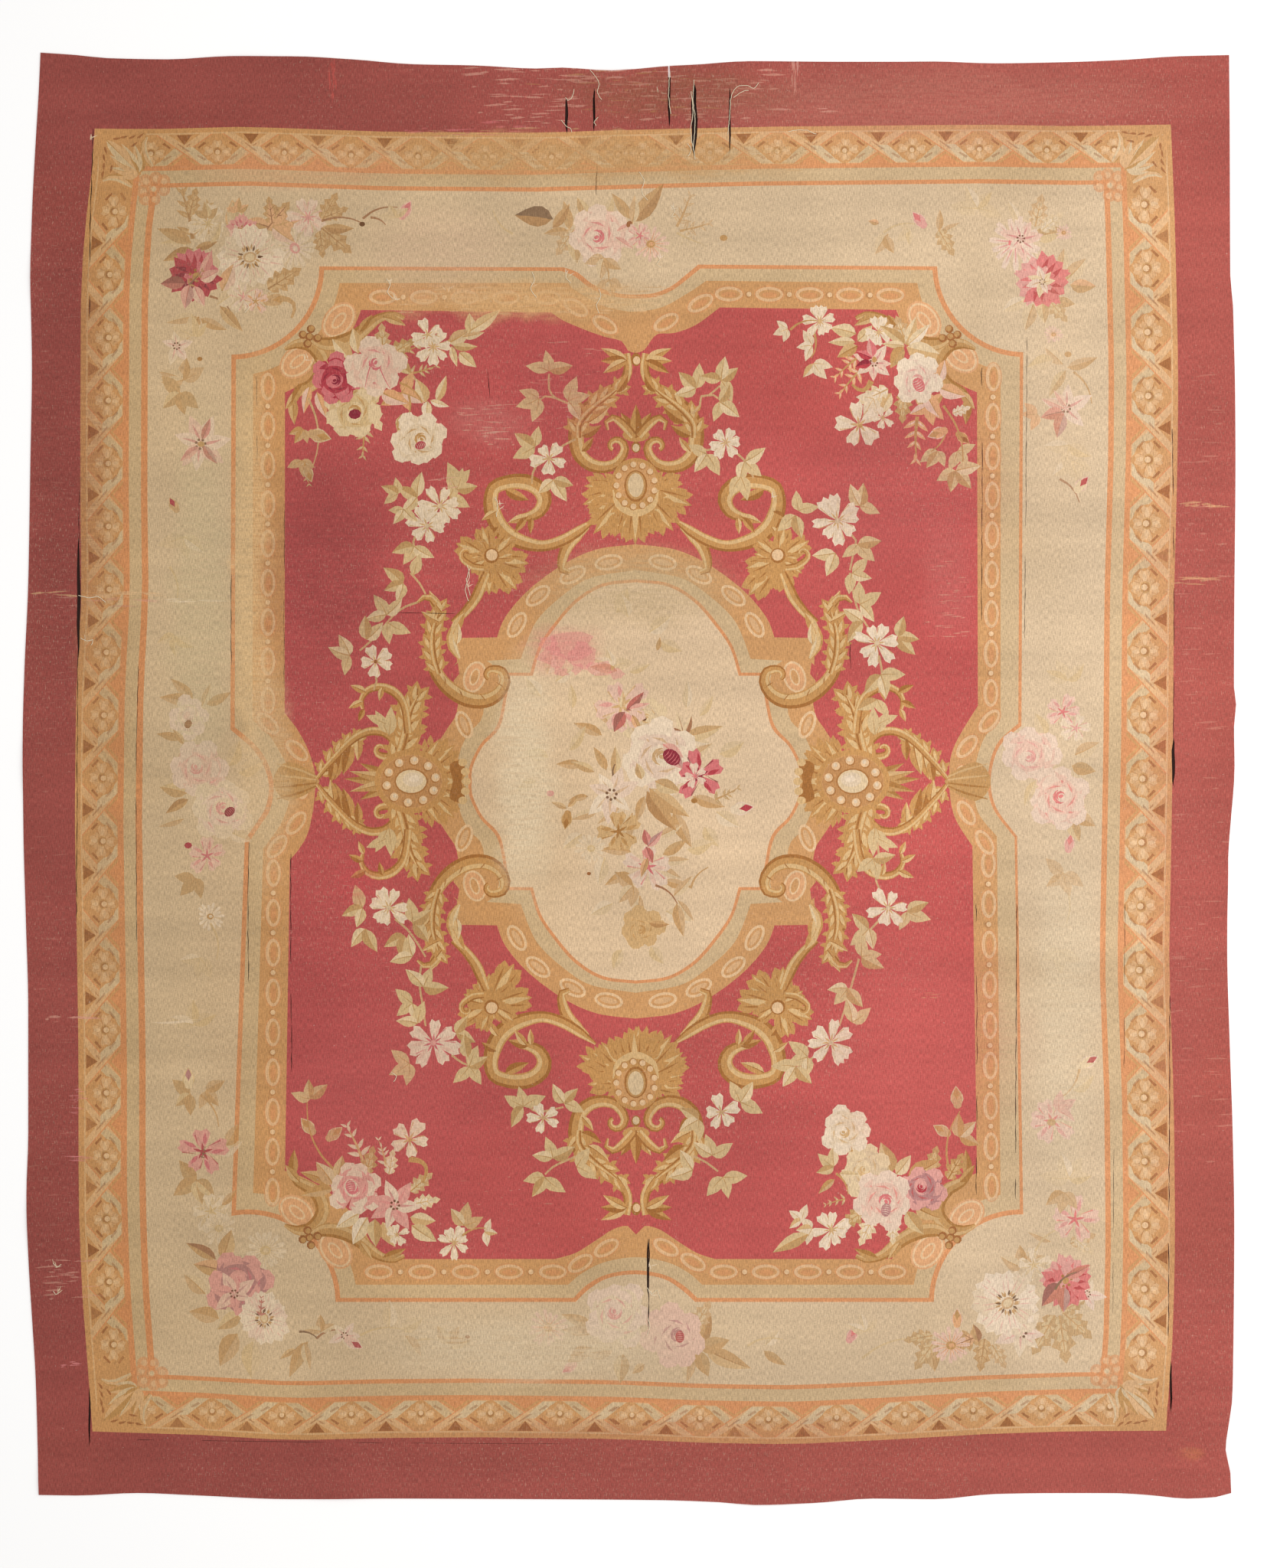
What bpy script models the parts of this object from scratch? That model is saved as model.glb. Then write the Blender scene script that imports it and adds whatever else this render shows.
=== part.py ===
"""A large old flat-woven wool carpet, lying open on a floor.

Units are metres and +Z is up. +Y is the long way of the carpet, towards the end that is torn,
and the origin is the middle of its underside. The carpet is woven in one piece, so it is one
thin solid with an uneven outline. Tears and slits are cut through it where the weave has parted,
and low ripples lift it where it doesn't lie quite flat.
"""

import math
from collections import namedtuple

import bmesh
import bpy
from mathutils import Vector
from mathutils.geometry import delaunay_2d_cdt

# The carpet at its widest and longest, and its cloth
CARPET_WIDTH = 3.96
CARPET_LENGTH = 4.74
CLOTH_THICKNESS = 0.003

# How finely the sheet is divided
OUTLINE_STEP = 0.05
COARSE_STEP = 0.13
FINE_STEP = 0.05
CLEAR_OF_OUTLINE = 0.03
MERGE_DISTANCE = 0.00002

# Looks of the plain model
WOOL_COLOUR = (0.30, 0.075, 0.075, 1.0)
WOOL_ROUGHNESS = 0.95

EdgeRow = namedtuple("EdgeRow", "along inset")
Tear = namedtuple("Tear", "x start end width")
Ripple = namedtuple("Ripple", "x y heading half_length half_width height")

# Each side is a slightly wavering line. along is the place on the side, and inset is how far the
# side lies there inside the rectangle of the carpet's full width and length.
LEFT_SIDE = (
    EdgeRow(along=-2.338, inset=0.052),
    EdgeRow(along=-2.158, inset=0.048),
    EdgeRow(along=-1.958, inset=0.042),
    EdgeRow(along=-1.758, inset=0.030),
    EdgeRow(along=-1.558, inset=0.018),
    EdgeRow(along=-1.358, inset=0.012),
    EdgeRow(along=-1.158, inset=0.018),
    EdgeRow(along=-0.758, inset=0.018),
    EdgeRow(along=-0.458, inset=0.010),
    EdgeRow(along=-0.158, inset=0.002),
    EdgeRow(along=0.142, inset=0.000),
    EdgeRow(along=0.342, inset=0.005),
    EdgeRow(along=0.642, inset=0.018),
    EdgeRow(along=1.042, inset=0.025),
    EdgeRow(along=1.342, inset=0.030),
    EdgeRow(along=1.642, inset=0.025),
    EdgeRow(along=1.842, inset=0.030),
    EdgeRow(along=2.042, inset=0.040),
    EdgeRow(along=2.242, inset=0.052),
    EdgeRow(along=2.370, inset=0.058),
)
TOP_SIDE = (
    EdgeRow(along=-1.922, inset=0.000),
    EdgeRow(along=-1.805, inset=0.008),
    EdgeRow(along=-1.705, inset=0.018),
    EdgeRow(along=-1.505, inset=0.022),
    EdgeRow(along=-1.305, inset=0.012),
    EdgeRow(along=-1.105, inset=0.012),
    EdgeRow(along=-0.905, inset=0.022),
    EdgeRow(along=-0.705, inset=0.038),
    EdgeRow(along=-0.505, inset=0.042),
    EdgeRow(along=-0.305, inset=0.052),
    EdgeRow(along=-0.218, inset=0.049),
    EdgeRow(along=-0.055, inset=0.060),
    EdgeRow(along=0.020, inset=0.054),
    EdgeRow(along=0.100, inset=0.046),
    EdgeRow(along=0.195, inset=0.041),
    EdgeRow(along=0.395, inset=0.028),
    EdgeRow(along=0.695, inset=0.030),
    EdgeRow(along=0.995, inset=0.030),
    EdgeRow(along=1.195, inset=0.035),
    EdgeRow(along=1.395, inset=0.032),
    EdgeRow(along=1.595, inset=0.025),
    EdgeRow(along=1.795, inset=0.012),
    EdgeRow(along=1.958, inset=0.008),
)
RIGHT_SIDE = (
    EdgeRow(along=2.362, inset=0.022),
    EdgeRow(along=2.142, inset=0.020),
    EdgeRow(along=1.642, inset=0.018),
    EdgeRow(along=1.542, inset=0.010),
    EdgeRow(along=1.242, inset=0.002),
    EdgeRow(along=1.042, inset=0.001),
    EdgeRow(along=0.542, inset=0.005),
    EdgeRow(along=0.300, inset=0.006),
    EdgeRow(along=0.242, inset=0.000),
    EdgeRow(along=0.170, inset=0.006),
    EdgeRow(along=0.042, inset=0.004),
    EdgeRow(along=-0.158, inset=0.018),
    EdgeRow(along=-0.258, inset=0.025),
    EdgeRow(along=-0.558, inset=0.028),
    EdgeRow(along=-0.858, inset=0.020),
    EdgeRow(along=-1.158, inset=0.010),
    EdgeRow(along=-1.458, inset=0.005),
    EdgeRow(along=-1.858, inset=0.008),
    EdgeRow(along=-2.038, inset=0.014),
    EdgeRow(along=-2.158, inset=0.032),
    EdgeRow(along=-2.190, inset=0.035),
    EdgeRow(along=-2.265, inset=0.018),
    EdgeRow(along=-2.332, inset=0.015),
)
BOTTOM_SIDE = (
    EdgeRow(along=1.965, inset=0.038),
    EdgeRow(along=1.915, inset=0.025),
    EdgeRow(along=1.822, inset=0.020),
    EdgeRow(along=1.695, inset=0.032),
    EdgeRow(along=1.595, inset=0.038),
    EdgeRow(along=1.395, inset=0.038),
    EdgeRow(along=1.195, inset=0.035),
    EdgeRow(along=0.995, inset=0.018),
    EdgeRow(along=0.795, inset=0.020),
    EdgeRow(along=0.595, inset=0.005),
    EdgeRow(along=0.408, inset=0.000),
    EdgeRow(along=0.295, inset=0.008),
    EdgeRow(along=0.095, inset=0.015),
    EdgeRow(along=-0.305, inset=0.018),
    EdgeRow(along=-0.805, inset=0.020),
    EdgeRow(along=-1.105, inset=0.018),
    EdgeRow(along=-1.405, inset=0.030),
    EdgeRow(along=-1.605, inset=0.038),
    EdgeRow(along=-1.805, inset=0.030),
    EdgeRow(along=-1.928, inset=0.032),
)

# The weave parts along its warps, so every tear runs the long way of the carpet. A tear whose
# start lies past the carpet's end is open at that end.
TEARS = (
    Tear(x=-0.205, start=2.225, end=2.105, width=0.010),
    Tear(x=-0.115, start=2.255, end=2.110, width=0.008),
    Tear(x=0.130, start=2.350, end=2.122, width=0.009),
    Tear(x=0.212, start=2.272, end=2.030, width=0.020),
    Tear(x=0.328, start=2.262, end=2.040, width=0.007),
    Tear(x=0.060, start=-1.500, end=-1.685, width=0.006),
    Tear(x=-1.798, start=0.790, end=0.390, width=0.012),
    Tear(x=-1.762, start=-1.985, end=-2.180, width=0.007),
    Tear(x=1.776, start=0.135, end=-0.025, width=0.011),
    Tear(x=1.768, start=-1.900, end=-2.070, width=0.008),
)
TEAR_STATIONS = (0.10, 0.28, 0.50, 0.72, 0.90)

# Low ripples, each an oval swelling. heading is in degrees from +X.
RIPPLES = (
    Ripple(x=1.840, y=-2.235, heading=17, half_length=0.34, half_width=0.085, height=0.011),
    Ripple(x=1.700, y=-2.075, heading=6, half_length=0.30, half_width=0.090, height=0.006),
    Ripple(x=1.930, y=-2.060, heading=62, half_length=0.22, half_width=0.070, height=0.007),
    Ripple(x=1.915, y=-0.340, heading=8, half_length=0.22, half_width=0.110, height=0.006),
    Ripple(x=1.930, y=0.235, heading=-12, half_length=0.18, half_width=0.090, height=0.005),
    Ripple(x=1.925, y=1.540, heading=10, half_length=0.20, half_width=0.120, height=0.005),
    Ripple(x=-1.900, y=0.050, heading=4, half_length=0.22, half_width=0.140, height=0.006),
    Ripple(x=-1.880, y=-1.450, heading=-6, half_length=0.20, half_width=0.120, height=0.005),
    Ripple(x=-1.870, y=1.640, heading=5, half_length=0.20, half_width=0.120, height=0.005),
    Ripple(x=-1.820, y=-2.210, heading=40, half_length=0.26, half_width=0.080, height=0.006),
    Ripple(x=-0.060, y=2.250, heading=84, half_length=0.24, half_width=0.110, height=0.007),
    Ripple(x=0.170, y=2.235, heading=93, half_length=0.22, half_width=0.090, height=0.005),
    Ripple(x=-1.250, y=2.290, heading=86, half_length=0.18, half_width=0.140, height=0.005),
    Ripple(x=1.000, y=2.280, heading=94, half_length=0.18, half_width=0.130, height=0.004),
    Ripple(x=0.450, y=-2.280, heading=82, half_length=0.22, half_width=0.150, height=0.006),
    Ripple(x=-0.950, y=-2.290, heading=97, half_length=0.18, half_width=0.150, height=0.005),
)


def row_slopes(rows):
    """Slopes that keep a smooth line through the rows from overshooting any of them."""
    secants = [
        (after.inset - before.inset) / (after.along - before.along)
        for before, after in zip(rows, rows[1:])
    ]
    slopes = [secants[0]]
    for left, right in zip(secants, secants[1:]):
        if left * right <= 0.0:
            slopes.append(0.0)
        else:
            slopes.append(2.0 * left * right / (left + right))
    slopes.append(secants[-1])
    return slopes


def side_points(rows, half_span):
    """Points (along, reach) of one side, which lies half_span from the middle at its fullest."""
    slopes = row_slopes(rows)
    points = []
    for index, (before, after) in enumerate(zip(rows, rows[1:])):
        run = after.along - before.along
        steps = max(1, round(abs(run) / OUTLINE_STEP))
        for step in range(steps):
            t = step / steps
            inset = before.inset * (1 + 2 * t) * (1 - t) ** 2
            inset += slopes[index] * run * t * (1 - t) ** 2
            inset += after.inset * t * t * (3 - 2 * t)
            inset += slopes[index + 1] * run * t * t * (t - 1)
            points.append((before.along + run * t, half_span - inset))
    return points


def carpet_outline():
    """The carpet's edge, anticlockwise seen from above."""
    half_width = 0.5 * CARPET_WIDTH
    half_length = 0.5 * CARPET_LENGTH
    outline = [Vector((-reach, along)) for along, reach in side_points(LEFT_SIDE, half_width)]
    outline += [Vector((along, reach)) for along, reach in side_points(TOP_SIDE, half_length)]
    outline += [Vector((reach, along)) for along, reach in side_points(RIGHT_SIDE, half_width)]
    outline += [Vector((along, -reach)) for along, reach in side_points(BOTTOM_SIDE, half_length)]
    return outline[::-1]


def tear_outline(tear):
    """A slot, anticlockwise, widest near its middle and pointed at both ends."""
    length = tear.end - tear.start
    left = []
    right = []
    for index, station in enumerate(TEAR_STATIONS):
        half_gap = 0.5 * tear.width * math.sin(math.pi * station) ** 0.6
        waver = 0.12 * tear.width * math.sin(2.3 * index + 40.0 * tear.x)
        y = tear.start + length * station
        left.append(Vector((tear.x - half_gap + waver, y)))
        right.append(Vector((tear.x + half_gap + waver, y)))
    first_tip = Vector((tear.x, tear.start))
    last_tip = Vector((tear.x, tear.end))
    return [first_tip, *left, last_tip, *reversed(right)]


def lift(point):
    """Height of the underside over the floor."""
    height = 0.0
    for ripple in RIPPLES:
        heading = math.radians(ripple.heading)
        dx = point.x - ripple.x
        dy = point.y - ripple.y
        along = (dx * math.cos(heading) + dy * math.sin(heading)) / ripple.half_length
        across = (dy * math.cos(heading) - dx * math.sin(heading)) / ripple.half_width
        fade = 1.0 - along * along - across * across
        if fade > 0.0:
            height = max(height, ripple.height * fade * fade)
    return height


def distance_to_loop(point, loop):
    """Shortest distance from a point to a closed line."""
    nearest = math.inf
    for start, end in zip(loop, loop[1:] + loop[:1]):
        side = end - start
        t = max(0.0, min(1.0, (point - start).dot(side) / side.length_squared))
        nearest = min(nearest, (point - start - side * t).length)
    return nearest


def inside_loop(point, loop):
    """True where a closed line goes round the point."""
    inside = False
    for start, end in zip(loop, loop[1:] + loop[:1]):
        if (start.y > point.y) != (end.y > point.y):
            if point.x < start.x + (end.x - start.x) * (point.y - start.y) / (end.y - start.y):
                inside = not inside
    return inside


def grid_points(step, loops, wanted):
    """Points of an even grid that lie on the cloth, clear of its edges, where they are wanted."""
    rows = math.ceil(0.5 * CARPET_LENGTH / step)
    columns = math.ceil(0.5 * CARPET_WIDTH / step)
    points = []
    for row in range(-rows, rows + 1):
        for column in range(-columns, columns + 1):
            point = Vector((column * step, row * step))
            if not wanted(point) or not inside_loop(point, loops[0]):
                continue
            if min(distance_to_loop(point, loop) for loop in loops) > CLEAR_OF_OUTLINE:
                points.append(point)
    return points


def flat_triangles(loops):
    """Triangulates the cloth between its outline and its tears."""
    points = []
    faces = []
    for loop in loops:
        faces.append(list(range(len(points), len(points) + len(loop))))
        points += loop
    fine = grid_points(FINE_STEP, loops, lambda point: lift(point) > 0.0)
    coarse = grid_points(COARSE_STEP, loops, lambda point: lift(point) == 0.0)
    result = delaunay_2d_cdt(points + fine + coarse, [], faces, 0, MERGE_DISTANCE, True)
    corners = result[0]
    kept = []
    for triangle, sources in zip(result[2], result[5]):
        if sources == [0]:
            kept.append(triangle)
    return corners, kept


def build_sheet(name, loops):
    """One closed sheet over the flat triangles, lifted by the ripples."""
    corners, triangles = flat_triangles(loops)
    mesh = bpy.data.meshes.new(name)
    work = bmesh.new()
    under = [work.verts.new((corner.x, corner.y, lift(corner))) for corner in corners]
    over = [
        work.verts.new((corner.x, corner.y, lift(corner) + CLOTH_THICKNESS)) for corner in corners
    ]
    rim = {}
    for a, b, c in triangles:
        work.faces.new((over[a], over[b], over[c]))
        work.faces.new((under[c], under[b], under[a]))
        for start, end in ((a, b), (b, c), (c, a)):
            if (end, start) in rim:
                del rim[(end, start)]
            else:
                rim[(start, end)] = True
    for start, end in rim:
        work.faces.new((under[start], under[end], over[end], over[start]))
    for vertex in [vertex for vertex in work.verts if not vertex.link_faces]:
        work.verts.remove(vertex)
    bmesh.ops.triangulate(work, faces=work.faces[:])
    work.to_mesh(mesh)
    work.free()
    mesh.shade_smooth()
    mesh.set_sharp_from_angle(angle=math.radians(30))
    sheet = bpy.data.objects.new(name, mesh)
    bpy.context.scene.collection.objects.link(sheet)
    return sheet


def wool_material():
    """Faded red wool of the carpet's surround."""
    material = bpy.data.materials.new("faded_red_wool")
    material.use_nodes = True
    shader = material.node_tree.nodes["Principled BSDF"]
    shader.inputs["Base Color"].default_value = WOOL_COLOUR
    shader.inputs["Roughness"].default_value = WOOL_ROUGHNESS
    shader.inputs["Metallic"].default_value = 0.0
    return material


def main():
    """Clears the scene and lays the carpet down."""
    for old in list(bpy.data.objects):
        bpy.data.objects.remove(old)
    loops = [carpet_outline()] + [tear_outline(tear) for tear in TEARS]
    rug = build_sheet("woven_rug", loops)
    rug.data.materials.append(wool_material())


main()
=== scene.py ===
"""A large old tapestry-woven wool carpet, open on a pale floor and seen from above.

The carpet is one thin woven sheet. Its pattern is woven in, so the sheet is divided along the
outlines of the pattern and each division has the colour of its yarn. The pattern is drawn in
centimetres from the middle of the carpet, +X to the right and +Y towards the torn end.
"""

import logging
import math
import random
from collections.abc import Callable, Iterable, Sequence
from dataclasses import dataclass, field
from enum import Enum

import bpy
import numpy as np
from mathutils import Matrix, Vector
from mathutils.geometry import delaunay_2d_cdt

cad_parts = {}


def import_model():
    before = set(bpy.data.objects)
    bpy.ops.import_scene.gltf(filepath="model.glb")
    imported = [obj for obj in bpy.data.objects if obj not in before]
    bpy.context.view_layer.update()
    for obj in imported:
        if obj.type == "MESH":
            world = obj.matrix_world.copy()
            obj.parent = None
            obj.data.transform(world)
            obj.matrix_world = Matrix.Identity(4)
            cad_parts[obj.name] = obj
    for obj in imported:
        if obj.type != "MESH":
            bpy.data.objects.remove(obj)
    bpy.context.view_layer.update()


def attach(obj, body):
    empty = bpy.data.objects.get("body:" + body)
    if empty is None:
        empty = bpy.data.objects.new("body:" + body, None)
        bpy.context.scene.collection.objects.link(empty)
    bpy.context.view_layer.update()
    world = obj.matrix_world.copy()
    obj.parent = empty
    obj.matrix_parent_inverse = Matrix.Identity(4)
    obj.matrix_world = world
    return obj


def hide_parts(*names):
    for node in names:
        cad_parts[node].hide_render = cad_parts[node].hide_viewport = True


LOG = logging.getLogger("carpet")
CM = 0.01
CLOTH_THICKNESS = 0.003
CARPET_NODE = "woven_rug"
MAP_SPAN = 4.9
STRIP_STEPS = 7
ARC_STEPS = 14
RING_STEPS = 30

Point = tuple[float, float]
Outline = list[Point]


class Yarn(Enum):
    """Colours of the yarns, and of the dark seen through gaps and used as painted shade under the tears, as
    8-bit sRGB.
    """

    SURROUND = (163, 79, 76)
    FIELD_RED = (186, 82, 84)
    GOLD = (214, 166, 110)
    GOLD_LIGHT = (226, 188, 138)
    PEACH = (229, 178, 128)
    PEACH_LIGHT = (236, 204, 158)
    ORANGE = (224, 160, 108)
    KHAKI = (214, 190, 146)
    KHAKI_PALE = (222, 200, 158)
    CREAM = (221, 200, 162)
    CREAM_PALE = (232, 214, 180)
    CREAM_MIDDLE = (231, 208, 170)
    WHITE = (240, 224, 194)
    OCHRE = (200, 158, 100)
    OCHRE_PALE = (216, 182, 128)
    OCHRE_DARK = (178, 130, 72)
    SCROLL = (205, 158, 96)
    SCROLL_LIGHT = (226, 194, 138)
    SCROLL_DARK = (172, 118, 62)
    LEAF = (219, 194, 144)
    LEAF_LIGHT = (232, 211, 168)
    LEAF_DARK = (198, 162, 108)
    TAN = (210, 176, 128)
    BROWN = (158, 100, 60)
    UMBER = (112, 74, 44)
    CRIMSON = (176, 62, 74)
    CRIMSON_DARK = (140, 44, 60)
    ROSE = (206, 110, 116)
    ROSE_LIGHT = (228, 170, 156)
    BLUSH = (233, 200, 176)
    BLUSH_PALE = (234, 212, 186)
    MAUVE = (190, 140, 134)
    PINK_STAIN = (232, 142, 148)
    CORAL = (222, 92, 88)
    LINEN = (240, 226, 196)
    # Also the painted shade of the dark sheet under the tears.
    GAP = (46, 26, 20)


@dataclass(frozen=True)
class Tones:
    """Yarns that shade one motif."""

    light: Yarn
    mid: Yarn
    dark: Yarn


SCROLL_TONES = Tones(Yarn.SCROLL_LIGHT, Yarn.SCROLL, Yarn.SCROLL_DARK)
CURL_TONES = Tones(Yarn.LEAF_LIGHT, Yarn.SCROLL_LIGHT, Yarn.SCROLL)
LEAF_TONES = Tones(Yarn.LEAF_LIGHT, Yarn.LEAF, Yarn.LEAF_DARK)
OCHRE_TONES = Tones(Yarn.OCHRE_PALE, Yarn.OCHRE, Yarn.OCHRE_DARK)
FADED_TONES = Tones(Yarn.KHAKI_PALE, Yarn.TAN, Yarn.OCHRE)
WHITE_TONES = Tones(Yarn.WHITE, Yarn.CREAM_PALE, Yarn.OCHRE_PALE)
PINK_TONES = Tones(Yarn.BLUSH_PALE, Yarn.BLUSH, Yarn.ROSE)
ROSE_TONES = Tones(Yarn.ROSE_LIGHT, Yarn.ROSE, Yarn.CRIMSON)
CRIMSON_TONES = Tones(Yarn.ROSE, Yarn.CRIMSON, Yarn.CRIMSON_DARK)
CREAM_TONES = Tones(Yarn.WHITE, Yarn.LEAF_LIGHT, Yarn.OCHRE_PALE)
FAINT_TONES = Tones(Yarn.CREAM_PALE, Yarn.BLUSH_PALE, Yarn.ROSE_LIGHT)
BLUSH_TONES = Tones(Yarn.BLUSH_PALE, Yarn.ROSE_LIGHT, Yarn.ROSE)
PALE_PINK_TONES = Tones(Yarn.BLUSH_PALE, Yarn.BLUSH, Yarn.ROSE_LIGHT)
UMBER_TONES = Tones(Yarn.UMBER, Yarn.UMBER, Yarn.UMBER)


def smooth(knots: Sequence[Point], step: float = 1.8, closed: bool = False) -> Outline:
    """Draws a smooth line through knots.

    Args:
        knots: Points that the line passes through.
        step: Rough spacing of the line's own points.
        closed: Whether the line returns to its start.

    Returns:
        The line's points.
    """
    count = len(knots)
    line: Outline = []
    for span in range(count if closed else count - 1):
        start = knots[span]
        end = knots[(span + 1) % count]
        before = knots[span - 1] if closed or span > 0 else start
        after = knots[(span + 2) % count] if closed or span + 2 < count else end
        pieces = max(1, round(math.dist(start, end) / step))
        for piece in range(pieces):
            t = piece / pieces
            line.append(
                tuple(
                    0.5 * (2 * s + (e - b) * t + (2 * b - 5 * s + 4 * e - a) * t * t
                           + (3 * s - b - 3 * e + a) * t ** 3)
                    for b, s, e, a in zip(before, start, end, after)
                )
            )
    if not closed:
        line.append(tuple(knots[-1]))
    return line


def run_lengths(line: Sequence[Point]) -> list[float]:
    """Distance from the line's start to each of its points.

    Args:
        line: The line's points.

    Returns:
        One distance for each point.
    """
    lengths = [0.0]
    for start, end in zip(line, line[1:]):
        lengths.append(lengths[-1] + math.dist(start, end))
    return lengths


def mixed(values: Sequence[float], t: float) -> float:
    """Value at t of 0 to 1 among evenly spaced values.

    Args:
        values: The evenly spaced values.
        t: Place among them, 0 at the first and 1 at the last.

    Returns:
        The value between its two neighbours.
    """
    place = max(0.0, min(1.0, t)) * (len(values) - 1)
    index = min(int(place), len(values) - 2)
    return values[index] + (values[index + 1] - values[index]) * (place - index)


def normals(line: Sequence[Point]) -> list[Point]:
    """Unit vectors to the left of the line at each of its points.

    Args:
        line: The line's points.

    Returns:
        One unit vector for each point.
    """
    result = []
    last = len(line) - 1
    for index in range(len(line)):
        ahead = line[min(index + 1, last)]
        behind = line[max(index - 1, 0)]
        dx, dy = ahead[0] - behind[0], ahead[1] - behind[1]
        size = math.hypot(dx, dy) or 1.0
        result.append((-dy / size, dx / size))
    return result


def strips(
    line: Sequence[Point], widths: Sequence[float], low: float = -0.5, high: float = 0.5
) -> list[Outline]:
    """Cuts a band that follows a line into outlines that don't fold over themselves.

    Args:
        line: Middle of the whole band.
        widths: The whole band's widths, evenly spaced along it.
        low: Right edge of the part that is wanted, as a share of the width.
        high: Left edge of that part.

    Returns:
        Outlines that lie end to end.
    """
    sides = normals(line)
    lengths = run_lengths(line)
    total = lengths[-1] or 1.0
    left, right = [], []
    for (x, y), (nx, ny), length in zip(line, sides, lengths):
        width = mixed(widths, length / total)
        left.append((x + nx * width * high, y + ny * width * high))
        right.append((x + nx * width * low, y + ny * width * low))
    pieces = []
    for first in range(0, len(line) - 1, STRIP_STEPS):
        last = min(first + STRIP_STEPS, len(line) - 1)
        pieces.append(right[first:last + 1] + left[first:last + 1][::-1])
    return pieces


def curl(line: Sequence[Point], radius: float, turns: float, side: int) -> Outline:
    """Winds a scroll's end inwards.

    Args:
        line: The scroll's line up to where it starts to wind.
        radius: Radius of the first turn.
        turns: Number of turns.
        side: 1 winds to the left and -1 to the right.

    Returns:
        The line and its winding.
    """
    (x0, y0), (x1, y1) = line[-2], line[-1]
    heading = math.atan2(y1 - y0, x1 - x0)
    steps = max(4, round(turns * 11))
    result = list(line)
    x, y = x1, y1
    for step in range(steps):
        share = 1.0 - 0.80 * step / steps
        turn = side * 2 * math.pi * turns / steps
        heading += 0.5 * turn
        x += radius * share * abs(turn) * math.cos(heading)
        y += radius * share * abs(turn) * math.sin(heading)
        heading += 0.5 * turn
        result.append((x, y))
    return result


def leaf_shape(length: float, width: float, bend: float = 0.0) -> Outline:
    """Outline of a plain leaf that grows along +u from the origin and bends aside.

    Args:
        length: Length from root to tip.
        width: Full width.
        bend: How far the tip lies aside.

    Returns:
        The outline.
    """
    lower, upper = [], []
    for t in (0.14, 0.34, 0.55, 0.76, 0.90):
        half = 0.5 * width * math.sin(math.pi * t ** 0.75)
        lower.append((length * t, bend * t * t - half))
        upper.append((length * t, bend * t * t + half))
    return [(0.0, 0.0), *lower, (length, bend), *upper[::-1]]


def petal_shape(length: float, width: float, notch: float = 0.1) -> Outline:
    """Outline of a petal with a round or notched end.

    Args:
        length: Length from root to tip.
        width: Full width.
        notch: Depth of a petal's notch as a share of its length.

    Returns:
        The outline.
    """
    half = 0.5 * width
    return [
        (0.0, 0.0), (0.40 * length, -0.62 * half), (0.76 * length, -half), (0.97 * length, -0.62 * half),
        (length * (1.0 - notch), 0.0),
        (0.97 * length, 0.62 * half), (0.76 * length, half), (0.40 * length, 0.62 * half),
    ]


def lobed_shape(length: float, width: float, lobes: int, cut: float = 0.45) -> Outline:
    """Outline of a leaf whose sides are cut into pointed lobes.

    Args:
        length: Length from root to tip.
        width: Full width.
        lobes: Number of lobes on a side.
        cut: Depth of the cuts between lobes as a share of the half width.

    Returns:
        The outline.
    """
    lower, upper = [], []
    for lobe in range(lobes):
        tip = (lobe + 0.85) / (lobes + 0.6)
        notch = (lobe + 1.15) / (lobes + 0.6)
        start = (lobe + 0.35) / (lobes + 0.6)
        reach = 0.5 * width * math.sin(math.pi * min(1.0, tip) ** 0.8)
        lower += [
            (length * start, -reach * 0.72), (length * tip, -reach), (length * notch, -reach * (1 - cut))
        ]
        upper += [
            (length * start, reach * 0.72), (length * tip, reach), (length * notch, reach * (1 - cut))
        ]
    return [(0.0, 0.0), *lower, (length, 0.0), *upper[::-1]]


def enclosed(outline: Sequence[Point]) -> float:
    """Area inside a closed line, negative where it runs clockwise."""
    return 0.5 * sum(a[0] * b[1] - b[0] * a[1] for a, b in zip(outline, list(outline[1:]) + [outline[0]]))


def oval(x: float, y: float, wide: float, high: float, heading: float = 0.0, sides: int = 12) -> Outline:
    """Outline of an oval about a middle point, wide along its heading.

    Args:
        x: Middle point's x.
        y: Middle point's y.
        wide: Full length along the heading.
        high: Full length across it.
        heading: Direction of the long axis in degrees.
        sides: Number of points.

    Returns:
        The outline.
    """
    turn = math.radians(heading)
    points = []
    for index in range(sides):
        angle = 2 * math.pi * index / sides
        u, v = 0.5 * wide * math.cos(angle), 0.5 * high * math.sin(angle)
        points.append(
            (x + u * math.cos(turn) - v * math.sin(turn), y + u * math.sin(turn) + v * math.cos(turn))
        )
    return points


@dataclass(frozen=True)
class Spot:
    """Where a motif lies: its root in centimetres and the way it points in degrees."""

    x: float
    y: float
    heading: float = 90.0

    def put(self, outline: Iterable[Point]) -> Outline:
        """Moves an outline from the motif's own axes onto the carpet.

        Args:
            outline: Points in the motif's own axes, u along its heading and v to its left.

        Returns:
            The points on the carpet.
        """
        turn = math.radians(self.heading)
        cosine, sine = math.cos(turn), math.sin(turn)
        return [(self.x + u * cosine - v * sine, self.y + u * sine + v * cosine) for u, v in outline]

    def on(self, u: float, v: float, turn: float) -> "Spot":
        """Gives the spot of a smaller piece of the motif."""
        x, y = self.put([(u, v)])[0]
        return Spot(x, y, self.heading + turn)


@dataclass(frozen=True)
class Patch:
    """One outline of the pattern: its yarn, and how far it covers what lies under it.

    Patches of one veil, other than 0, fade together: a whole one hides those of its veil that lie under it.
    """

    outline: Outline
    yarn: Yarn
    cover: float
    whole: bool
    veil: int


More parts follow.
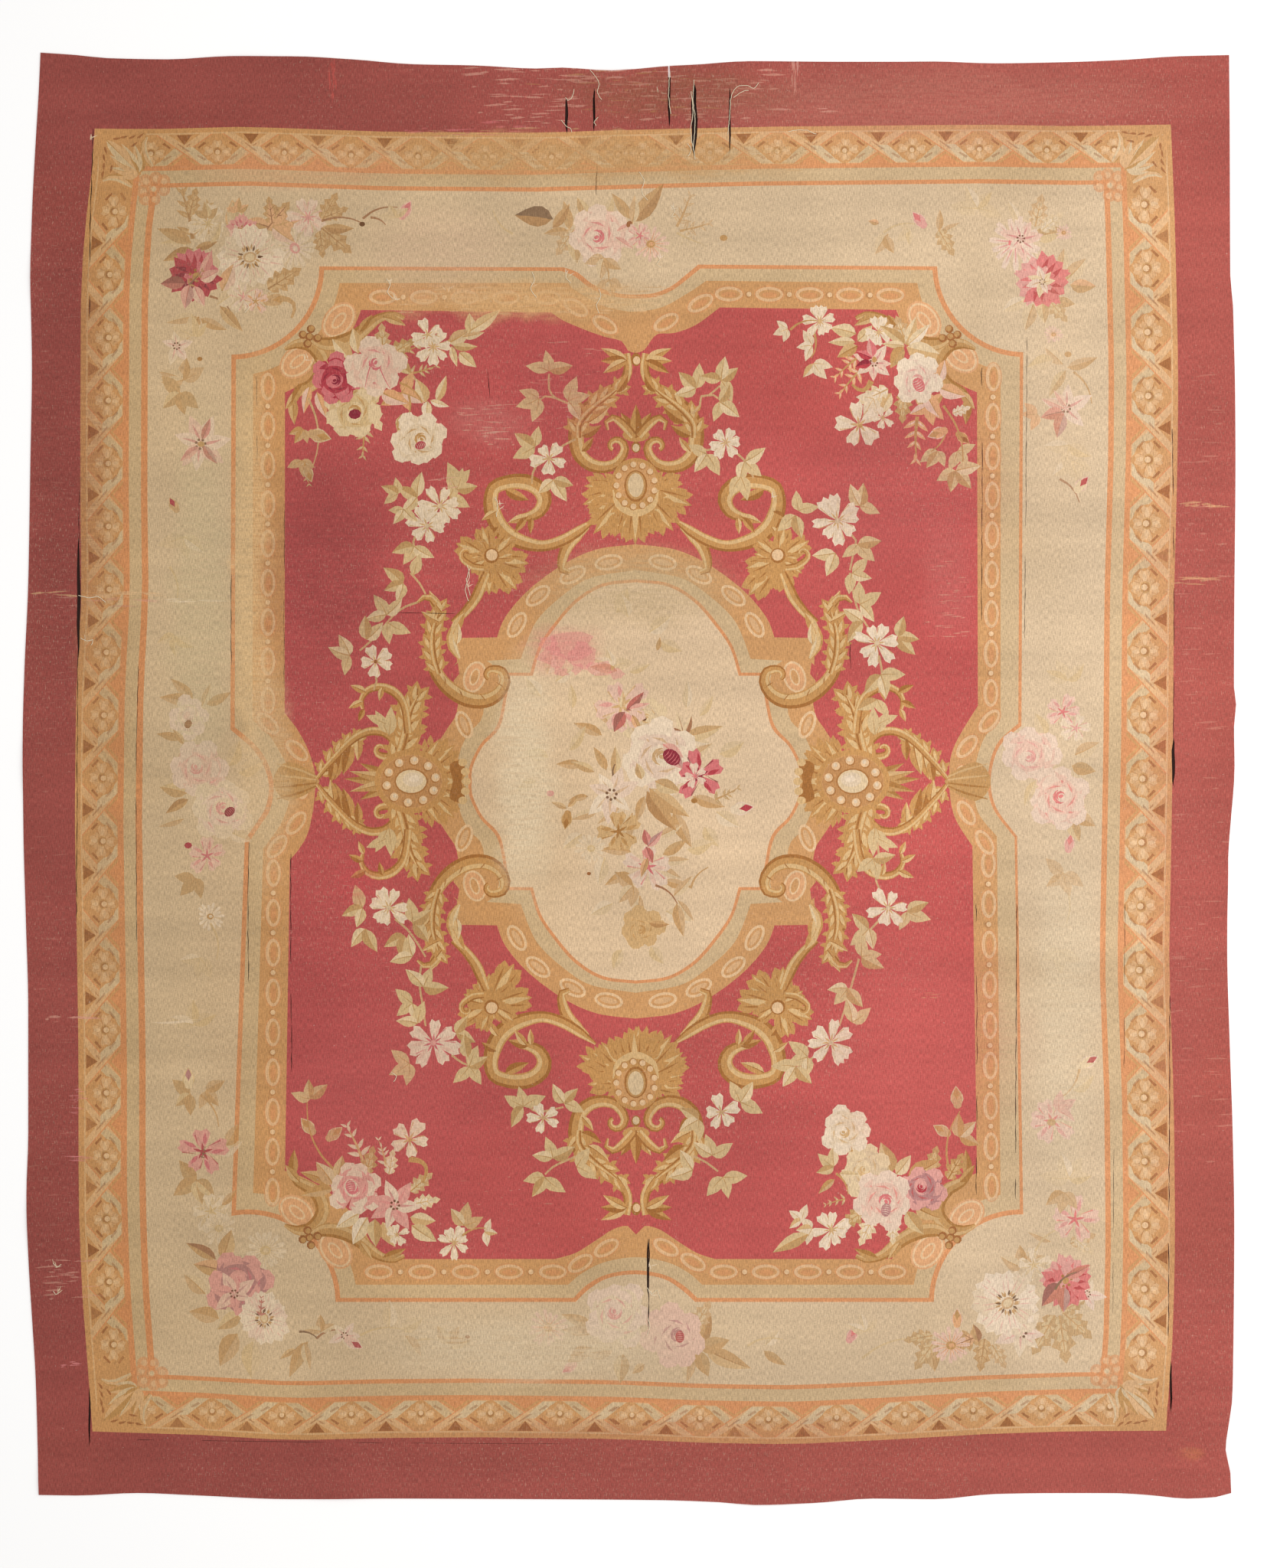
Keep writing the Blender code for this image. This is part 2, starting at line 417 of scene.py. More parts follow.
class Cartoon:
    """The weaver's full-size drawing: patches in the order in which they cover each other."""

    SMALLEST = 0.04

    def __init__(self, seed: int) -> None:
        """Starts an empty drawing whose small unevenness follows the seed.

        Args:
            seed: Seed of the random draws.
        """
        self.patches: list[Patch] = []
        self.random = random.Random(seed)
        self.strength = 1.0
        self.veil = 0
        self.axis_x: float | None = None
        self.axis_y: float | None = None

    def fill(self, outline: Sequence[Point], yarn: Yarn, cover: float = 1.0) -> None:
        """Adds one patch, anticlockwise and without doubled points.

        Args:
            outline: The patch's edge in centimetres.
            yarn: The patch's yarn.
            cover: 1 hides what is under the patch, less only tints it.
        """
        clean: Outline = []
        for x, y in outline:
            point = (
                x if self.axis_x is None else 2 * self.axis_x - x,
                y if self.axis_y is None else 2 * self.axis_y - y,
            )
            if not clean or math.dist(point, clean[-1]) > self.SMALLEST:
                clean.append(point)
        while len(clean) > 2 and math.dist(clean[0], clean[-1]) < self.SMALLEST:
            clean.pop()
        if len(clean) < 3:
            return
        area = enclosed(clean)
        if abs(area) < 0.5 * self.SMALLEST:
            return
        outline = clean if area > 0 else clean[::-1]
        self.patches.append(Patch(outline, yarn, cover * self.strength, cover == 1.0, self.veil))

    def band(
        self, line: Sequence[Point], widths: Sequence[float], yarn: Yarn,
        low: float = -0.5, high: float = 0.5,
    ) -> None:
        """Adds a band that follows a line."""
        for piece in strips(line, widths, low, high):
            self.fill(piece, yarn)

    def stroke(
        self, spot: Spot, line: Sequence[Point], widths: Sequence[float], yarn: Yarn, cover: float = 1.0
    ) -> None:
        """Adds a band that follows a line in a motif's own axes."""
        for piece in strips(line, widths):
            self.fill(spot.put(piece), yarn, cover)

    def both_sides(self, axis: float, draw: Callable[["Cartoon"], None]) -> None:
        """Draws something as it is and once more mirrored about an upright axis.

        Args:
            axis: The axis's x.
            draw: Adds the thing to a drawing.
        """
        draw(self)
        kept = self.axis_x
        self.axis_x = axis
        draw(self)
        self.axis_x = kept

    def both_ends(self, axis: float, draw: Callable[["Cartoon"], None]) -> None:
        """Draws something as it is and once more mirrored about a level axis.

        Args:
            axis: The axis's y.
            draw: Adds the thing to a drawing.
        """
        draw(self)
        kept = self.axis_y
        self.axis_y = axis
        draw(self)
        self.axis_y = kept

    def four_ways(self, axis_x: float, axis_y: float, draw: Callable[["Cartoon"], None]) -> None:
        """Draws something in all four quarters."""
        self.both_sides(axis_x, lambda cartoon: cartoon.both_ends(axis_y, draw))

    def jitter(self, amount: float) -> float:
        """A small uneven step."""
        return self.random.uniform(-amount, amount)

    def leaf(self, spot: Spot, length: float, width: float, tones: Tones, bend: float = 0.0) -> None:
        """Adds a leaf with one shaded half and a midrib.

        Args:
            spot: Where the motif lies and which way it points.
            length: Length from root to tip.
            width: Full width.
            tones: The motif's yarns.
            bend: How far the tip lies aside.
        """
        shape = leaf_shape(length, width, bend)
        rib = [(length * t, bend * t * t) for t in (0.0, 0.34, 0.65, 0.90)]
        self.fill(spot.put(shape), tones.mid)
        half = shape[:7] + rib[:0:-1]
        self.fill(spot.put(half), tones.light if self.random.random() < 0.5 else tones.dark)
        self.stroke(spot, rib, (0.10 * width, 0.03 * width), tones.dark)

    def plain_leaf(self, spot: Spot, length: float, width: float, tones: Tones, bend: float = 0.0) -> None:
        """Adds a leaf in one pale yarn with a short midrib.

        Args:
            spot: Where the motif lies and which way it points.
            length: Length from root to tip.
            width: Full width.
            tones: The motif's yarns.
            bend: How far the tip lies aside.
        """
        self.fill(spot.put(leaf_shape(length, width, bend)), tones.mid)
        rib = [(length * t, bend * t * t) for t in (0.0, 0.3, 0.6)]
        self.stroke(spot, rib, (0.09 * width, 0.03 * width), tones.dark)

    def lobed_leaf(self, spot: Spot, length: float, width: float, lobes: int, tones: Tones) -> None:
        """Adds a lobed leaf with a lighter heart and a midrib.

        Args:
            spot: Where the motif lies and which way it points.
            length: Length from root to tip.
            width: Full width.
            lobes: Number of lobes on a side.
            tones: The motif's yarns.
        """
        self.fill(spot.put(lobed_shape(length, width, lobes)), tones.mid)
        self.fill(spot.put(lobed_shape(0.8 * length, 0.52 * width, lobes)), tones.light)
        for side in (-1, 1):
            for share in (0.25, 0.5):
                vein = [(share * length, 0.0), ((share + 0.16) * length, side * 0.30 * width)]
                self.stroke(spot, vein, (0.05 * width, 0.02 * width), tones.dark)
        self.stroke(spot, [(0.0, 0.0), (0.85 * length, 0.0)], (0.08 * width, 0.02 * width), tones.dark)

    def blossom(
        self, spot: Spot, petals: int, radius: float, tones: Tones, heart: Yarn, notch: float = 0.12
    ) -> None:
        """Adds an open flower of separate petals round a small heart.

        Args:
            spot: Where the motif lies and which way it points.
            petals: Number of petals.
            radius: Radius of the flower.
            tones: The motif's yarns.
            heart: Yarn of the flower's heart.
            notch: Depth of a petal's notch as a share of its length.
        """
        width = (1.02 + 0.06 * petals) * radius * math.sin(math.pi / petals)
        for petal in range(petals):
            turn = 360.0 * petal / petals + self.jitter(11.0)
            length = radius * (1.12 + self.jitter(0.18))
            piece = spot.on(0.0, 0.0, turn)
            self.fill(piece.put(petal_shape(length, width * (0.96 + self.jitter(0.2)), notch)), tones.light)
            self.fill(
                piece.on(0.30 * length, -0.16 * width, -6.0).put(leaf_shape(0.52 * length, 0.26 * width)),
                tones.mid,
            )
            crease = [(0.12 * length, 0.22 * width), (0.74 * length, 0.40 * width)]
            self.stroke(piece, crease, (0.02, 0.10 * width), tones.dark, 0.8)
            self.fill(piece.put(leaf_shape(0.40 * length, 0.16 * width)), tones.dark)
        self.fill(spot.put(oval(0.0, 0.0, 0.26 * radius, 0.26 * radius, sides=8)), heart)

    def lobe(self, spot: Spot, length: float, width: float, tones: Tones = SCROLL_TONES) -> None:
        """Adds one scalloped lobe of a carved leaf, with a light rib between two grooves.

        Args:
            spot: Where the motif lies and which way it points.
            length: Length from root to tip.
            width: Full width.
            tones: The motif's yarns.
        """
        self.fill(spot.put(leaf_shape(length, width)), tones.mid)
        for side in (-1, 1):
            for share, reach in ((0.36, 0.30), (0.58, 0.30), (0.76, 0.22)):
                tooth = spot.on(
                    share * length, 0.24 * width * side, (38.0 - 16.0 * share) * side + self.jitter(6.0)
                )
                self.fill(tooth.put(leaf_shape(reach * length, 0.40 * width)), tones.mid)
            groove = [
                (0.2 * length, 0.12 * width * side), (0.62 * length, 0.25 * width * side),
                (0.86 * length, 0.30 * width * side),
            ]
            self.stroke(spot, groove, (0.02, 0.13 * width, 0.03), tones.dark, 0.85)
        self.fill(
            spot.on(0.24 * length, 0.0, 0.0).put(leaf_shape(0.70 * length, 0.30 * width)), tones.light
        )

    def rose(self, spot: Spot, radius: float, tones: Tones) -> None:
        """Adds a full rose: cupped outer petals, folded inner ones and a dark heart set off its middle.

        Args:
            spot: Where the motif lies and which way it points.
            radius: Radius of the flower.
            tones: The motif's yarns.
        """
        for ring, petals, reach in ((0, 7, 1.06), (1, 5, 0.80)):
            for petal in range(petals):
                turn = 360.0 * petal / petals + 30.0 * ring + self.jitter(12.0)
                size = reach * radius * (1.0 + self.jitter(0.12))
                base = spot.on(0.08 * radius * ring, 0.05 * radius * ring, turn)
                self.fill(base.put(petal_shape(size, (0.94 - 0.1 * ring) * radius, 0.03)), tones.mid)
                lip = [
                    (0.70 * size, -0.36 * radius), (0.93 * size, -0.24 * radius), (1.0 * size, 0.0),
                    (0.93 * size, 0.24 * radius), (0.74 * size, 0.38 * radius),
                ]
                widths = (0.06, 0.30 * radius, 0.34 * radius, 0.24 * radius, 0.04)
                self.stroke(base, smooth(lip, 0.3 * radius), widths, tones.light)
                fold = [
                    (0.42 * size, -0.30 * radius), (0.62 * size, -0.06 * radius),
                    (0.70 * size, 0.26 * radius),
                ]
                self.stroke(base, smooth(fold, 0.3 * radius), (0.02, 0.10 * radius, 0.02), tones.dark, 0.75)
        heart_u, heart_v = 0.14 * radius, 0.08 * radius
        self.fill(spot.put(oval(heart_u, heart_v, 0.86 * radius, 0.72 * radius, sides=12)), tones.light)
        for ring, span in ((0.36, 170.0), (0.26, 200.0), (0.16, 230.0)):
            arc = []
            for step in range(7):
                angle = math.radians(-0.5 * span + span * step / 6 + 700.0 * ring)
                arc.append(
                    (heart_u + ring * radius * math.cos(angle), heart_v + ring * radius * math.sin(angle))
                )
            yarn = tones.dark if ring < 0.3 else tones.mid
            self.stroke(spot, arc, (0.02, 0.09 * radius, 0.12 * radius, 0.02), yarn)
        self.fill(spot.put(oval(heart_u, heart_v, 0.20 * radius, 0.14 * radius, sides=7)), tones.dark)

    def scroll(
        self, line: Sequence[Point], widths: Sequence[float], tones: Tones = SCROLL_TONES, lit: int = 1
    ) -> None:
        """Adds a modelled scroll: a body with a dark edge and a light one.

        Args:
            line: Middle of the scroll.
            widths: Its widths along the line.
            tones: Its yarns.
            lit: 1 puts the light edge on the left of the line and -1 on the right.
        """
        self.band(line, widths, tones.mid)
        if lit > 0:
            self.band(line, widths, tones.dark, -0.52, -0.30)
            self.band(line, widths, tones.light, 0.12, 0.40)
        else:
            self.band(line, widths, tones.dark, 0.30, 0.52)
            self.band(line, widths, tones.light, -0.40, -0.12)

    def acanthus(
        self, line: Sequence[Point], width: float, lobes: int, tones: Tones = SCROLL_TONES,
        sides: Sequence[int] = (-1, 1),
    ) -> None:
        """Adds a curling acanthus leaf: lobes that spring from a spine and shorten towards its tip.

        Args:
            line: The leaf's spine from root to tip.
            width: Reach of the widest lobe from the spine.
            lobes: Number of lobes on a side.
            tones: Its yarns.
            sides: Sides that have lobes, 1 for left and -1 for right.
        """
        lengths = run_lengths(line)
        total = lengths[-1]
        for lobe in range(lobes):
            share = (lobe + 0.3) / lobes
            index = min(range(len(line)), key=lambda i: abs(lengths[i] - share * total))
            ahead, behind = line[min(index + 1, len(line) - 1)], line[max(index - 1, 0)]
            heading = math.degrees(math.atan2(ahead[1] - behind[1], ahead[0] - behind[0]))
            reach = width * (0.55 + 0.75 * math.sin(math.pi * (0.25 + 0.62 * share)))
            for side in sides:
                spot = Spot(*line[index], heading + side * (46.0 - 14.0 * share + self.jitter(5.0)))
                self.fill(spot.put(leaf_shape(reach, 0.62 * reach, -side * 0.20 * reach)), tones.mid)
                tooth = spot.on(0.48 * reach, side * 0.10 * reach, side * 34.0)
                self.fill(tooth.put(leaf_shape(0.44 * reach, 0.26 * reach)), tones.mid)
                self.fill(
                    spot.put(leaf_shape(0.82 * reach, 0.28 * reach, -side * 0.12 * reach)), tones.light
                )
                edge = spot.on(0.10 * reach, -side * 0.12 * reach, -side * 6.0)
                self.fill(edge.put(leaf_shape(0.55 * reach, 0.10 * reach)), tones.dark)
        body = (0.36 * width, 0.46 * width, 0.34 * width, 0.08 * width)
        self.band(line, body, tones.mid)
        self.band(line, body, tones.light, 0.0, 0.34)
        self.band(line, body, tones.dark, -0.40, -0.16)

    def stem(self, knots: Sequence[Point], width: float, yarn: Yarn) -> None:
        """Adds a thin stem through a few knots."""
        self.band(smooth(knots, 2.2), (width, 0.8 * width), yarn)

    def sprig(
        self, spot: Spot, tones: Tones, leaves: int = 3, length: float = 6.6, spread: float = 68.0
    ) -> None:
        """Adds a fan of a few leaves, each shaded or plain.

        Args:
            spot: Where the motif lies and which way it points.
            tones: The motif's yarns.
            leaves: Number of leaves.
            length: A leaf's length.
            spread: Angle between two leaves.
        """
        for leaf in range(leaves):
            turn = (leaf - 0.5 * (leaves - 1)) * spread + self.jitter(9.0)
            size = length * (1.0 + self.jitter(0.12))
            bend = self.random.choice((-0.22, -0.1, 0.12, 0.24)) * size
            piece = spot.on(0.3, 0.0, turn)
            if self.random.random() < 0.5:
                self.leaf(piece, size, 0.56 * size, tones, bend)
            else:
                self.plain_leaf(piece, size, 0.56 * size, tones, bend)


@dataclass(frozen=True)
class EdgeLine:
    """One wavering side of the carpet: how far it lies inside the full rectangle, in metres, along it."""

    rows: tuple[tuple[float, float], ...]
    step: float = 0.05

    def slopes(self) -> list[float]:
        """Slopes that keep the smooth side from overshooting any of its rows.

        Returns:
            One slope for each row.
        """
        secants = [(b[1] - a[1]) / (b[0] - a[0]) for a, b in zip(self.rows, self.rows[1:])]
        inner = [0.0 if a * b <= 0.0 else 2.0 * a * b / (a + b) for a, b in zip(secants, secants[1:])]
        return [secants[0], *inner, secants[-1]]

    def points(self, half_span: float) -> Outline:
        """Points (along, reach) of the side.

        Args:
            half_span: Distance from the carpet's middle to the full rectangle's side.

        Returns:
            The points, in the order of the rows.
        """
        slopes = self.slopes()
        line: Outline = []
        for index, (before, after) in enumerate(zip(self.rows, self.rows[1:])):
            run = after[0] - before[0]
            steps = max(1, round(abs(run) / self.step))
            for step in range(steps):
                t = step / steps
                inset = before[1] * (1 + 2 * t) * (1 - t) ** 2 + slopes[index] * run * t * (1 - t) ** 2
                inset += after[1] * t * t * (3 - 2 * t) + slopes[index + 1] * run * t * t * (t - 1)
                line.append((before[0] + run * t, half_span - inset))
        return line


@dataclass(frozen=True)
class Tear:
    """A place where the weave has parted along its warps, in metres."""

    x: float
    start: float
    end: float
    width: float

    def outline(self) -> Outline:
        """A slot, widest near its middle and pointed at both ends.

        Returns:
            The slot's outline, anticlockwise.
        """
        length = self.end - self.start
        left, right = [], []
        for index, station in enumerate((0.10, 0.28, 0.50, 0.72, 0.90)):
            half_gap = 0.5 * self.width * math.sin(math.pi * station) ** 0.6
            waver = 0.12 * self.width * math.sin(2.3 * index + 40.0 * self.x)
            left.append((self.x - half_gap + waver, self.start + length * station))
            right.append((self.x + half_gap + waver, self.start + length * station))
        return [(self.x, self.start), *left, (self.x, self.end), *reversed(right)]


@dataclass(frozen=True)
class Ripple:
    """An oval swelling where the carpet doesn't lie flat, in metres, with its heading in degrees."""

    x: float
    y: float
    heading: float
    half_length: float
    half_width: float
    height: float

    def lift(self, x: float, y: float) -> float:
        """Height that the ripple gives to the underside at a place.

        Args:
            x: Place across the carpet.
            y: Place along the carpet.

        Returns:
            The height in metres.
        """
        turn = math.radians(self.heading)
        dx, dy = x - self.x, y - self.y
        along = (dx * math.cos(turn) + dy * math.sin(turn)) / self.half_length
        across = (dy * math.cos(turn) - dx * math.sin(turn)) / self.half_width
        fade = 1.0 - along * along - across * across
        return self.height * fade * fade if fade > 0.0 else 0.0


@dataclass(frozen=True)
class CarpetShape:
    """The carpet's cut edge, its tears and its ripples, all in metres."""

    width: float = 3.96
    length: float = 4.74
    left: EdgeLine = EdgeLine((
        (-2.338, 0.052), (-2.158, 0.048), (-1.958, 0.042), (-1.758, 0.030), (-1.558, 0.018),
        (-1.358, 0.012), (-1.158, 0.018), (-0.758, 0.018), (-0.458, 0.010), (-0.158, 0.002),
        (0.142, 0.000), (0.342, 0.005), (0.642, 0.018), (1.042, 0.025), (1.342, 0.030), (1.642, 0.025),
        (1.842, 0.030), (2.042, 0.040), (2.242, 0.052), (2.370, 0.058),
    ))
    top: EdgeLine = EdgeLine((
        (-1.922, 0.000), (-1.805, 0.008), (-1.705, 0.018), (-1.505, 0.022), (-1.305, 0.012),
        (-1.105, 0.012), (-0.905, 0.022), (-0.705, 0.038), (-0.505, 0.042), (-0.305, 0.052),
        (-0.218, 0.049), (-0.055, 0.060), (0.020, 0.054), (0.100, 0.046), (0.195, 0.041),
        (0.395, 0.028), (0.695, 0.030), (0.995, 0.030), (1.195, 0.035), (1.395, 0.032), (1.595, 0.025),
        (1.795, 0.012), (1.958, 0.008),
    ))
    right: EdgeLine = EdgeLine((
        (2.362, 0.022), (2.142, 0.020), (1.642, 0.018), (1.542, 0.010), (1.242, 0.002), (1.042, 0.001),
        (0.542, 0.005), (0.300, 0.006), (0.242, 0.000), (0.170, 0.006), (0.042, 0.004),
        (-0.158, 0.018), (-0.258, 0.025), (-0.558, 0.028), (-0.858, 0.020), (-1.158, 0.010),
        (-1.458, 0.005), (-1.858, 0.008), (-2.038, 0.014), (-2.158, 0.032), (-2.190, 0.035),
        (-2.265, 0.018), (-2.332, 0.015),
    ))
    bottom: EdgeLine = EdgeLine((
        (1.965, 0.038), (1.915, 0.025), (1.822, 0.020), (1.695, 0.032), (1.595, 0.038), (1.395, 0.038),
        (1.195, 0.035), (0.995, 0.018), (0.795, 0.020), (0.595, 0.005), (0.408, 0.000), (0.295, 0.008),
        (0.095, 0.015), (-0.305, 0.018), (-0.805, 0.020), (-1.105, 0.018), (-1.405, 0.030),
        (-1.605, 0.038), (-1.805, 0.030), (-1.928, 0.032),
    ))
    tears: tuple[Tear, ...] = (
        Tear(x=-0.205, start=2.225, end=2.105, width=0.010),
        Tear(x=-0.115, start=2.255, end=2.110, width=0.008),
        Tear(x=0.130, start=2.350, end=2.122, width=0.009),
        Tear(x=0.212, start=2.272, end=2.030, width=0.020),
        Tear(x=0.328, start=2.262, end=2.040, width=0.007),
        Tear(x=0.060, start=-1.500, end=-1.685, width=0.006),
        Tear(x=-1.798, start=0.790, end=0.390, width=0.012),
        Tear(x=-1.762, start=-1.985, end=-2.180, width=0.007),
        Tear(x=1.776, start=0.135, end=-0.025, width=0.011),
        Tear(x=1.768, start=-1.900, end=-2.070, width=0.008),
    )
    ripples: tuple[Ripple, ...] = (
        Ripple(x=1.840, y=-2.235, heading=17, half_length=0.34, half_width=0.085, height=0.011),
        Ripple(x=1.700, y=-2.075, heading=6, half_length=0.30, half_width=0.090, height=0.006),
        Ripple(x=1.930, y=-2.060, heading=62, half_length=0.22, half_width=0.070, height=0.007),
        Ripple(x=1.915, y=-0.340, heading=8, half_length=0.22, half_width=0.110, height=0.006),
        Ripple(x=1.930, y=0.235, heading=-12, half_length=0.18, half_width=0.090, height=0.005),
        Ripple(x=1.925, y=1.540, heading=10, half_length=0.20, half_width=0.120, height=0.005),
        Ripple(x=-1.900, y=0.050, heading=4, half_length=0.22, half_width=0.140, height=0.006),
        Ripple(x=-1.880, y=-1.450, heading=-6, half_length=0.20, half_width=0.120, height=0.005),
        Ripple(x=-1.870, y=1.640, heading=5, half_length=0.20, half_width=0.120, height=0.005),
        Ripple(x=-1.820, y=-2.210, heading=40, half_length=0.26, half_width=0.080, height=0.006),
        Ripple(x=-0.060, y=2.250, heading=84, half_length=0.24, half_width=0.110, height=0.007),
        Ripple(x=0.170, y=2.235, heading=93, half_length=0.22, half_width=0.090, height=0.005),
        Ripple(x=-1.250, y=2.290, heading=86, half_length=0.18, half_width=0.140, height=0.005),
        Ripple(x=1.000, y=2.280, heading=94, half_length=0.18, half_width=0.130, height=0.004),
        Ripple(x=0.450, y=-2.280, heading=82, half_length=0.22, half_width=0.150, height=0.006),
        Ripple(x=-0.950, y=-2.290, heading=97, half_length=0.18, half_width=0.150, height=0.005),
    )

    def outline(self) -> Outline:
        """The cut edge, anticlockwise seen from above.

        Returns:
            The edge's points.
        """
        half_width, half_length = 0.5 * self.width, 0.5 * self.length
        line = [(-reach, along) for along, reach in self.left.points(half_width)]
        line += [(along, reach) for along, reach in self.top.points(half_length)]
        line += [(reach, along) for along, reach in self.right.points(half_width)]
        line += [(along, -reach) for along, reach in self.bottom.points(half_length)]
        return line[::-1]

    def lift(self, x: float, y: float) -> float:
        """Height of the underside over the floor at a place."""
        return max(ripple.lift(x, y) for ripple in self.ripples)


@dataclass(frozen=True)
class BorderLine:
    """Outer line of the gold guard border, from which all its stripes are set off, in centimetres."""

    left: tuple[Point, ...] = (
        (-174.5, 212.2), (-175.8, 194.2), (-177.8, 179.2), (-179.0, 159.2), (-179.2, 119.2), (-179.2, 89.2),
        (-178.8, 59.2), (-180.5, 29.2), (-181.0, -15.8), (-180.2, -60.8), (-179.8, -90.8), (-179.8, -135.8),
        (-178.8, -165.8), (-176.5, -195.8), (-175.2, -213.0),
    )
    right: tuple[Point, ...] = (
        (176.8, 213.5), (178.2, 179.2), (179.2, 134.2), (179.0, 104.2), (177.8, 59.2), (177.5, 14.2),
        (176.8, -30.8), (176.2, -60.8), (177.8, -105.8), (178.2, -150.8), (177.5, -180.8), (175.2, -212.8),
    )
    top: tuple[Point, ...] = (
        (-174.5, 212.2), (-155.5, 212.0), (-125.5, 212.8), (-80.5, 211.2), (-30.5, 210.8), (2.0, 211.8),
        (44.5, 212.8), (114.5, 213.5), (144.5, 213.0), (176.8, 213.5),
    )
    bottom: tuple[Point, ...] = (
        (-175.2, -213.0), (-140.5, -214.2), (-110.5, -216.0), (-80.5, -215.2), (-50.5, -215.0),
        (-5.5, -215.5), (24.5, -216.8), (54.5, -217.2), (84.5, -215.8), (114.5, -214.0), (144.5, -213.0),
        (175.2, -212.8),
    )

    def edge(self, side: str, along: float) -> float:
        """Where a side's line lies.

        Args:
            side: left, right, top or bottom.
            along: The place on the side, y for the upright sides and x for the others.

        Returns:
            The line's x on the upright sides, and its y on the others.
        """
        rows = getattr(self, side)
        upright = side in ("left", "right")
        pairs = sorted((row[1], row[0]) if upright else (row[0], row[1]) for row in rows)
        return float(np.interp(along, [pair[0] for pair in pairs], [pair[1] for pair in pairs]))

    def place(self, side: str, along: float, depth: float) -> Point:
        """The point that lies a depth inside a side's line.

        Args:
            side: Side of the carpet.
            along: Place along that side, in centimetres.
            depth: Distance inside the side's line.

        Returns:
            The point.
        """
        edge = self.edge(side, along)
        if side == "left":
            return (edge + depth, along)
        if side == "right":
            return (edge - depth, along)
        if side == "top":
            return (along, edge - depth)
        return (along, edge + depth)

    def corner(self, upright: str, level: str, across: float, down: float) -> Point:
        """The point that lies across inside an upright side and down inside a level one.

        Args:
            upright: The corner's upright side, left or right.
            level: The corner's level side, top or bottom.
            across: Distance inside the upright side.
            down: Distance inside the level side.

        Returns:
            The point.
        """
        x, y = (0.0, 0.0)
        for _ in range(4):
            x = self.place(upright, y, across)[0]
            y = self.place(level, x, down)[1]
        return (x, y)

    def ring(self, depths: "Depths") -> Outline:
        """The closed line at the given depths inside the four sides.

        Args:
            depths: Distance inside each side's line.

        Returns:
            The closed line.
        """
        corners = [
            self.corner("left", "bottom", depths.left, depths.bottom),
            self.corner("right", "bottom", depths.right, depths.bottom),
            self.corner("right", "top", depths.right, depths.top),
            self.corner("left", "top", depths.left, depths.top),
        ]
        line: Outline = []
        sides = (
            ("bottom", depths.bottom), ("right", depths.right), ("top", depths.top), ("left", depths.left)
        )
        for index, (side, depth) in enumerate(sides):
            start, end = corners[index], corners[(index + 1) % 4]
            axis = 0 if side in ("top", "bottom") else 1
            for step in range(RING_STEPS):
                along = start[axis] + (end[axis] - start[axis]) * step / RING_STEPS
                line.append(self.place(side, along, depth))
        return line


@dataclass(frozen=True)
class Depths:
    """How far a ring lies inside the border's outer line on each side, in centimetres."""

    left: float
    top: float
    right: float
    bottom: float


@dataclass(frozen=True)
class LatticeRun:
    """A run of the lattice on one side, from its first brown triangle to its last."""

    side: str
    first: float
    last: float
    repeats: int


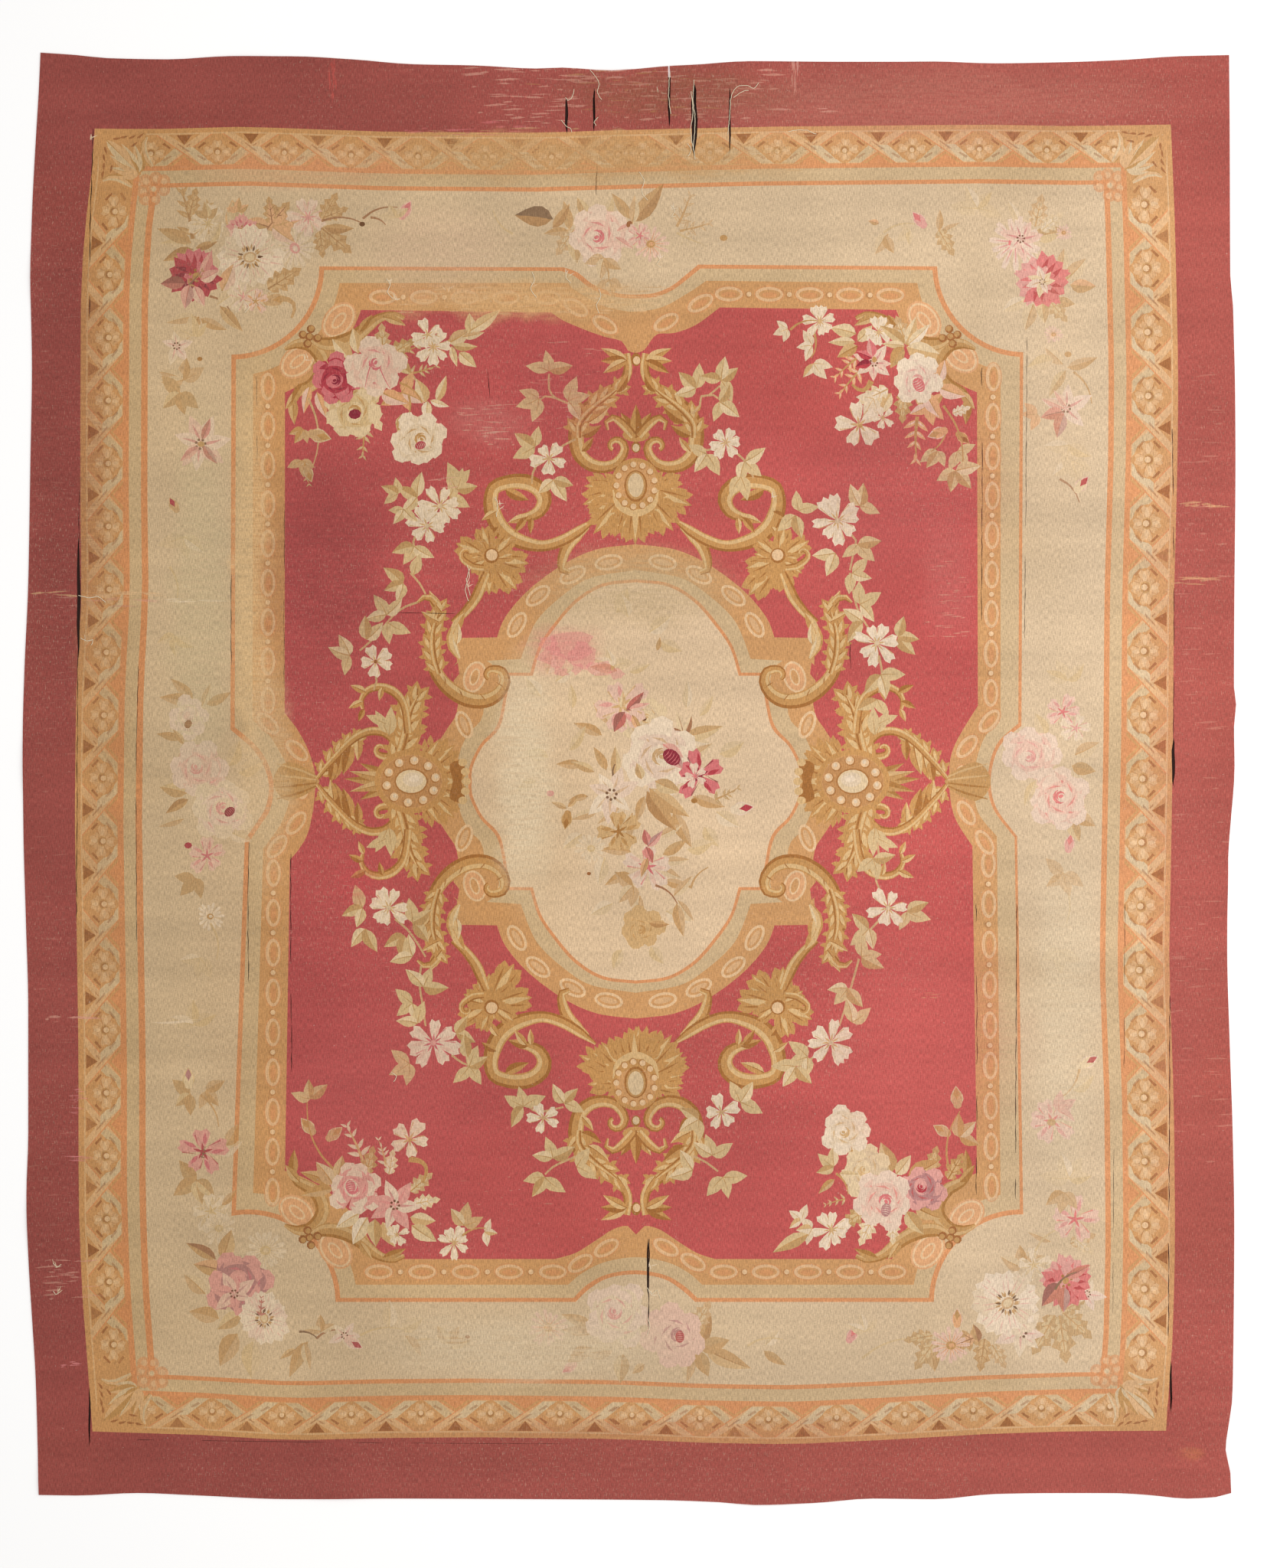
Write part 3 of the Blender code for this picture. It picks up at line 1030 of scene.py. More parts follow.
@dataclass
class GuardBorder:
    """Gold guard border: a lattice of ribbons with rosettes, then orange and khaki stripes."""

    line: BorderLine = field(default_factory=BorderLine)
    lattice_start: Depths = Depths(2.3, 2.0, 2.1, 2.1)
    lattice_end: Depths = Depths(13.9, 12.2, 15.2, 12.2)
    first_orange: Depths = Depths(15.8, 13.7, 16.9, 13.8)
    khaki: Depths = Depths(19.8, 17.8, 20.9, 17.8)
    cream: Depths = Depths(21.9, 19.2, 22.7, 19.2)
    runs: tuple[LatticeRun, ...] = (
        LatticeRun("left", 174.8, -174.5, 17),
        LatticeRun("right", 177.0, -177.0, 17),
        LatticeRun("top", -145.3, -14.5, 6),
        LatticeRun("top", 15.3, 147.3, 6),
        LatticeRun("bottom", -147.5, -11.3, 6),
        LatticeRun("bottom", 12.0, 145.7, 6),
    )

    def draw(self, cartoon: Cartoon) -> None:
        """Adds the border's stripes, lattice and corners.

        Args:
            cartoon: The drawing that is added to.
        """
        cartoon.fill(self.line.ring(Depths(0.0, 0.0, 0.0, 0.0)), Yarn.GOLD)
        outer = self.lattice_start
        thin = Depths(outer.left - 0.5, outer.top - 0.5, outer.right - 0.5, outer.bottom - 0.5)
        cartoon.fill(self.line.ring(thin), Yarn.GOLD_LIGHT)
        cartoon.fill(self.line.ring(outer), Yarn.GOLD)
        self.draw_lattice(cartoon)
        cartoon.fill(self.line.ring(self.lattice_end), Yarn.ORANGE)
        cartoon.fill(self.line.ring(self.first_orange), Yarn.KHAKI)
        cartoon.fill(self.line.ring(self.khaki), Yarn.ORANGE)
        cartoon.fill(self.line.ring(self.cream), Yarn.CREAM)
        for upright in ("left", "right"):
            for level in ("top", "bottom"):
                self.draw_corner(cartoon, upright, level)

    def draw_lattice(self, cartoon: Cartoon) -> None:
        """Adds every run of the lattice.

        Args:
            cartoon: The drawing that is added to.
        """
        for run in self.runs:
            pitch = (run.last - run.first) / run.repeats
            for index in range(run.repeats + 1):
                self.draw_crossing(cartoon, run.side, run.first + pitch * index, abs(pitch))
            for index in range(-1, run.repeats + 1):
                self.draw_rosette(cartoon, run.side, run.first + pitch * (index + 0.5), abs(pitch))

    def put(self, side: str, along: float, outline: Sequence[Point], pitch: float) -> Outline:
        """Moves an outline in shares of the repeat and of the lattice's depth onto a side.

        Args:
            side: Side of the carpet.
            along: Place along that side, in centimetres.
            outline: Points as shares of the repeat and of the lattice's depth.
            pitch: Length of one repeat.

        Returns:
            The outline on the carpet.
        """
        start = getattr(self.lattice_start, side)
        depth = getattr(self.lattice_end, side) - start
        return [self.line.place(side, along + u * pitch, start + v * depth) for u, v in outline]

    def draw_crossing(self, cartoon: Cartoon, side: str, along: float, pitch: float) -> None:
        """Adds two crossing ribbons under a brown triangle.

        Args:
            cartoon: The drawing that is added to.
            side: Side of the carpet.
            along: Place along that side, in centimetres.
            pitch: Length of one repeat.
        """
        for lean in (-1, 1):
            body = [
                (-0.43 * lean, 0.0), (-0.24 * lean, 0.0), (0.47 * lean, 1.0), (0.24 * lean, 1.0),
            ]
            cartoon.fill(self.put(side, along, body, pitch), Yarn.GOLD_LIGHT)
            inner = [
                (-0.02 * lean, 0.42), (0.14 * lean, 0.42),
                (0.50 * lean - 0.06 * lean, 0.97), (0.50 * lean - 0.25 * lean, 0.97),
            ]
            cartoon.fill(self.put(side, along, inner, pitch), Yarn.KHAKI_PALE if lean == 1 else Yarn.KHAKI)
            edge = [
                (body[0][0], 0.0), (body[0][0] + 0.03 * lean, 0.0),
                (body[3][0] + 0.03 * lean, 1.0), (body[3][0], 1.0),
            ]
            cartoon.fill(self.put(side, along, edge, pitch), Yarn.ORANGE)
            shade = [
                (-0.11 * lean, 0.30), (-0.08 * lean, 0.30),
                (0.10 * lean, 0.56), (0.05 * lean, 0.56),
            ]
            cartoon.fill(self.put(side, along, shade, pitch), Yarn.BROWN, 0.5)
        foot = [(-0.17, 1.0), (0.17, 1.0), (0.0, 0.72)]
        cartoon.fill(self.put(side, along, foot, pitch), Yarn.ORANGE)
        top = [(-0.115, 0.02), (0.115, 0.02), (0.0, 0.34)]
        cartoon.fill(
            self.put(side, along, top, pitch), Yarn.BROWN, 0.55 if cartoon.random.random() < 0.3 else 0.9
        )

    def draw_rosette(self, cartoon: Cartoon, side: str, along: float, pitch: float) -> None:
        """Adds the pale rosette between two crossings, with its bead and brown dashes.

        Args:
            cartoon: The drawing that is added to.
            side: Side of the carpet.
            along: Place along that side, in centimetres.
            pitch: Length of one repeat.
        """
        depth = getattr(self.lattice_end, side) - getattr(self.lattice_start, side)
        x, y = self.put(side, along, [(0.0, 0.56)], pitch)[0]
        heading = 0.0 if side in ("top", "bottom") else 90.0
        outward = {"left": 180.0, "right": 0.0, "top": 90.0, "bottom": 270.0}[side]
        size = depth / 11.6
        cartoon.fill(oval(x, y, 11.2 * size, 8.8 * size, heading, 14), Yarn.GOLD)
        for petal in range(8):
            main = petal % 2 == 0
            reach = (5.4 if petal % 4 == 0 else 4.3 if main else 3.7) * size
            spot = Spot(x, y, heading + 45.0 * petal + cartoon.jitter(6.0))
            wide = (3.4 if main else 2.0) * size
            cartoon.fill(spot.put(petal_shape(reach, wide, 0.16)), Yarn.GOLD_LIGHT, 0.9 if main else 0.65)
            if main:
                cartoon.fill(
                    spot.on(0.3 * reach, 0.0, 0.0).put(leaf_shape(0.6 * reach, 0.4 * wide)),
                    Yarn.PEACH_LIGHT, 0.7,
                )
            for lean in (-1, 1):
                shade = spot.on(0.34 * reach, 0.34 * wide * lean, 18.0 * lean)
                cartoon.fill(shade.put(leaf_shape(0.5 * reach, 0.3 * size)), Yarn.BROWN, 0.3)
        cartoon.fill(oval(x, y, 3.6 * size, 3.2 * size, heading, 8), Yarn.OCHRE, 0.8)
        cartoon.fill(oval(x, y, 2.6 * size, 2.6 * size, 0.0, 8), Yarn.BROWN, 0.5)
        off = math.radians(outward + 180.0)
        bead_x, bead_y = x + 0.35 * math.cos(off), y + 0.35 * math.sin(off)
        cartoon.fill(oval(bead_x, bead_y, 1.9 * size, 1.9 * size, 0.0, 8), Yarn.PEACH_LIGHT)
        for lean in (-1, 1):
            dash = [(0.17 * lean, 0.30), (0.28 * lean, 0.46), (0.30 * lean, 0.42), (0.20 * lean, 0.25)]
            cartoon.fill(self.put(side, along, dash, pitch), Yarn.BROWN, 0.7)
            dash = [(0.17 * lean, 0.80), (0.29 * lean, 0.66), (0.31 * lean, 0.70), (0.20 * lean, 0.86)]
            cartoon.fill(self.put(side, along, dash, pitch), Yarn.BROWN, 0.45)

    def draw_corner(self, cartoon: Cartoon, upright: str, level: str) -> None:
        """Adds the leafy fan of one corner and its cluster of berries.

        Args:
            cartoon: The drawing that is added to.
            upright: The corner's upright side, left or right.
            level: The corner's level side, top or bottom.
        """
        x0, y0 = self.line.corner(upright, level, 2.2, 2.0)
        x1, y1 = self.line.corner(upright, level, 14.6, 13.6)
        heading = math.degrees(math.atan2(y1 - y0, x1 - x0))
        reach = math.dist((x0, y0), (x1, y1))
        fan = Spot(x0, y0, heading)
        cartoon.fill(fan.put([(-1.5, 0.0), (10.0, -10.8), (18.5, 0.0), (10.0, 10.8)]), Yarn.GOLD)
        pale = Tones(Yarn.KHAKI_PALE, Yarn.GOLD_LIGHT, Yarn.OCHRE)
        for side in (-1, 1):
            arch = [
                (11.0, 10.2 * side), (11.8, 8.0 * side), (13.6, 6.2 * side), (16.2, 5.2 * side),
                (19.2, 4.6 * side),
            ]
            cartoon.scroll(smooth(fan.put(arch)), (0.8, 2.4, 2.6, 1.2), pale, side)
            for turn, length in ((64, 7.4), (44, 9.8), (22, 11.2), (6, 9.0)):
                leaf = fan.on(17.6, 0.0, 180.0 - side * turn)
                cartoon.leaf(leaf, length, 3.0, pale, side * 1.6)
            for u, v, turn in (
                (3.6, 1.8, 40.0), (5.0, 3.8, 45.0), (7.2, 5.6, 60.0), (9.0, 7.6, 70.0), (9.6, 4.2, 70.0)
            ):
                comma = fan.on(u, v * side, turn * side)
                cartoon.fill(comma.put(leaf_shape(2.8, 0.8, 0.6)), Yarn.BROWN, 0.75)
        cartoon.leaf(fan.on(2.4, 0.0, 0.0), 0.86 * reach, 3.8, pale)
        berries = Spot(*self.line.corner(upright, level, 20.6, 19.4), heading)
        ring = (
            (0.0, 0.0), (2.6, 2.2), (2.6, -2.2), (-1.8, 3.0), (-1.8, -3.0), (0.6, 4.2), (0.6, -4.2),
            (-3.6, 0.0),
        )
        for u, v in ring:
            cartoon.fill(oval(*berries.put([(u, v)])[0], 4.4, 4.4), Yarn.ORANGE, 0.6)
            cartoon.fill(oval(*berries.put([(u + 0.2, v)])[0], 2.2, 2.2, sides=8), Yarn.PEACH_LIGHT, 0.55)
        cartoon.fill(oval(*berries.put([(0.2, 0.0)])[0], 1.5, 1.5, sides=8), Yarn.KHAKI_PALE)


@dataclass(frozen=True)
class FrameLine:
    """One line of the shaped inner frame: four sides, hollow corners and a swelling on each side."""

    left: float
    top: float
    right: float
    bottom: float
    radius: float
    left_bulge: Sequence[Point]
    top_bulge: Sequence[Point]
    right_bulge: Sequence[Point]
    bottom_bulge: Sequence[Point]

    CORNERS = (
        ("left", "bottom", -124.5, -170.8), ("right", "bottom", 128.0, -170.8),
        ("right", "top", 129.1, 167.8), ("left", "top", -129.8, 167.0),
    )

    def corner(self, upright: str, level: str, x: float, y: float) -> Outline:
        """The hollow corner's arc about the frame's outer corner, from its level end to its upright end.

        Args:
            upright: The corner's upright side, left or right.
            level: The corner's level side, top or bottom.
            x: X of the frame's outer corner.
            y: Its y.

        Returns:
            The arc's points.
        """
        edge_x, edge_y = getattr(self, upright), getattr(self, level)
        across = math.copysign(math.sqrt(max(1.0, self.radius ** 2 - (edge_y - y) ** 2)), -x)
        down = math.copysign(math.sqrt(max(1.0, self.radius ** 2 - (edge_x - x) ** 2)), -y)
        start = math.atan2(edge_y - y, across)
        end = math.atan2(down, edge_x - x)
        turn = (end - start + math.pi) % (2 * math.pi) - math.pi
        arc: Outline = []
        for step in range(ARC_STEPS + 1):
            angle = start + turn * step / ARC_STEPS
            arc.append((x + self.radius * math.cos(angle), y + self.radius * math.sin(angle)))
        return arc

    def outline(self) -> Outline:
        """The whole line, anticlockwise from the lower left corner.

        Returns:
            The closed line.
        """
        bottom_left, bottom_right, top_right, top_left = (self.corner(*row) for row in self.CORNERS)
        line = bottom_left[::-1] + smooth(self.bottom_bulge) + bottom_right
        line += smooth(self.right_bulge) + top_right[::-1] + smooth(self.top_bulge) + top_left
        return line + smooth(self.left_bulge)


@dataclass(frozen=True)
class OvalRun:
    """A straight run of the ovals between two middles, in centimetres."""

    x0: float
    y0: float
    x1: float
    y1: float
    count: int


@dataclass
class InnerFrame:
    """Shaped frame round the red field: an orange line, a khaki stripe, and a gold band of ovals."""

    outer: FrameLine = FrameLine(
        -129.9, 167.2, 128.6, -170.8, 28.6,
        (
            (-130.2, 16.0), (-123.5, 10.2), (-119.5, 4.5), (-117.6, -2.5), (-118.8, -9.5), (-121.5, -14.1),
            (-125.5, -19.8),
        ),
        (
            (22.5, 167.8), (18.5, 164.5), (13.8, 160.8), (8.2, 158.5), (2.2, 158.0), (-2.5, 158.2),
            (-6.9, 159.2), (-12.2, 161.5), (-16.8, 165.2), (-21.5, 166.9),
        ),
        ((126.6, -18.8), (119.8, -9.5), (118.0, 0.0), (120.8, 10.5), (128.0, 17.2)),
        (
            (-17.5, -170.8), (-13.0, -166.5), (-6.8, -163.0), (2.2, -161.8), (11.0, -163.2), (17.0, -166.8),
            (21.5, -170.8),
        ),
    )
    khaki: FrameLine = FrameLine(
        -128.4, 166.0, 127.5, -169.5, 30.2,
        (
            (-128.8, 16.8), (-122.0, 11.0), (-118.0, 5.0), (-116.1, -2.2), (-117.2, -10.0), (-120.2, -14.8),
            (-124.0, -20.5),
        ),
        (
            (23.2, 166.5), (19.2, 163.2), (14.2, 159.5), (8.5, 157.2), (2.2, 156.8), (-2.8, 157.0),
            (-7.5, 158.0), (-13.0, 160.2), (-17.8, 164.0), (-22.2, 165.7),
        ),
        ((125.8, -19.2), (118.8, -9.8), (117.0, 0.0), (119.8, 11.0), (127.0, 18.0)),
        (
            (-18.2, -169.5), (-13.8, -165.2), (-7.2, -161.8), (2.2, -160.5), (11.5, -162.0), (17.8, -165.5),
            (22.2, -169.5),
        ),
    )
    band: FrameLine = FrameLine(
        -122.8, 161.8, 121.2, -165.2, 35.6,
        (
            (-123.0, 19.0), (-118.2, 15.0), (-114.2, 9.0), (-111.2, 3.0), (-110.9, -2.2), (-111.2, -8.2),
            (-114.2, -15.5), (-119.5, -22.8),
        ),
        (
            (25.1, 162.5), (19.2, 158.5), (11.0, 154.0), (2.9, 152.5), (-2.5, 152.8), (-10.1, 155.0),
            (-18.8, 160.2), (-20.0, 161.8),
        ),
        ((120.0, -18.8), (113.8, -10.8), (112.4, 0.0), (115.2, 11.9), (121.2, 19.9)),
        (
            (-20.0, -165.2), (-15.5, -161.5), (-8.0, -157.8), (2.2, -156.2), (12.2, -157.8), (19.2, -161.2),
            (23.8, -165.2),
        ),
    )
    field: FrameLine = FrameLine(
        -112.4, 153.0, 113.5, -156.8, 44.5,
        (
            (-112.5, 21.5), (-108.2, 15.8), (-105.0, 9.8), (-103.0, 3.8), (-102.5, -1.0), (-103.0, -8.8),
            (-105.0, -18.0), (-108.2, -23.5), (-110.8, -26.5),
        ),
        (
            (29.5, 153.8), (21.9, 148.2), (14.8, 145.5), (9.5, 145.2), (7.2, 143.2), (5.0, 140.0),
            (2.2, 139.0), (-0.5, 139.8), (-2.5, 142.8), (-8.0, 144.2), (-14.5, 146.5), (-21.5, 149.5),
            (-25.5, 152.2),
        ),
        ((112.0, -22.0), (106.0, -12.0), (104.4, 0.0), (106.0, 10.5), (113.8, 23.8)),
        (
            (-24.2, -156.8), (-17.5, -154.8), (-11.0, -150.8), (-5.5, -147.2), (-0.5, -146.0),
            (2.2, -148.8), (5.0, -146.0), (10.0, -147.2), (15.5, -150.8), (22.0, -154.8), (28.0, -156.8),
        ),
    )
    runs: tuple[OvalRun, ...] = (
        OvalRun(-118.0, 128.0, -118.0, 25.5, 9),
        OvalRun(-116.2, -30.8, -116.5, -134.8, 9),
        OvalRun(118.8, 131.0, 118.0, 28.0, 9),
        OvalRun(117.2, -27.8, 118.2, -133.2, 9),
        OvalRun(-80.5, 157.2, -26.8, 157.0, 5),
        OvalRun(32.5, 158.2, 85.2, 157.8, 5),
        OvalRun(-81.8, -161.0, -25.0, -161.0, 5),
        OvalRun(30.8, -161.0, 85.8, -161.0, 5),
    )
    bulge_ovals: tuple[OvalRun, ...] = (
        OvalRun(-118.0, 18.0, -108.5, 9.2, 2),
        OvalRun(-106.8, -2.2, -106.8, -2.2, 1),
        OvalRun(-108.8, -14.5, -115.0, -22.2, 2),
        OvalRun(117.5, 18.8, 110.2, 10.5, 2),
        OvalRun(108.5, -0.2, 108.5, -0.2, 1),
        OvalRun(110.0, -11.2, 116.0, -20.8, 2),
        OvalRun(-17.5, 153.8, -8.0, 148.2, 2),
        OvalRun(12.0, 149.0, 23.2, 155.2, 2),
        OvalRun(-16.0, -158.2, -7.5, -153.2, 2),
        OvalRun(12.0, -153.0, 20.8, -157.8, 2),
    )

    def draw(self, cartoon: Cartoon) -> None:
        """Adds the frame's stripes and its ovals, and the red field inside it.

        Args:
            cartoon: The drawing that is added to.
        """
        cartoon.fill(self.outer.outline(), Yarn.ORANGE)
        cartoon.fill(self.khaki.outline(), Yarn.KHAKI)
        cartoon.fill(self.band.outline(), Yarn.GOLD)
        cartoon.fill(self.field.outline(), Yarn.FIELD_RED)
        for run in self.runs:
            self.draw_run(cartoon, run, True)
        for run in self.bulge_ovals:
            self.draw_run(cartoon, run, False)
        for x, y, turn in (
            (-94.8, 149.5, 50), (-108.2, 136.2, 40), (96.2, 149.8, -50), (108.0, 138.0, -40),
            (-108.5, -141.5, -40), (-96.0, -154.0, -50), (110.0, -142.8, 40), (97.5, -154.2, 50),
        ):
            self.draw_corner_oval(cartoon, x, y, turn)

    def draw_run(self, cartoon: Cartoon, run: OvalRun, beads: bool) -> None:
        """Adds the ovals of one run, with a bead between each two.

        Args:
            cartoon: The drawing that is added to.
            run: The run's ends and number of ovals.
            beads: Whether beads lie between the ovals.
        """
        heading = math.degrees(math.atan2(run.y1 - run.y0, run.x1 - run.x0)) if run.count > 1 else 90.0
        gap = math.dist((run.x0, run.y0), (run.x1, run.y1)) / max(1, run.count - 1)
        for index in range(run.count):
            t = index / max(1, run.count - 1)
            x, y = run.x0 + (run.x1 - run.x0) * t, run.y0 + (run.y1 - run.y0) * t
            self.draw_oval(cartoon, x, y, heading, 9.2, 4.9)
            if beads and index < run.count - 1:
                dx, dy = (run.x1 - run.x0) / (run.count - 1), (run.y1 - run.y0) / (run.count - 1)
                self.draw_bead(cartoon, x + 0.5 * dx, y + 0.5 * dy, min(1.7, 0.3 * gap))

    def draw_oval(
        self, cartoon: Cartoon, x: float, y: float, heading: float, long: float, wide: float
    ) -> None:
        """Adds one pale ring with an orange middle.

        Args:
            cartoon: The drawing that is added to.
            x: Middle point's x.
            y: Middle point's y.
            heading: Direction of the long axis in degrees.
            long: Full length.
            wide: Full width.
        """
        cartoon.fill(oval(x, y, long + 1.0, wide + 1.0, heading, 16), Yarn.ORANGE, 0.45)
        cartoon.fill(oval(x, y, long, wide, heading, 16), Yarn.PEACH_LIGHT, 0.75)
        cartoon.fill(oval(x + 0.15, y, long - 2.0, wide - 1.9, heading, 14), Yarn.GOLD)
        cartoon.fill(oval(x + 0.1, y - 0.2, long - 4.0, wide - 3.0, heading, 10), Yarn.ORANGE, 0.6)

    def draw_bead(self, cartoon: Cartoon, x: float, y: float, wide: float) -> None:
        """Adds one pale bead with a shaded rim."""
        cartoon.fill(oval(x - 0.2, y - 0.1, wide + 0.7, wide + 0.7, 0.0, 8), Yarn.BROWN, 0.35)
        cartoon.fill(oval(x, y, wide, wide, 0.0, 8), Yarn.PEACH_LIGHT)

    def draw_corner_oval(self, cartoon: Cartoon, x: float, y: float, heading: float) -> None:
        """Adds one large oval of a corner.

        Args:
            cartoon: The drawing that is added to.
            x: Middle point's x.
            y: Middle point's y.
            heading: Direction of the long axis in degrees.
        """
        cartoon.fill(oval(x, y, 13.6, 9.8, heading, 18), Yarn.PEACH)
        cartoon.fill(oval(x, y, 12.4, 8.6, heading, 18), Yarn.PEACH_LIGHT)
        cartoon.fill(oval(x, y, 11.0, 7.2, heading, 18), Yarn.PEACH)
        cartoon.fill(oval(x, y, 6.6, 3.4, heading, 14), Yarn.PEACH_LIGHT)
        cartoon.fill(oval(x, y, 5.0, 2.2, heading, 12), Yarn.PEACH)


@dataclass
class Medallion:
    """Cream medallion in the middle: a gold band of ovals, a khaki stripe and an orange line."""

    x: float = 2.1
    y: float = -0.9
    outer: tuple[tuple[Point, ...], ...] = (
        ((0.0, 77.4), (12.5, 75.8), (23.5, 71.0), (35.0, 62.5), (42.5, 53.8), (45.3, 47.0)),
        ((45.3, 47.0), (58.8, 46.8)),
        ((58.8, 46.8), (58.0, 25.0), (62.0, 16.5), (67.2, 8.5), (68.8, 0.0)),
    )
    khaki: tuple[tuple[Point, ...], ...] = (
        ((0.0, 69.0), (14.5, 66.5), (23.5, 61.0), (31.3, 53.8), (34.8, 47.5), (37.5, 40.0)),
        ((37.5, 40.0), (49.8, 39.3)),
        ((49.8, 39.3), (49.8, 22.0), (54.5, 15.8), (57.5, 9.3), (59.0, 0.0)),
    )
    orange: tuple[tuple[Point, ...], ...] = (
        ((0.0, 66.0), (10.8, 64.6), (19.8, 59.3), (27.1, 51.0), (31.8, 43.8), (34.4, 35.5)),
        ((34.4, 35.5), (42.5, 35.5)),
        ((42.5, 35.5), (43.0, 28.3), (45.3, 18.3), (50.8, 12.0), (54.4, 4.5), (54.5, 0.0)),
    )
    cream: tuple[tuple[Point, ...], ...] = (
        ((0.0, 65.0), (10.5, 63.6), (19.2, 58.4), (26.4, 50.2), (31.0, 43.2), (33.6, 34.5)),
        ((33.6, 34.5), (41.5, 34.5)),
        ((41.5, 34.5), (42.0, 28.0), (44.4, 17.6), (50.0, 11.4), (53.4, 4.2), (53.5, 0.0)),
    )
    ovals: tuple[tuple[float, float, float], ...] = (
        (8.8, 71.5, -11.0), (20.6, 67.4, -28.0), (31.9, 60.6, -38.0), (38.8, 51.1, -58.0),
        (54.5, 31.5, 88.0), (56.0, 18.5, 68.0), (63.0, 6.5, 75.0),
    )

    def around(self, quarter: Sequence[Sequence[Point]]) -> Outline:
        """Mirrors the line of one quarter round the medallion's middle.

        Args:
            quarter: The line of the upper right quarter.

        Returns:
            The closed line.
        """
        line: Outline = []
        for piece in quarter:
            line += smooth(piece)[:-1]
        line.append(quarter[-1][-1])
        upper = line + [(x, -y) for x, y in line[-2::-1]]
        whole = upper + [(-x, y) for x, y in upper[-2:0:-1]]
        return [(self.x + x, self.y + y) for x, y in whole]

    def draw(self, cartoon: Cartoon) -> None:
        """Adds the medallion's stripes and ovals.

        Args:
            cartoon: The drawing that is added to.
        """
        cartoon.fill(self.around(self.outer), Yarn.GOLD)
        cartoon.fill(self.around(self.khaki), Yarn.KHAKI)
        cartoon.fill(self.around(self.orange), Yarn.ORANGE)
        cartoon.fill(self.around(self.cream), Yarn.CREAM_MIDDLE)
        for across in (-1, 1):
            for up in (-1, 1):
                for x, y, turn in self.ovals:
                    place_x, place_y = self.x + across * x, self.y + up * y
                    heading = turn * across * up
                    cartoon.fill(oval(place_x, place_y, 9.6, 5.2, heading, 14), Yarn.PEACH_LIGHT)
                    cartoon.fill(oval(place_x, place_y, 7.8, 3.5, heading, 12), Yarn.GOLD)
                    cartoon.fill(oval(place_x, place_y, 6.0, 2.0, heading, 10), Yarn.PEACH_LIGHT, 0.5)


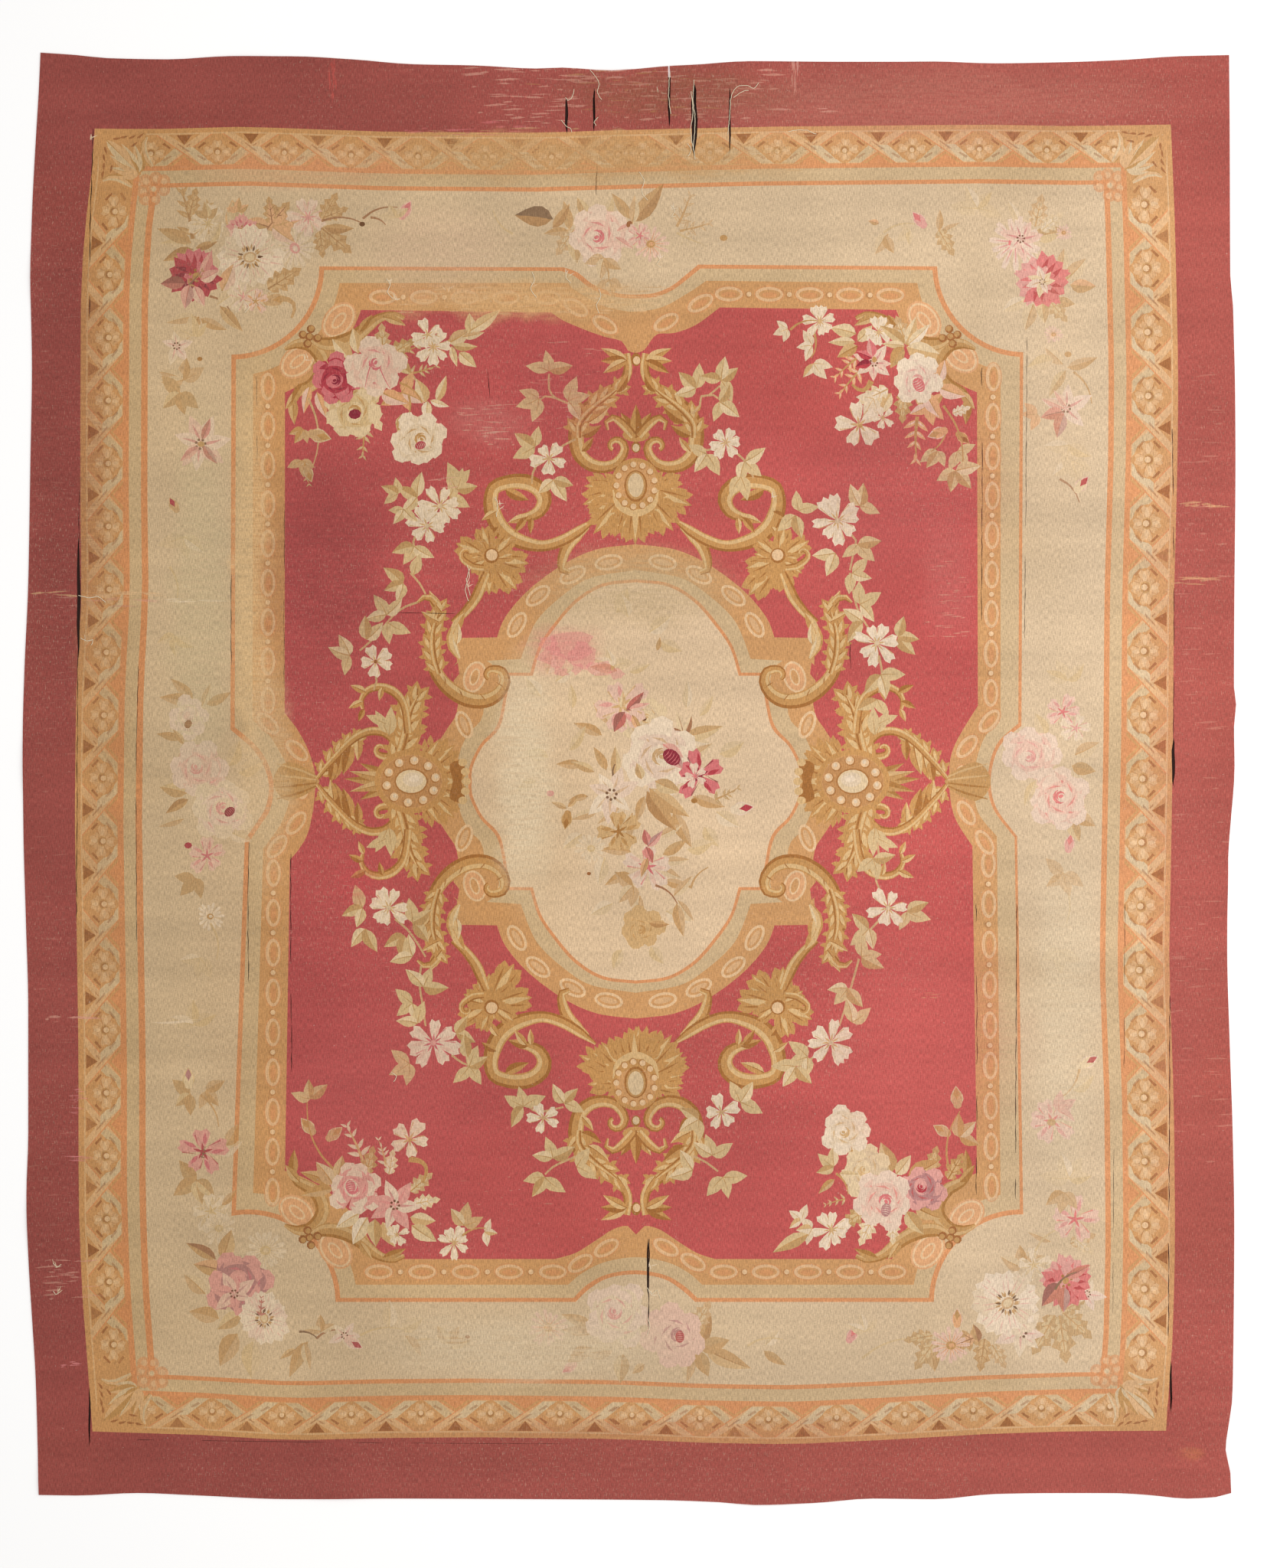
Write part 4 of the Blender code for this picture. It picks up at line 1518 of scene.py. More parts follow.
@dataclass
class TopCartouche:
    """Shell boss under a pendant, held by two scrolls; the lower cartouche is its mirror image."""

    axis: float = 2.25
    boss: Point = (2.1, 95.5)
    lobes: tuple[tuple[float, float, float], ...] = (
        (176, 16.6, 4.2), (188, 14.6, 3.6), (203, 19.0, 4.6), (216, 17.0, 4.4), (231, 18.8, 4.6),
        (244, 16.6, 4.2), (257, 17.4, 4.4), (270, 18.2, 4.2),
    )
    arm: tuple[Point, ...] = (
        (-1.0, 138.8), (-0.4, 134.2), (-1.2, 130.8), (-4.0, 127.8), (-8.0, 125.0), (-12.3, 121.8),
        (-15.6, 118.0), (-17.2, 113.8), (-17.2, 109.5), (-15.8, 105.2), (-12.3, 102.4), (-8.0, 101.7),
        (-4.2, 103.0), (-2.0, 105.8),
    )
    pearls: int = 13

    def draw(self, cartoon: Cartoon) -> None:
        """Adds both halves and then what lies on the axis.

        Args:
            cartoon: The drawing that is added to.
        """
        self.draw_shell(cartoon)
        cartoon.both_sides(self.axis, self.draw_half)
        self.draw_boss(cartoon)
        self.draw_palmette(cartoon)

    def draw_shell(self, cartoon: Cartoon) -> None:
        """Adds the leaves that spread from the boss.

        Args:
            cartoon: The drawing that is added to.
        """
        x, y = self.boss
        for turn, length, width in self.lobes:
            for side in (-1, 1):
                heading = turn if side < 0 else 180.0 - turn
                spot = Spot(x, y, heading + cartoon.jitter(4.0))
                reach = length * (1.02 + cartoon.jitter(0.10))
                cartoon.lobe(spot, reach, 1.5 * width)

    def draw_boss(self, cartoon: Cartoon) -> None:
        """Adds the oval boss in its ring of pearls.

        Args:
            cartoon: The drawing that is added to.
        """
        x, y = self.boss
        cartoon.fill(oval(x, y + 0.4, 16.4, 17.6, sides=24), Yarn.SCROLL)
        cartoon.fill(oval(x, y + 1.6, 13.4, 12.6, sides=24), Yarn.GOLD)
        crescent = [
            (x - 7.4, y - 1.2), (x - 5.8, y - 6.2), (x, y - 8.9), (x + 5.8, y - 6.2), (x + 7.4, y - 1.2)
        ]
        cartoon.band(smooth(crescent), (0.3, 2.0, 2.4, 2.0, 0.3), Yarn.SCROLL_LIGHT)
        cartoon.fill(oval(x, y, 7.6, 10.4, sides=18), Yarn.SCROLL_DARK)
        cartoon.fill(oval(x, y + 0.2, 6.4, 9.2, sides=18), Yarn.OCHRE)
        cartoon.fill(oval(x, y + 0.3, 5.2, 7.9, sides=16), Yarn.KHAKI_PALE)
        for pearl in range(self.pearls):
            angle = 2 * math.pi * (pearl + 0.5) / self.pearls
            px, py = x + 6.3 * math.cos(angle), y + 0.2 + 6.9 * math.sin(angle)
            cartoon.fill(oval(px - 0.15, py - 0.2, 2.4, 2.4, sides=9), Yarn.SCROLL_DARK, 0.7)
            cartoon.fill(oval(px, py, 2.0, 2.0, sides=9), Yarn.PEACH_LIGHT)

    def draw_palmette(self, cartoon: Cartoon) -> None:
        """Adds the small palmette over the boss, the beads and the pendant's tip.

        Args:
            cartoon: The drawing that is added to.
        """
        base = Spot(2.2, 111.2)
        cartoon.fill(Spot(2.2, 111.2).put(oval(1.0, 0.0, 4.6, 9.0)), Yarn.SCROLL)
        for turn, length, bend in ((24, 9.6, 1.2), (-24, 9.6, -1.2), (0, 11.0, 0.0)):
            cartoon.leaf(base.on(0.0, 0.0, turn), length, 3.8, SCROLL_TONES, bend)
        for side in (-1, 1):
            line = smooth(
                base.put(
                    [
                        (0.5, 0.8 * side), (4.6, 4.4 * side), (6.6, 7.6 * side), (5.2, 9.8 * side),
                        (2.6, 9.2 * side),
                    ]
                )
            )
            cartoon.scroll(line, (2.8, 3.0, 2.2, 0.8), SCROLL_TONES, side)
        cartoon.fill(oval(2.2, 108.2, 3.2, 3.8, sides=10), Yarn.SCROLL_DARK)
        cartoon.fill(oval(2.2, 108.0, 2.3, 2.7, sides=10), Yarn.KHAKI_PALE)
        cartoon.fill(oval(2.2, 136.8, 3.4, 4.4, sides=10), Yarn.SCROLL_DARK)
        cartoon.fill(oval(2.4, 136.5, 2.4, 2.8, sides=10), Yarn.PEACH_LIGHT)

    def draw_half(self, cartoon: Cartoon) -> None:
        """Adds the left scroll, its leaves and the curl at the collar.

        Args:
            cartoon: The drawing that is added to.
        """
        line = curl(smooth(self.arm), 3.4, 0.82, 1)
        cartoon.scroll(line, (2.6, 3.0, 3.6, 4.6, 5.2, 4.8, 4.2, 3.4, 2.6, 1.4), SCROLL_TONES, 1)
        upper = smooth(
            [(-16.5, 111.2), (-16.5, 115.2), (-14.5, 118.5), (-10.8, 122.0), (-6.0, 125.5), (-2.5, 128.5)]
        )
        cartoon.acanthus(upper, 5.2, 5, SCROLL_TONES)
        for x, y, turn, length in (
            (-13.5, 116.2, 28.0, 8.6), (-15.5, 111.8, 20.0, 7.4), (-15.5, 106.8, 42.0, 6.0),
            (-4.0, 126.2, 48.0, 6.8),
        ):
            cartoon.leaf(Spot(x, y, turn), length, 0.42 * length, SCROLL_TONES, 0.16 * length)
        for turn, length in ((150.0, 9.4), (176.0, 8.6), (203.0, 8.8)):
            cartoon.leaf(Spot(-0.8, 136.5, turn), length, 3.2, SCROLL_TONES, 0.8)


@dataclass
class SideScrolls:
    """The large scrolls beside the shell, with a clump of leaves that hangs from each."""

    axis: float = 1.75
    scroll: tuple[Point, ...] = (
        (-11.0, 84.8), (-16.0, 81.2), (-21.8, 77.8), (-28.2, 76.0), (-34.8, 77.2), (-40.2, 80.0),
        (-43.5, 84.2), (-45.2, 90.0), (-44.2, 94.8), (-40.5, 96.5), (-36.0, 97.0), (-32.0, 96.2),
        (-28.8, 93.8), (-27.8, 90.5), (-29.5, 87.2), (-33.0, 85.5), (-36.0, 85.2),
    )

    def draw(self, cartoon: Cartoon) -> None:
        """Adds the scrolls on both sides."""
        cartoon.both_sides(self.axis, self.draw_half)

    def draw_half(self, cartoon: Cartoon) -> None:
        """Adds the left scroll, its branch to the medallion, the clump and the stem below it.

        Args:
            cartoon: The drawing that is added to.
        """
        branch = smooth(
            [(-13.5, 82.2), (-17.5, 79.2), (-20.2, 75.8), (-21.8, 71.8), (-22.0, 68.2), (-19.5, 67.2)]
        )
        cartoon.scroll(branch, (1.6, 4.2, 3.8, 3.0, 1.6), SCROLL_TONES, 1)
        cartoon.leaf(Spot(-17.5, 78.8, 200.0), 7.6, 3.0, SCROLL_TONES, 1.2)
        line = smooth(self.scroll)
        cartoon.scroll(
            line, (0.8, 3.2, 3.6, 3.6, 4.6, 5.6, 5.4, 4.4, 4.6, 5.2, 5.2, 4.0, 2.2), SCROLL_TONES, -1
        )
        for x, y, turn, length in (
            (-33.0, 85.5, 190.0, 7.0), (-33.5, 85.2, 225.0, 6.4), (-31.8, 85.2, 258.0, 5.4),
            (-43.5, 87.2, 205.0, 5.6), (-42.8, 82.2, 230.0, 6.4), (-40.5, 94.2, 330.0, 8.4),
        ):
            cartoon.leaf(Spot(x, y, turn), length, 0.40 * length, SCROLL_TONES, 0.12 * length)
        for turn, length in (
            (-120, 8.0), (-98, 11.6), (-76, 9.6), (-54, 14.6), (-34, 10.6), (-12, 13.0), (14, 7.6),
            (40, 9.6), (72, 5.6), (105, 10.0), (128, 7.6), (150, 11.4), (180, 6.4), (208, 8.4),
        ):
            reach = length * (1.0 + cartoon.jitter(0.12))
            cartoon.lobe(Spot(-45.5, 72.0, turn + cartoon.jitter(7.0)), reach, 0.50 * reach)
        cartoon.fill(oval(-45.0, 72.8, 5.0, 5.0, sides=12), Yarn.SCROLL_DARK)
        cartoon.fill(oval(-44.9, 73.0, 3.8, 3.8, sides=12), Yarn.PEACH_LIGHT)
        hook = curl(smooth([(-47.5, 68.8), (-51.0, 69.2), (-54.0, 71.2)]), 2.2, 0.7, -1)
        cartoon.scroll(hook, (2.0, 2.4, 1.8, 1.0), SCROLL_TONES, 1)
        stem = smooth([(-46.5, 67.2), (-48.2, 63.2), (-50.2, 58.8), (-53.5, 54.5), (-57.5, 50.8)])
        cartoon.scroll(stem, (2.4, 3.6, 3.0, 2.4), SCROLL_TONES, 1)


@dataclass
class ShoulderVolutes:
    """A curling acanthus leaf over each of the medallion's four shoulders."""

    across: float = 1.75
    over: float = -0.9
    spine: tuple[Point, ...] = (
        (-61.8, 57.0), (-64.2, 51.2), (-65.0, 45.5), (-64.5, 39.8), (-62.5, 33.8), (-58.5, 29.2),
        (-53.0, 26.0), (-47.0, 25.5), (-42.5, 28.0), (-40.5, 31.8), (-41.5, 35.0), (-44.2, 35.8),
    )

    def draw(self, cartoon: Cartoon) -> None:
        """Adds all four leaves."""
        cartoon.four_ways(self.across, self.over, self.draw_one)

    def draw_one(self, cartoon: Cartoon) -> None:
        """Adds the upper left leaf and its curl.

        Args:
            cartoon: The drawing that is added to.
        """
        cartoon.fill(oval(-50.2, 33.2, 16.0, 13.0, -25.0, 16), Yarn.GOLD)
        cartoon.fill(oval(-50.5, 33.2, 10.6, 7.4, 72.0, 16), Yarn.PEACH_LIGHT)
        cartoon.fill(oval(-50.5, 33.2, 9.2, 6.0, 72.0, 16), Yarn.PEACH)
        cartoon.fill(oval(-50.5, 33.2, 6.0, 3.2, 72.0, 12), Yarn.PEACH_LIGHT)
        cartoon.fill(oval(-50.5, 33.2, 4.8, 2.2, 72.0, 12), Yarn.GOLD)
        cartoon.fill([(-58.0, 36.2), (-56.0, 37.8), (-55.5, 34.2), (-57.5, 31.8)], Yarn.FIELD_RED)
        line = curl(smooth(self.spine), 2.4, 0.5, 1)
        cartoon.scroll(line, (1.2, 3.4, 4.2, 4.2, 4.4, 5.0, 5.0, 4.6, 3.6, 2.8, 1.6), SCROLL_TONES, 1)
        upper = smooth([(-62.2, 34.2), (-64.0, 40.5), (-64.2, 47.2), (-62.8, 52.8), (-61.8, 56.8)])
        cartoon.acanthus(upper, 4.6, 6, SCROLL_TONES)
        inner = smooth([(-55.5, 39.2), (-57.5, 42.8), (-58.0, 46.2), (-56.5, 49.8), (-54.5, 52.8)])
        cartoon.scroll(inner, (1.0, 3.2, 3.4, 2.8, 1.0), CURL_TONES, -1)
        cartoon.leaf(Spot(-57.5, 47.2, 70.0), 8.0, 3.4, CURL_TONES, -1.2)
        cartoon.leaf(Spot(-56.5, 43.8, 78.0), 7.0, 2.8, CURL_TONES, 0.8)
        cartoon.leaf(Spot(-61.2, 54.2, 132.0), 8.2, 3.4, SCROLL_TONES, -1.8)
        cartoon.leaf(Spot(-62.2, 51.2, 158.0), 6.6, 2.6, SCROLL_TONES, -1.0)
        tail = smooth([(-62.8, 56.8), (-64.8, 59.0), (-67.2, 59.2), (-69.2, 57.5)])
        cartoon.scroll(tail, (2.6, 2.4, 1.8, 0.8), SCROLL_TONES, -1)
        for share in (0.42, 0.52, 0.62, 0.72):
            x, y = line[int(share * (len(line) - 1))]
            crease = Spot(x, y, 20.0 + 160.0 * share)
            cartoon.fill(crease.put(leaf_shape(3.0, 0.5, 0.6)), Yarn.SCROLL_DARK, 0.8)


@dataclass
class SideCartouche:
    """Pearled oval between the frame and the medallion, with volutes, plumes and arms to the frame."""

    x: float = -71.2
    y: float = -0.9
    pearls: int = 10

    def draw(self, cartoon: Cartoon) -> None:
        """Adds the fans, both halves and then the oval.

        Args:
            cartoon: The drawing that is added to.
        """
        self.draw_fan(cartoon)
        cartoon.both_ends(self.y, self.draw_half)
        self.draw_oval(cartoon)

    def draw_fan(self, cartoon: Cartoon) -> None:
        """Adds the fan towards the medallion, the leaf towards the frame and the clasp on the frame.

        Args:
            cartoon: The drawing that is added to.
        """
        x, y = self.x, self.y
        for turn, length, width in (
            (0, 19.5, 6.4), (22, 19.0, 5.4), (-22, 19.0, 5.4), (40, 19.0, 4.8), (-40, 19.0, 4.8),
            (56, 17.0, 4.0), (-56, 17.0, 4.0),
        ):
            cartoon.lobe(Spot(x, y, turn), length, 1.35 * width)
        back = [
            (x + 12.6, y + 5.6), (x + 17.6, y + 6.6), (x + 16.4, y), (x + 17.6, y - 6.6),
            (x + 12.6, y - 5.6), (x + 13.6, y),
        ]
        cartoon.fill(smooth(back, closed=True), Yarn.SCROLL_DARK)
        for v in (-6.2, -3.2, 0.0, 3.2, 6.2):
            cartoon.fill(oval(x + 18.0 - 0.03 * v * v, y + v, 3.0, 2.6, sides=9), Yarn.SCROLL_LIGHT)
        for turn, length in ((180, 19.0), (160, 15.0), (200, 15.0), (172, 17.5), (188, 17.5)):
            cartoon.leaf(Spot(x - 3.0, y, turn), length, 3.6, OCHRE_TONES, 0.9 if turn > 180 else -0.9)
        clasp = (x - 31.0, y)
        cartoon.fill(
            smooth(
                [
                    (clasp[0], y + 2.0), (clasp[0] - 9.0, y + 6.4), (clasp[0] - 13.5, y + 2.4),
                    (clasp[0] - 13.5, y - 2.4), (clasp[0] - 9.0, y - 6.4), (clasp[0], y - 2.0),
                ],
                closed=True,
            ),
            Yarn.OCHRE,
        )
        for v in (-3.6, -1.2, 1.2, 3.6):
            streak = [(clasp[0] - 13.0, y + 1.6 * v), (clasp[0] - 5.0, y + v), (clasp[0], y + 0.4 * v)]
            cartoon.band(smooth(streak), (0.3, 0.8, 0.4), Yarn.OCHRE_PALE if v > 0 else Yarn.OCHRE_DARK)

    def draw_oval(self, cartoon: Cartoon) -> None:
        """Adds the pearled oval.

        Args:
            cartoon: The drawing that is added to.
        """
        x, y = self.x, self.y
        cartoon.fill(oval(x, y, 24.0, 21.0, sides=26), Yarn.SCROLL)
        cartoon.fill(oval(x, y, 20.4, 17.4, sides=24), Yarn.GOLD)
        cartoon.fill(oval(x, y, 20.0, 17.0, sides=24), Yarn.SCROLL_DARK, 0.35)
        for pearl in range(self.pearls):
            angle = 2 * math.pi * (pearl + 0.3) / self.pearls
            px, py = x + 8.1 * math.cos(angle), y + 6.9 * math.sin(angle)
            cartoon.fill(oval(px - 0.2, py - 0.2, 3.3, 3.3, sides=10), Yarn.SCROLL_DARK, 0.7)
            cartoon.fill(oval(px, py, 2.8, 2.8, sides=10), Yarn.PEACH_LIGHT)
            cartoon.fill(oval(px + 0.2, py + 0.3, 1.4, 1.4, sides=8), Yarn.CREAM_PALE)
        cartoon.fill(oval(x, y, 11.0, 8.6, sides=18), Yarn.SCROLL_DARK, 0.8)
        cartoon.fill(oval(x, y, 10.0, 7.6, sides=18), Yarn.LEAF_LIGHT)
        cartoon.fill(oval(x + 0.6, y + 0.6, 6.8, 4.8, sides=14), Yarn.CREAM_PALE)
        cartoon.fill(oval(x + 1.0, y + 0.9, 3.4, 2.4, sides=12), Yarn.WHITE)

    def draw_half(self, cartoon: Cartoon) -> None:
        """Adds the upper volute, plume and arm.

        Args:
            cartoon: The drawing that is added to.
        """
        shift = self.x + 71.2
        at = Spot(shift, 0.0, 0.0)
        arm = smooth(
            at.put(
                [
                    (-102.0, 0.0), (-99.0, 3.8), (-95.8, 7.2), (-92.5, 10.8), (-88.8, 13.8), (-84.5, 15.5),
                    (-80.0, 15.0), (-77.0, 12.5), (-76.5, 9.5), (-78.5, 7.2), (-81.2, 7.5),
                ]
            )
        )
        lobes = smooth(at.put([(-101.5, 0.5), (-98.0, 5.0), (-94.0, 9.2), (-90.0, 12.8), (-86.5, 14.8)]))
        cartoon.acanthus(lobes, 4.2, 5, SCROLL_TONES)
        for x, y, turn, length in (
            (-94.0, 8.2, 262.0, 9.0), (-91.0, 10.8, 262.0, 9.8), (-96.5, 5.8, 268.0, 7.4),
            (-88.5, 12.8, 275.0, 7.0),
        ):
            cartoon.leaf(Spot(x + shift, y, turn), length, 0.42 * length, SCROLL_TONES, -0.12 * length)
        cartoon.scroll(curl(arm, 1.9, 0.75, -1), (1.2, 2.0, 2.2, 2.6, 2.8, 2.8, 2.4, 1.4), SCROLL_TONES, 1)
        plume = smooth(
            at.put([(-76.5, 5.2), (-74.5, 9.8), (-73.2, 14.8), (-72.5, 19.2), (-71.0, 23.2), (-69.0, 27.2)])
        )
        cartoon.acanthus(plume, 6.6, 7, SCROLL_TONES)
        hook = smooth(
            at.put(
                [
                    (-72.2, 14.8), (-72.8, 20.8), (-74.2, 25.5), (-77.5, 28.8), (-81.8, 30.0),
                    (-85.5, 28.8), (-87.5, 25.8), (-87.0, 22.8),
                ]
            )
        )
        cartoon.scroll(hook, (2.6, 2.4, 2.6, 3.0, 2.6, 2.0, 1.2), SCROLL_TONES, -1)
        for x, y, turn, length in (
            (-86.0, 28.2, 150.0, 5.6), (-87.0, 25.2, 200.0, 5.2), (-86.5, 22.8, 240.0, 4.6),
            (-80.5, 29.8, 250.0, 4.6),
        ):
            cartoon.leaf(Spot(x + shift, y, turn), length, 0.44 * length, SCROLL_TONES, 0.1 * length)
        for x, y, turn, length in (
            (-78.5, 14.2, 80.0, 9.4), (-79.0, 14.8, 112.0, 8.4), (-79.5, 17.8, 150.0, 7.0)
        ):
            cartoon.plain_leaf(Spot(x + shift, y, turn), length, 0.44 * length, LEAF_TONES, 0.1 * length)


@dataclass
class Scrollwork:
    """All the ochre scrollwork on the red field."""

    top: TopCartouche = field(default_factory=TopCartouche)
    sides: SideScrolls = field(default_factory=SideScrolls)
    volutes: ShoulderVolutes = field(default_factory=ShoulderVolutes)
    left: SideCartouche = field(default_factory=SideCartouche)
    middle_y: float = -0.9

    def draw(self, cartoon: Cartoon) -> None:
        """Adds the scrollwork, the lower half as a mirror image of the upper.

        Args:
            cartoon: The drawing that is added to.
        """
        cartoon.both_ends(self.middle_y, self.sides.draw)
        self.volutes.draw(cartoon)
        cartoon.both_ends(self.middle_y - 0.9, self.top.draw)
        cartoon.both_sides(0.9, self.left.draw)


@dataclass(frozen=True)
class Bloom:
    """One open flower of the garland."""

    x: float
    y: float
    radius: float
    petals: int
    tones: Tones
    heart: Yarn


@dataclass(frozen=True)
class Sprig:
    """A fan of small leaves of the garland."""

    x: float
    y: float
    heading: float
    leaves: int = 3
    length: float = 7.4


@dataclass
class Garland:
    """White blossoms and small pale leaves that wind through the scrollwork."""

    blooms: tuple[Bloom, ...] = (
        Bloom(-26.2, 104.5, 5.4, 5, WHITE_TONES, Yarn.TAN),
        Bloom(31.5, 109.8, 5.0, 6, WHITE_TONES, Yarn.TAN),
        Bloom(-61.8, 89.0, 6.6, 7, WHITE_TONES, Yarn.CREAM),
        Bloom(-66.0, 82.5, 6.0, 6, WHITE_TONES, Yarn.CREAM),
        Bloom(-82.8, 38.2, 5.2, 5, WHITE_TONES, Yarn.BROWN),
        Bloom(68.0, 84.2, 7.4, 8, WHITE_TONES, Yarn.CREAM),
        Bloom(80.8, 44.2, 6.6, 7, WHITE_TONES, Yarn.CREAM),
        Bloom(-78.5, -42.2, 6.4, 7, WHITE_TONES, Yarn.CREAM),
        Bloom(-64.0, -86.2, 7.6, 7, PINK_TONES, Yarn.ROSE_LIGHT),
        Bloom(-28.0, -110.8, 4.8, 5, WHITE_TONES, Yarn.TAN),
        Bloom(84.5, -42.2, 6.0, 6, WHITE_TONES, Yarn.CREAM),
        Bloom(65.8, -86.2, 6.8, 7, WHITE_TONES, Yarn.CREAM),
        Bloom(30.0, -108.8, 5.2, 5, WHITE_TONES, Yarn.TAN),
    )
    sprigs: tuple[Sprig, ...] = (
        Sprig(-26.2, 132.8, 90.0), Sprig(-20.2, 123.2, 20.0), Sprig(-29.2, 124.2, 205.0),
        Sprig(-30.5, 108.2, 150.0, 3), Sprig(-24.8, 97.8, 290.0), Sprig(22.0, 127.2, 135.0, 3),
        Sprig(29.8, 129.8, 60.0, 4), Sprig(29.2, 123.2, 335.0, 3), Sprig(25.5, 106.2, 235.0, 3),
        Sprig(37.5, 103.8, 320.0, 3), Sprig(36.5, 98.8, 255.0, 2), Sprig(-69.0, 91.8, 165.0, 3),
        Sprig(-56.5, 95.8, 70.0, 2), Sprig(-59.0, 91.8, 20.0, 2), Sprig(-70.2, 76.2, 250.0, 3),
        Sprig(-73.5, 63.8, 190.0, 3), Sprig(-70.5, 66.2, 70.0, 1), Sprig(-79.2, 53.2, 110.0, 3),
        Sprig(-79.0, 51.2, 290.0, 2), Sprig(-86.0, 45.2, 60.0, 2), Sprig(-91.0, 40.2, 175.0, 3),
        Sprig(74.5, 76.8, 300.0, 3), Sprig(67.5, 73.8, 220.0, 2), Sprig(55.0, 87.2, 60.0, 2),
        Sprig(54.5, 86.2, 240.0, 2), Sprig(75.0, 88.8, 60.0, 3), Sprig(72.5, 67.2, 330.0, 3),
        Sprig(75.0, 56.8, 30.0, 3), Sprig(76.5, 51.2, 180.0, 2), Sprig(87.5, 46.2, 10.0, 3),
        Sprig(82.0, 34.2, 290.0, 3), Sprig(81.0, 26.2, 250.0, 2), Sprig(-86.8, -42.2, 190.0, 3),
        Sprig(-86.0, -48.8, 250.0, 2), Sprig(-71.0, -47.2, 30.0, 3), Sprig(-73.0, -51.2, 220.0, 2),
        Sprig(-70.5, -58.2, 150.0, 2), Sprig(-67.5, -68.2, 60.0, 3), Sprig(-70.5, -73.2, 210.0, 3),
        Sprig(-69.0, -80.2, 120.0, 2), Sprig(-57.0, -83.2, 20.0, 2), Sprig(-71.5, -92.8, 215.0, 3),
        Sprig(-52.5, -93.8, 340.0, 4), Sprig(-52.5, -91.2, 110.0, 1), Sprig(-34.5, -107.2, 130.0, 4),
        Sprig(-21.5, -106.2, 60.0, 3), Sprig(-25.0, -124.2, 90.0, 3), Sprig(-27.5, -129.8, 250.0, 3),
        Sprig(-17.5, -126.8, 20.0, 2), Sprig(79.5, -25.8, 290.0, 3), Sprig(90.5, -43.2, 330.0, 3),
        Sprig(78.5, -48.8, 220.0, 3), Sprig(75.5, -58.2, 20.0, 3), Sprig(71.5, -68.2, 240.0, 3),
        Sprig(72.5, -79.8, 60.0, 2), Sprig(58.5, -90.8, 200.0, 3), Sprig(54.5, -93.8, 240.0, 3),
        Sprig(36.0, -105.8, 50.0, 3), Sprig(23.0, -111.2, 200.0, 3), Sprig(27.0, -123.2, 90.0, 3),
        Sprig(30.5, -129.8, 290.0, 3), Sprig(21.0, -127.8, 170.0, 2),
    )
    stems: tuple[tuple[Point, ...], ...] = (
        ((-15.8, 119.5), (-19.2, 122.2), (-24.0, 124.2), (-26.2, 127.2), (-26.2, 132.2)),
        ((-24.0, 124.2), (-27.5, 124.8), (-30.0, 123.2)),
        ((20.5, 119.0), (23.0, 121.8), (23.5, 124.8), (26.0, 125.2), (29.5, 128.2)),
        ((23.5, 124.8), (27.5, 125.2), (29.5, 123.8)), ((-17.5, 110.8), (-21.5, 108.8), (-25.0, 105.8)),
        ((-30.0, 102.8), (-31.5, 99.8), (-31.8, 96.2)), ((21.5, 108.8), (25.5, 107.2), (30.0, 108.8)),
        ((34.5, 106.8), (38.5, 102.8), (40.5, 98.2)),
        ((-69.2, 80.5), (-70.5, 77.2), (-69.5, 72.8), (-68.5, 68.8)),
        ((-71.5, 67.2), (-68.5, 63.8), (-66.5, 60.2)),
        ((-69.2, 57.5), (-73.0, 56.2), (-76.5, 53.8), (-79.8, 50.2)),
        ((-81.8, 48.2), (-84.5, 44.8), (-88.0, 41.8)), ((-82.8, 34.8), (-82.5, 31.8), (-83.5, 28.8)),
        ((71.0, 80.8), (74.0, 77.8), (73.0, 72.8), (72.0, 68.0)),
        ((72.0, 67.2), (73.0, 61.2), (75.0, 54.2), (79.0, 47.8)),
        ((81.5, 40.2), (82.5, 34.2), (81.5, 28.0)),
        ((-76.5, -45.8), (-72.5, -49.2), (-69.5, -53.2), (-66.5, -58.2)),
        ((-68.0, -61.2), (-68.5, -66.8), (-67.5, -73.8), (-66.5, -80.8)),
        ((-58.0, -90.2), (-54.5, -92.8), (-50.5, -94.2)),
        ((-32.5, -107.2), (-29.5, -108.8), (-21.5, -107.2)),
        ((-17.0, -123.2), (-21.0, -124.8), (-25.0, -126.8), (-27.5, -129.2)),
        ((21.0, -123.2), (25.0, -125.2), (29.0, -128.2)),
        ((81.0, -20.8), (81.5, -26.8), (80.5, -33.2), (83.5, -38.8)),
        ((82.0, -45.8), (77.5, -50.8), (75.0, -56.8)),
        ((75.0, -58.8), (73.0, -65.8), (71.0, -73.2), (68.5, -80.8)),
        ((61.5, -89.8), (57.0, -93.2), (53.5, -94.8)),
    )

    def draw(self, cartoon: Cartoon) -> None:
        """Adds stems first, then leaves, then blossoms.

        Args:
            cartoon: The drawing that is added to.
        """
        for stem in self.stems:
            cartoon.stem(stem, 0.75, Yarn.TAN)
        for sprig in self.sprigs:
            cartoon.sprig(Spot(sprig.x, sprig.y, sprig.heading), LEAF_TONES, sprig.leaves, sprig.length)
        for bloom in self.blooms:
            spot = Spot(bloom.x, bloom.y, cartoon.random.uniform(0.0, 360.0))
            cartoon.blossom(spot, bloom.petals, 0.97 * bloom.radius, bloom.tones, bloom.heart)


class Kind(Enum):
    """Kinds of motif that a spray is made of."""

    LEAF = "leaf with one shaded half"
    LOBED = "lobed leaf"
    FERN = "fern"
    BLOSSOM = "open flower"
    ROSE = "full rose"
    POPPY = "ragged bloom"
    ANEMONE = "flat bloom with a ring of stamens"
    DAISY = "thin-rayed flower"
    LILY = "pointed petals with specks"
    BUD = "bud with sepals"
    SPRIG = "fan of leaves"
    SPECK = "small spot"
    TWIG = "bare twig"
    HEART = "striped heart of a rose"


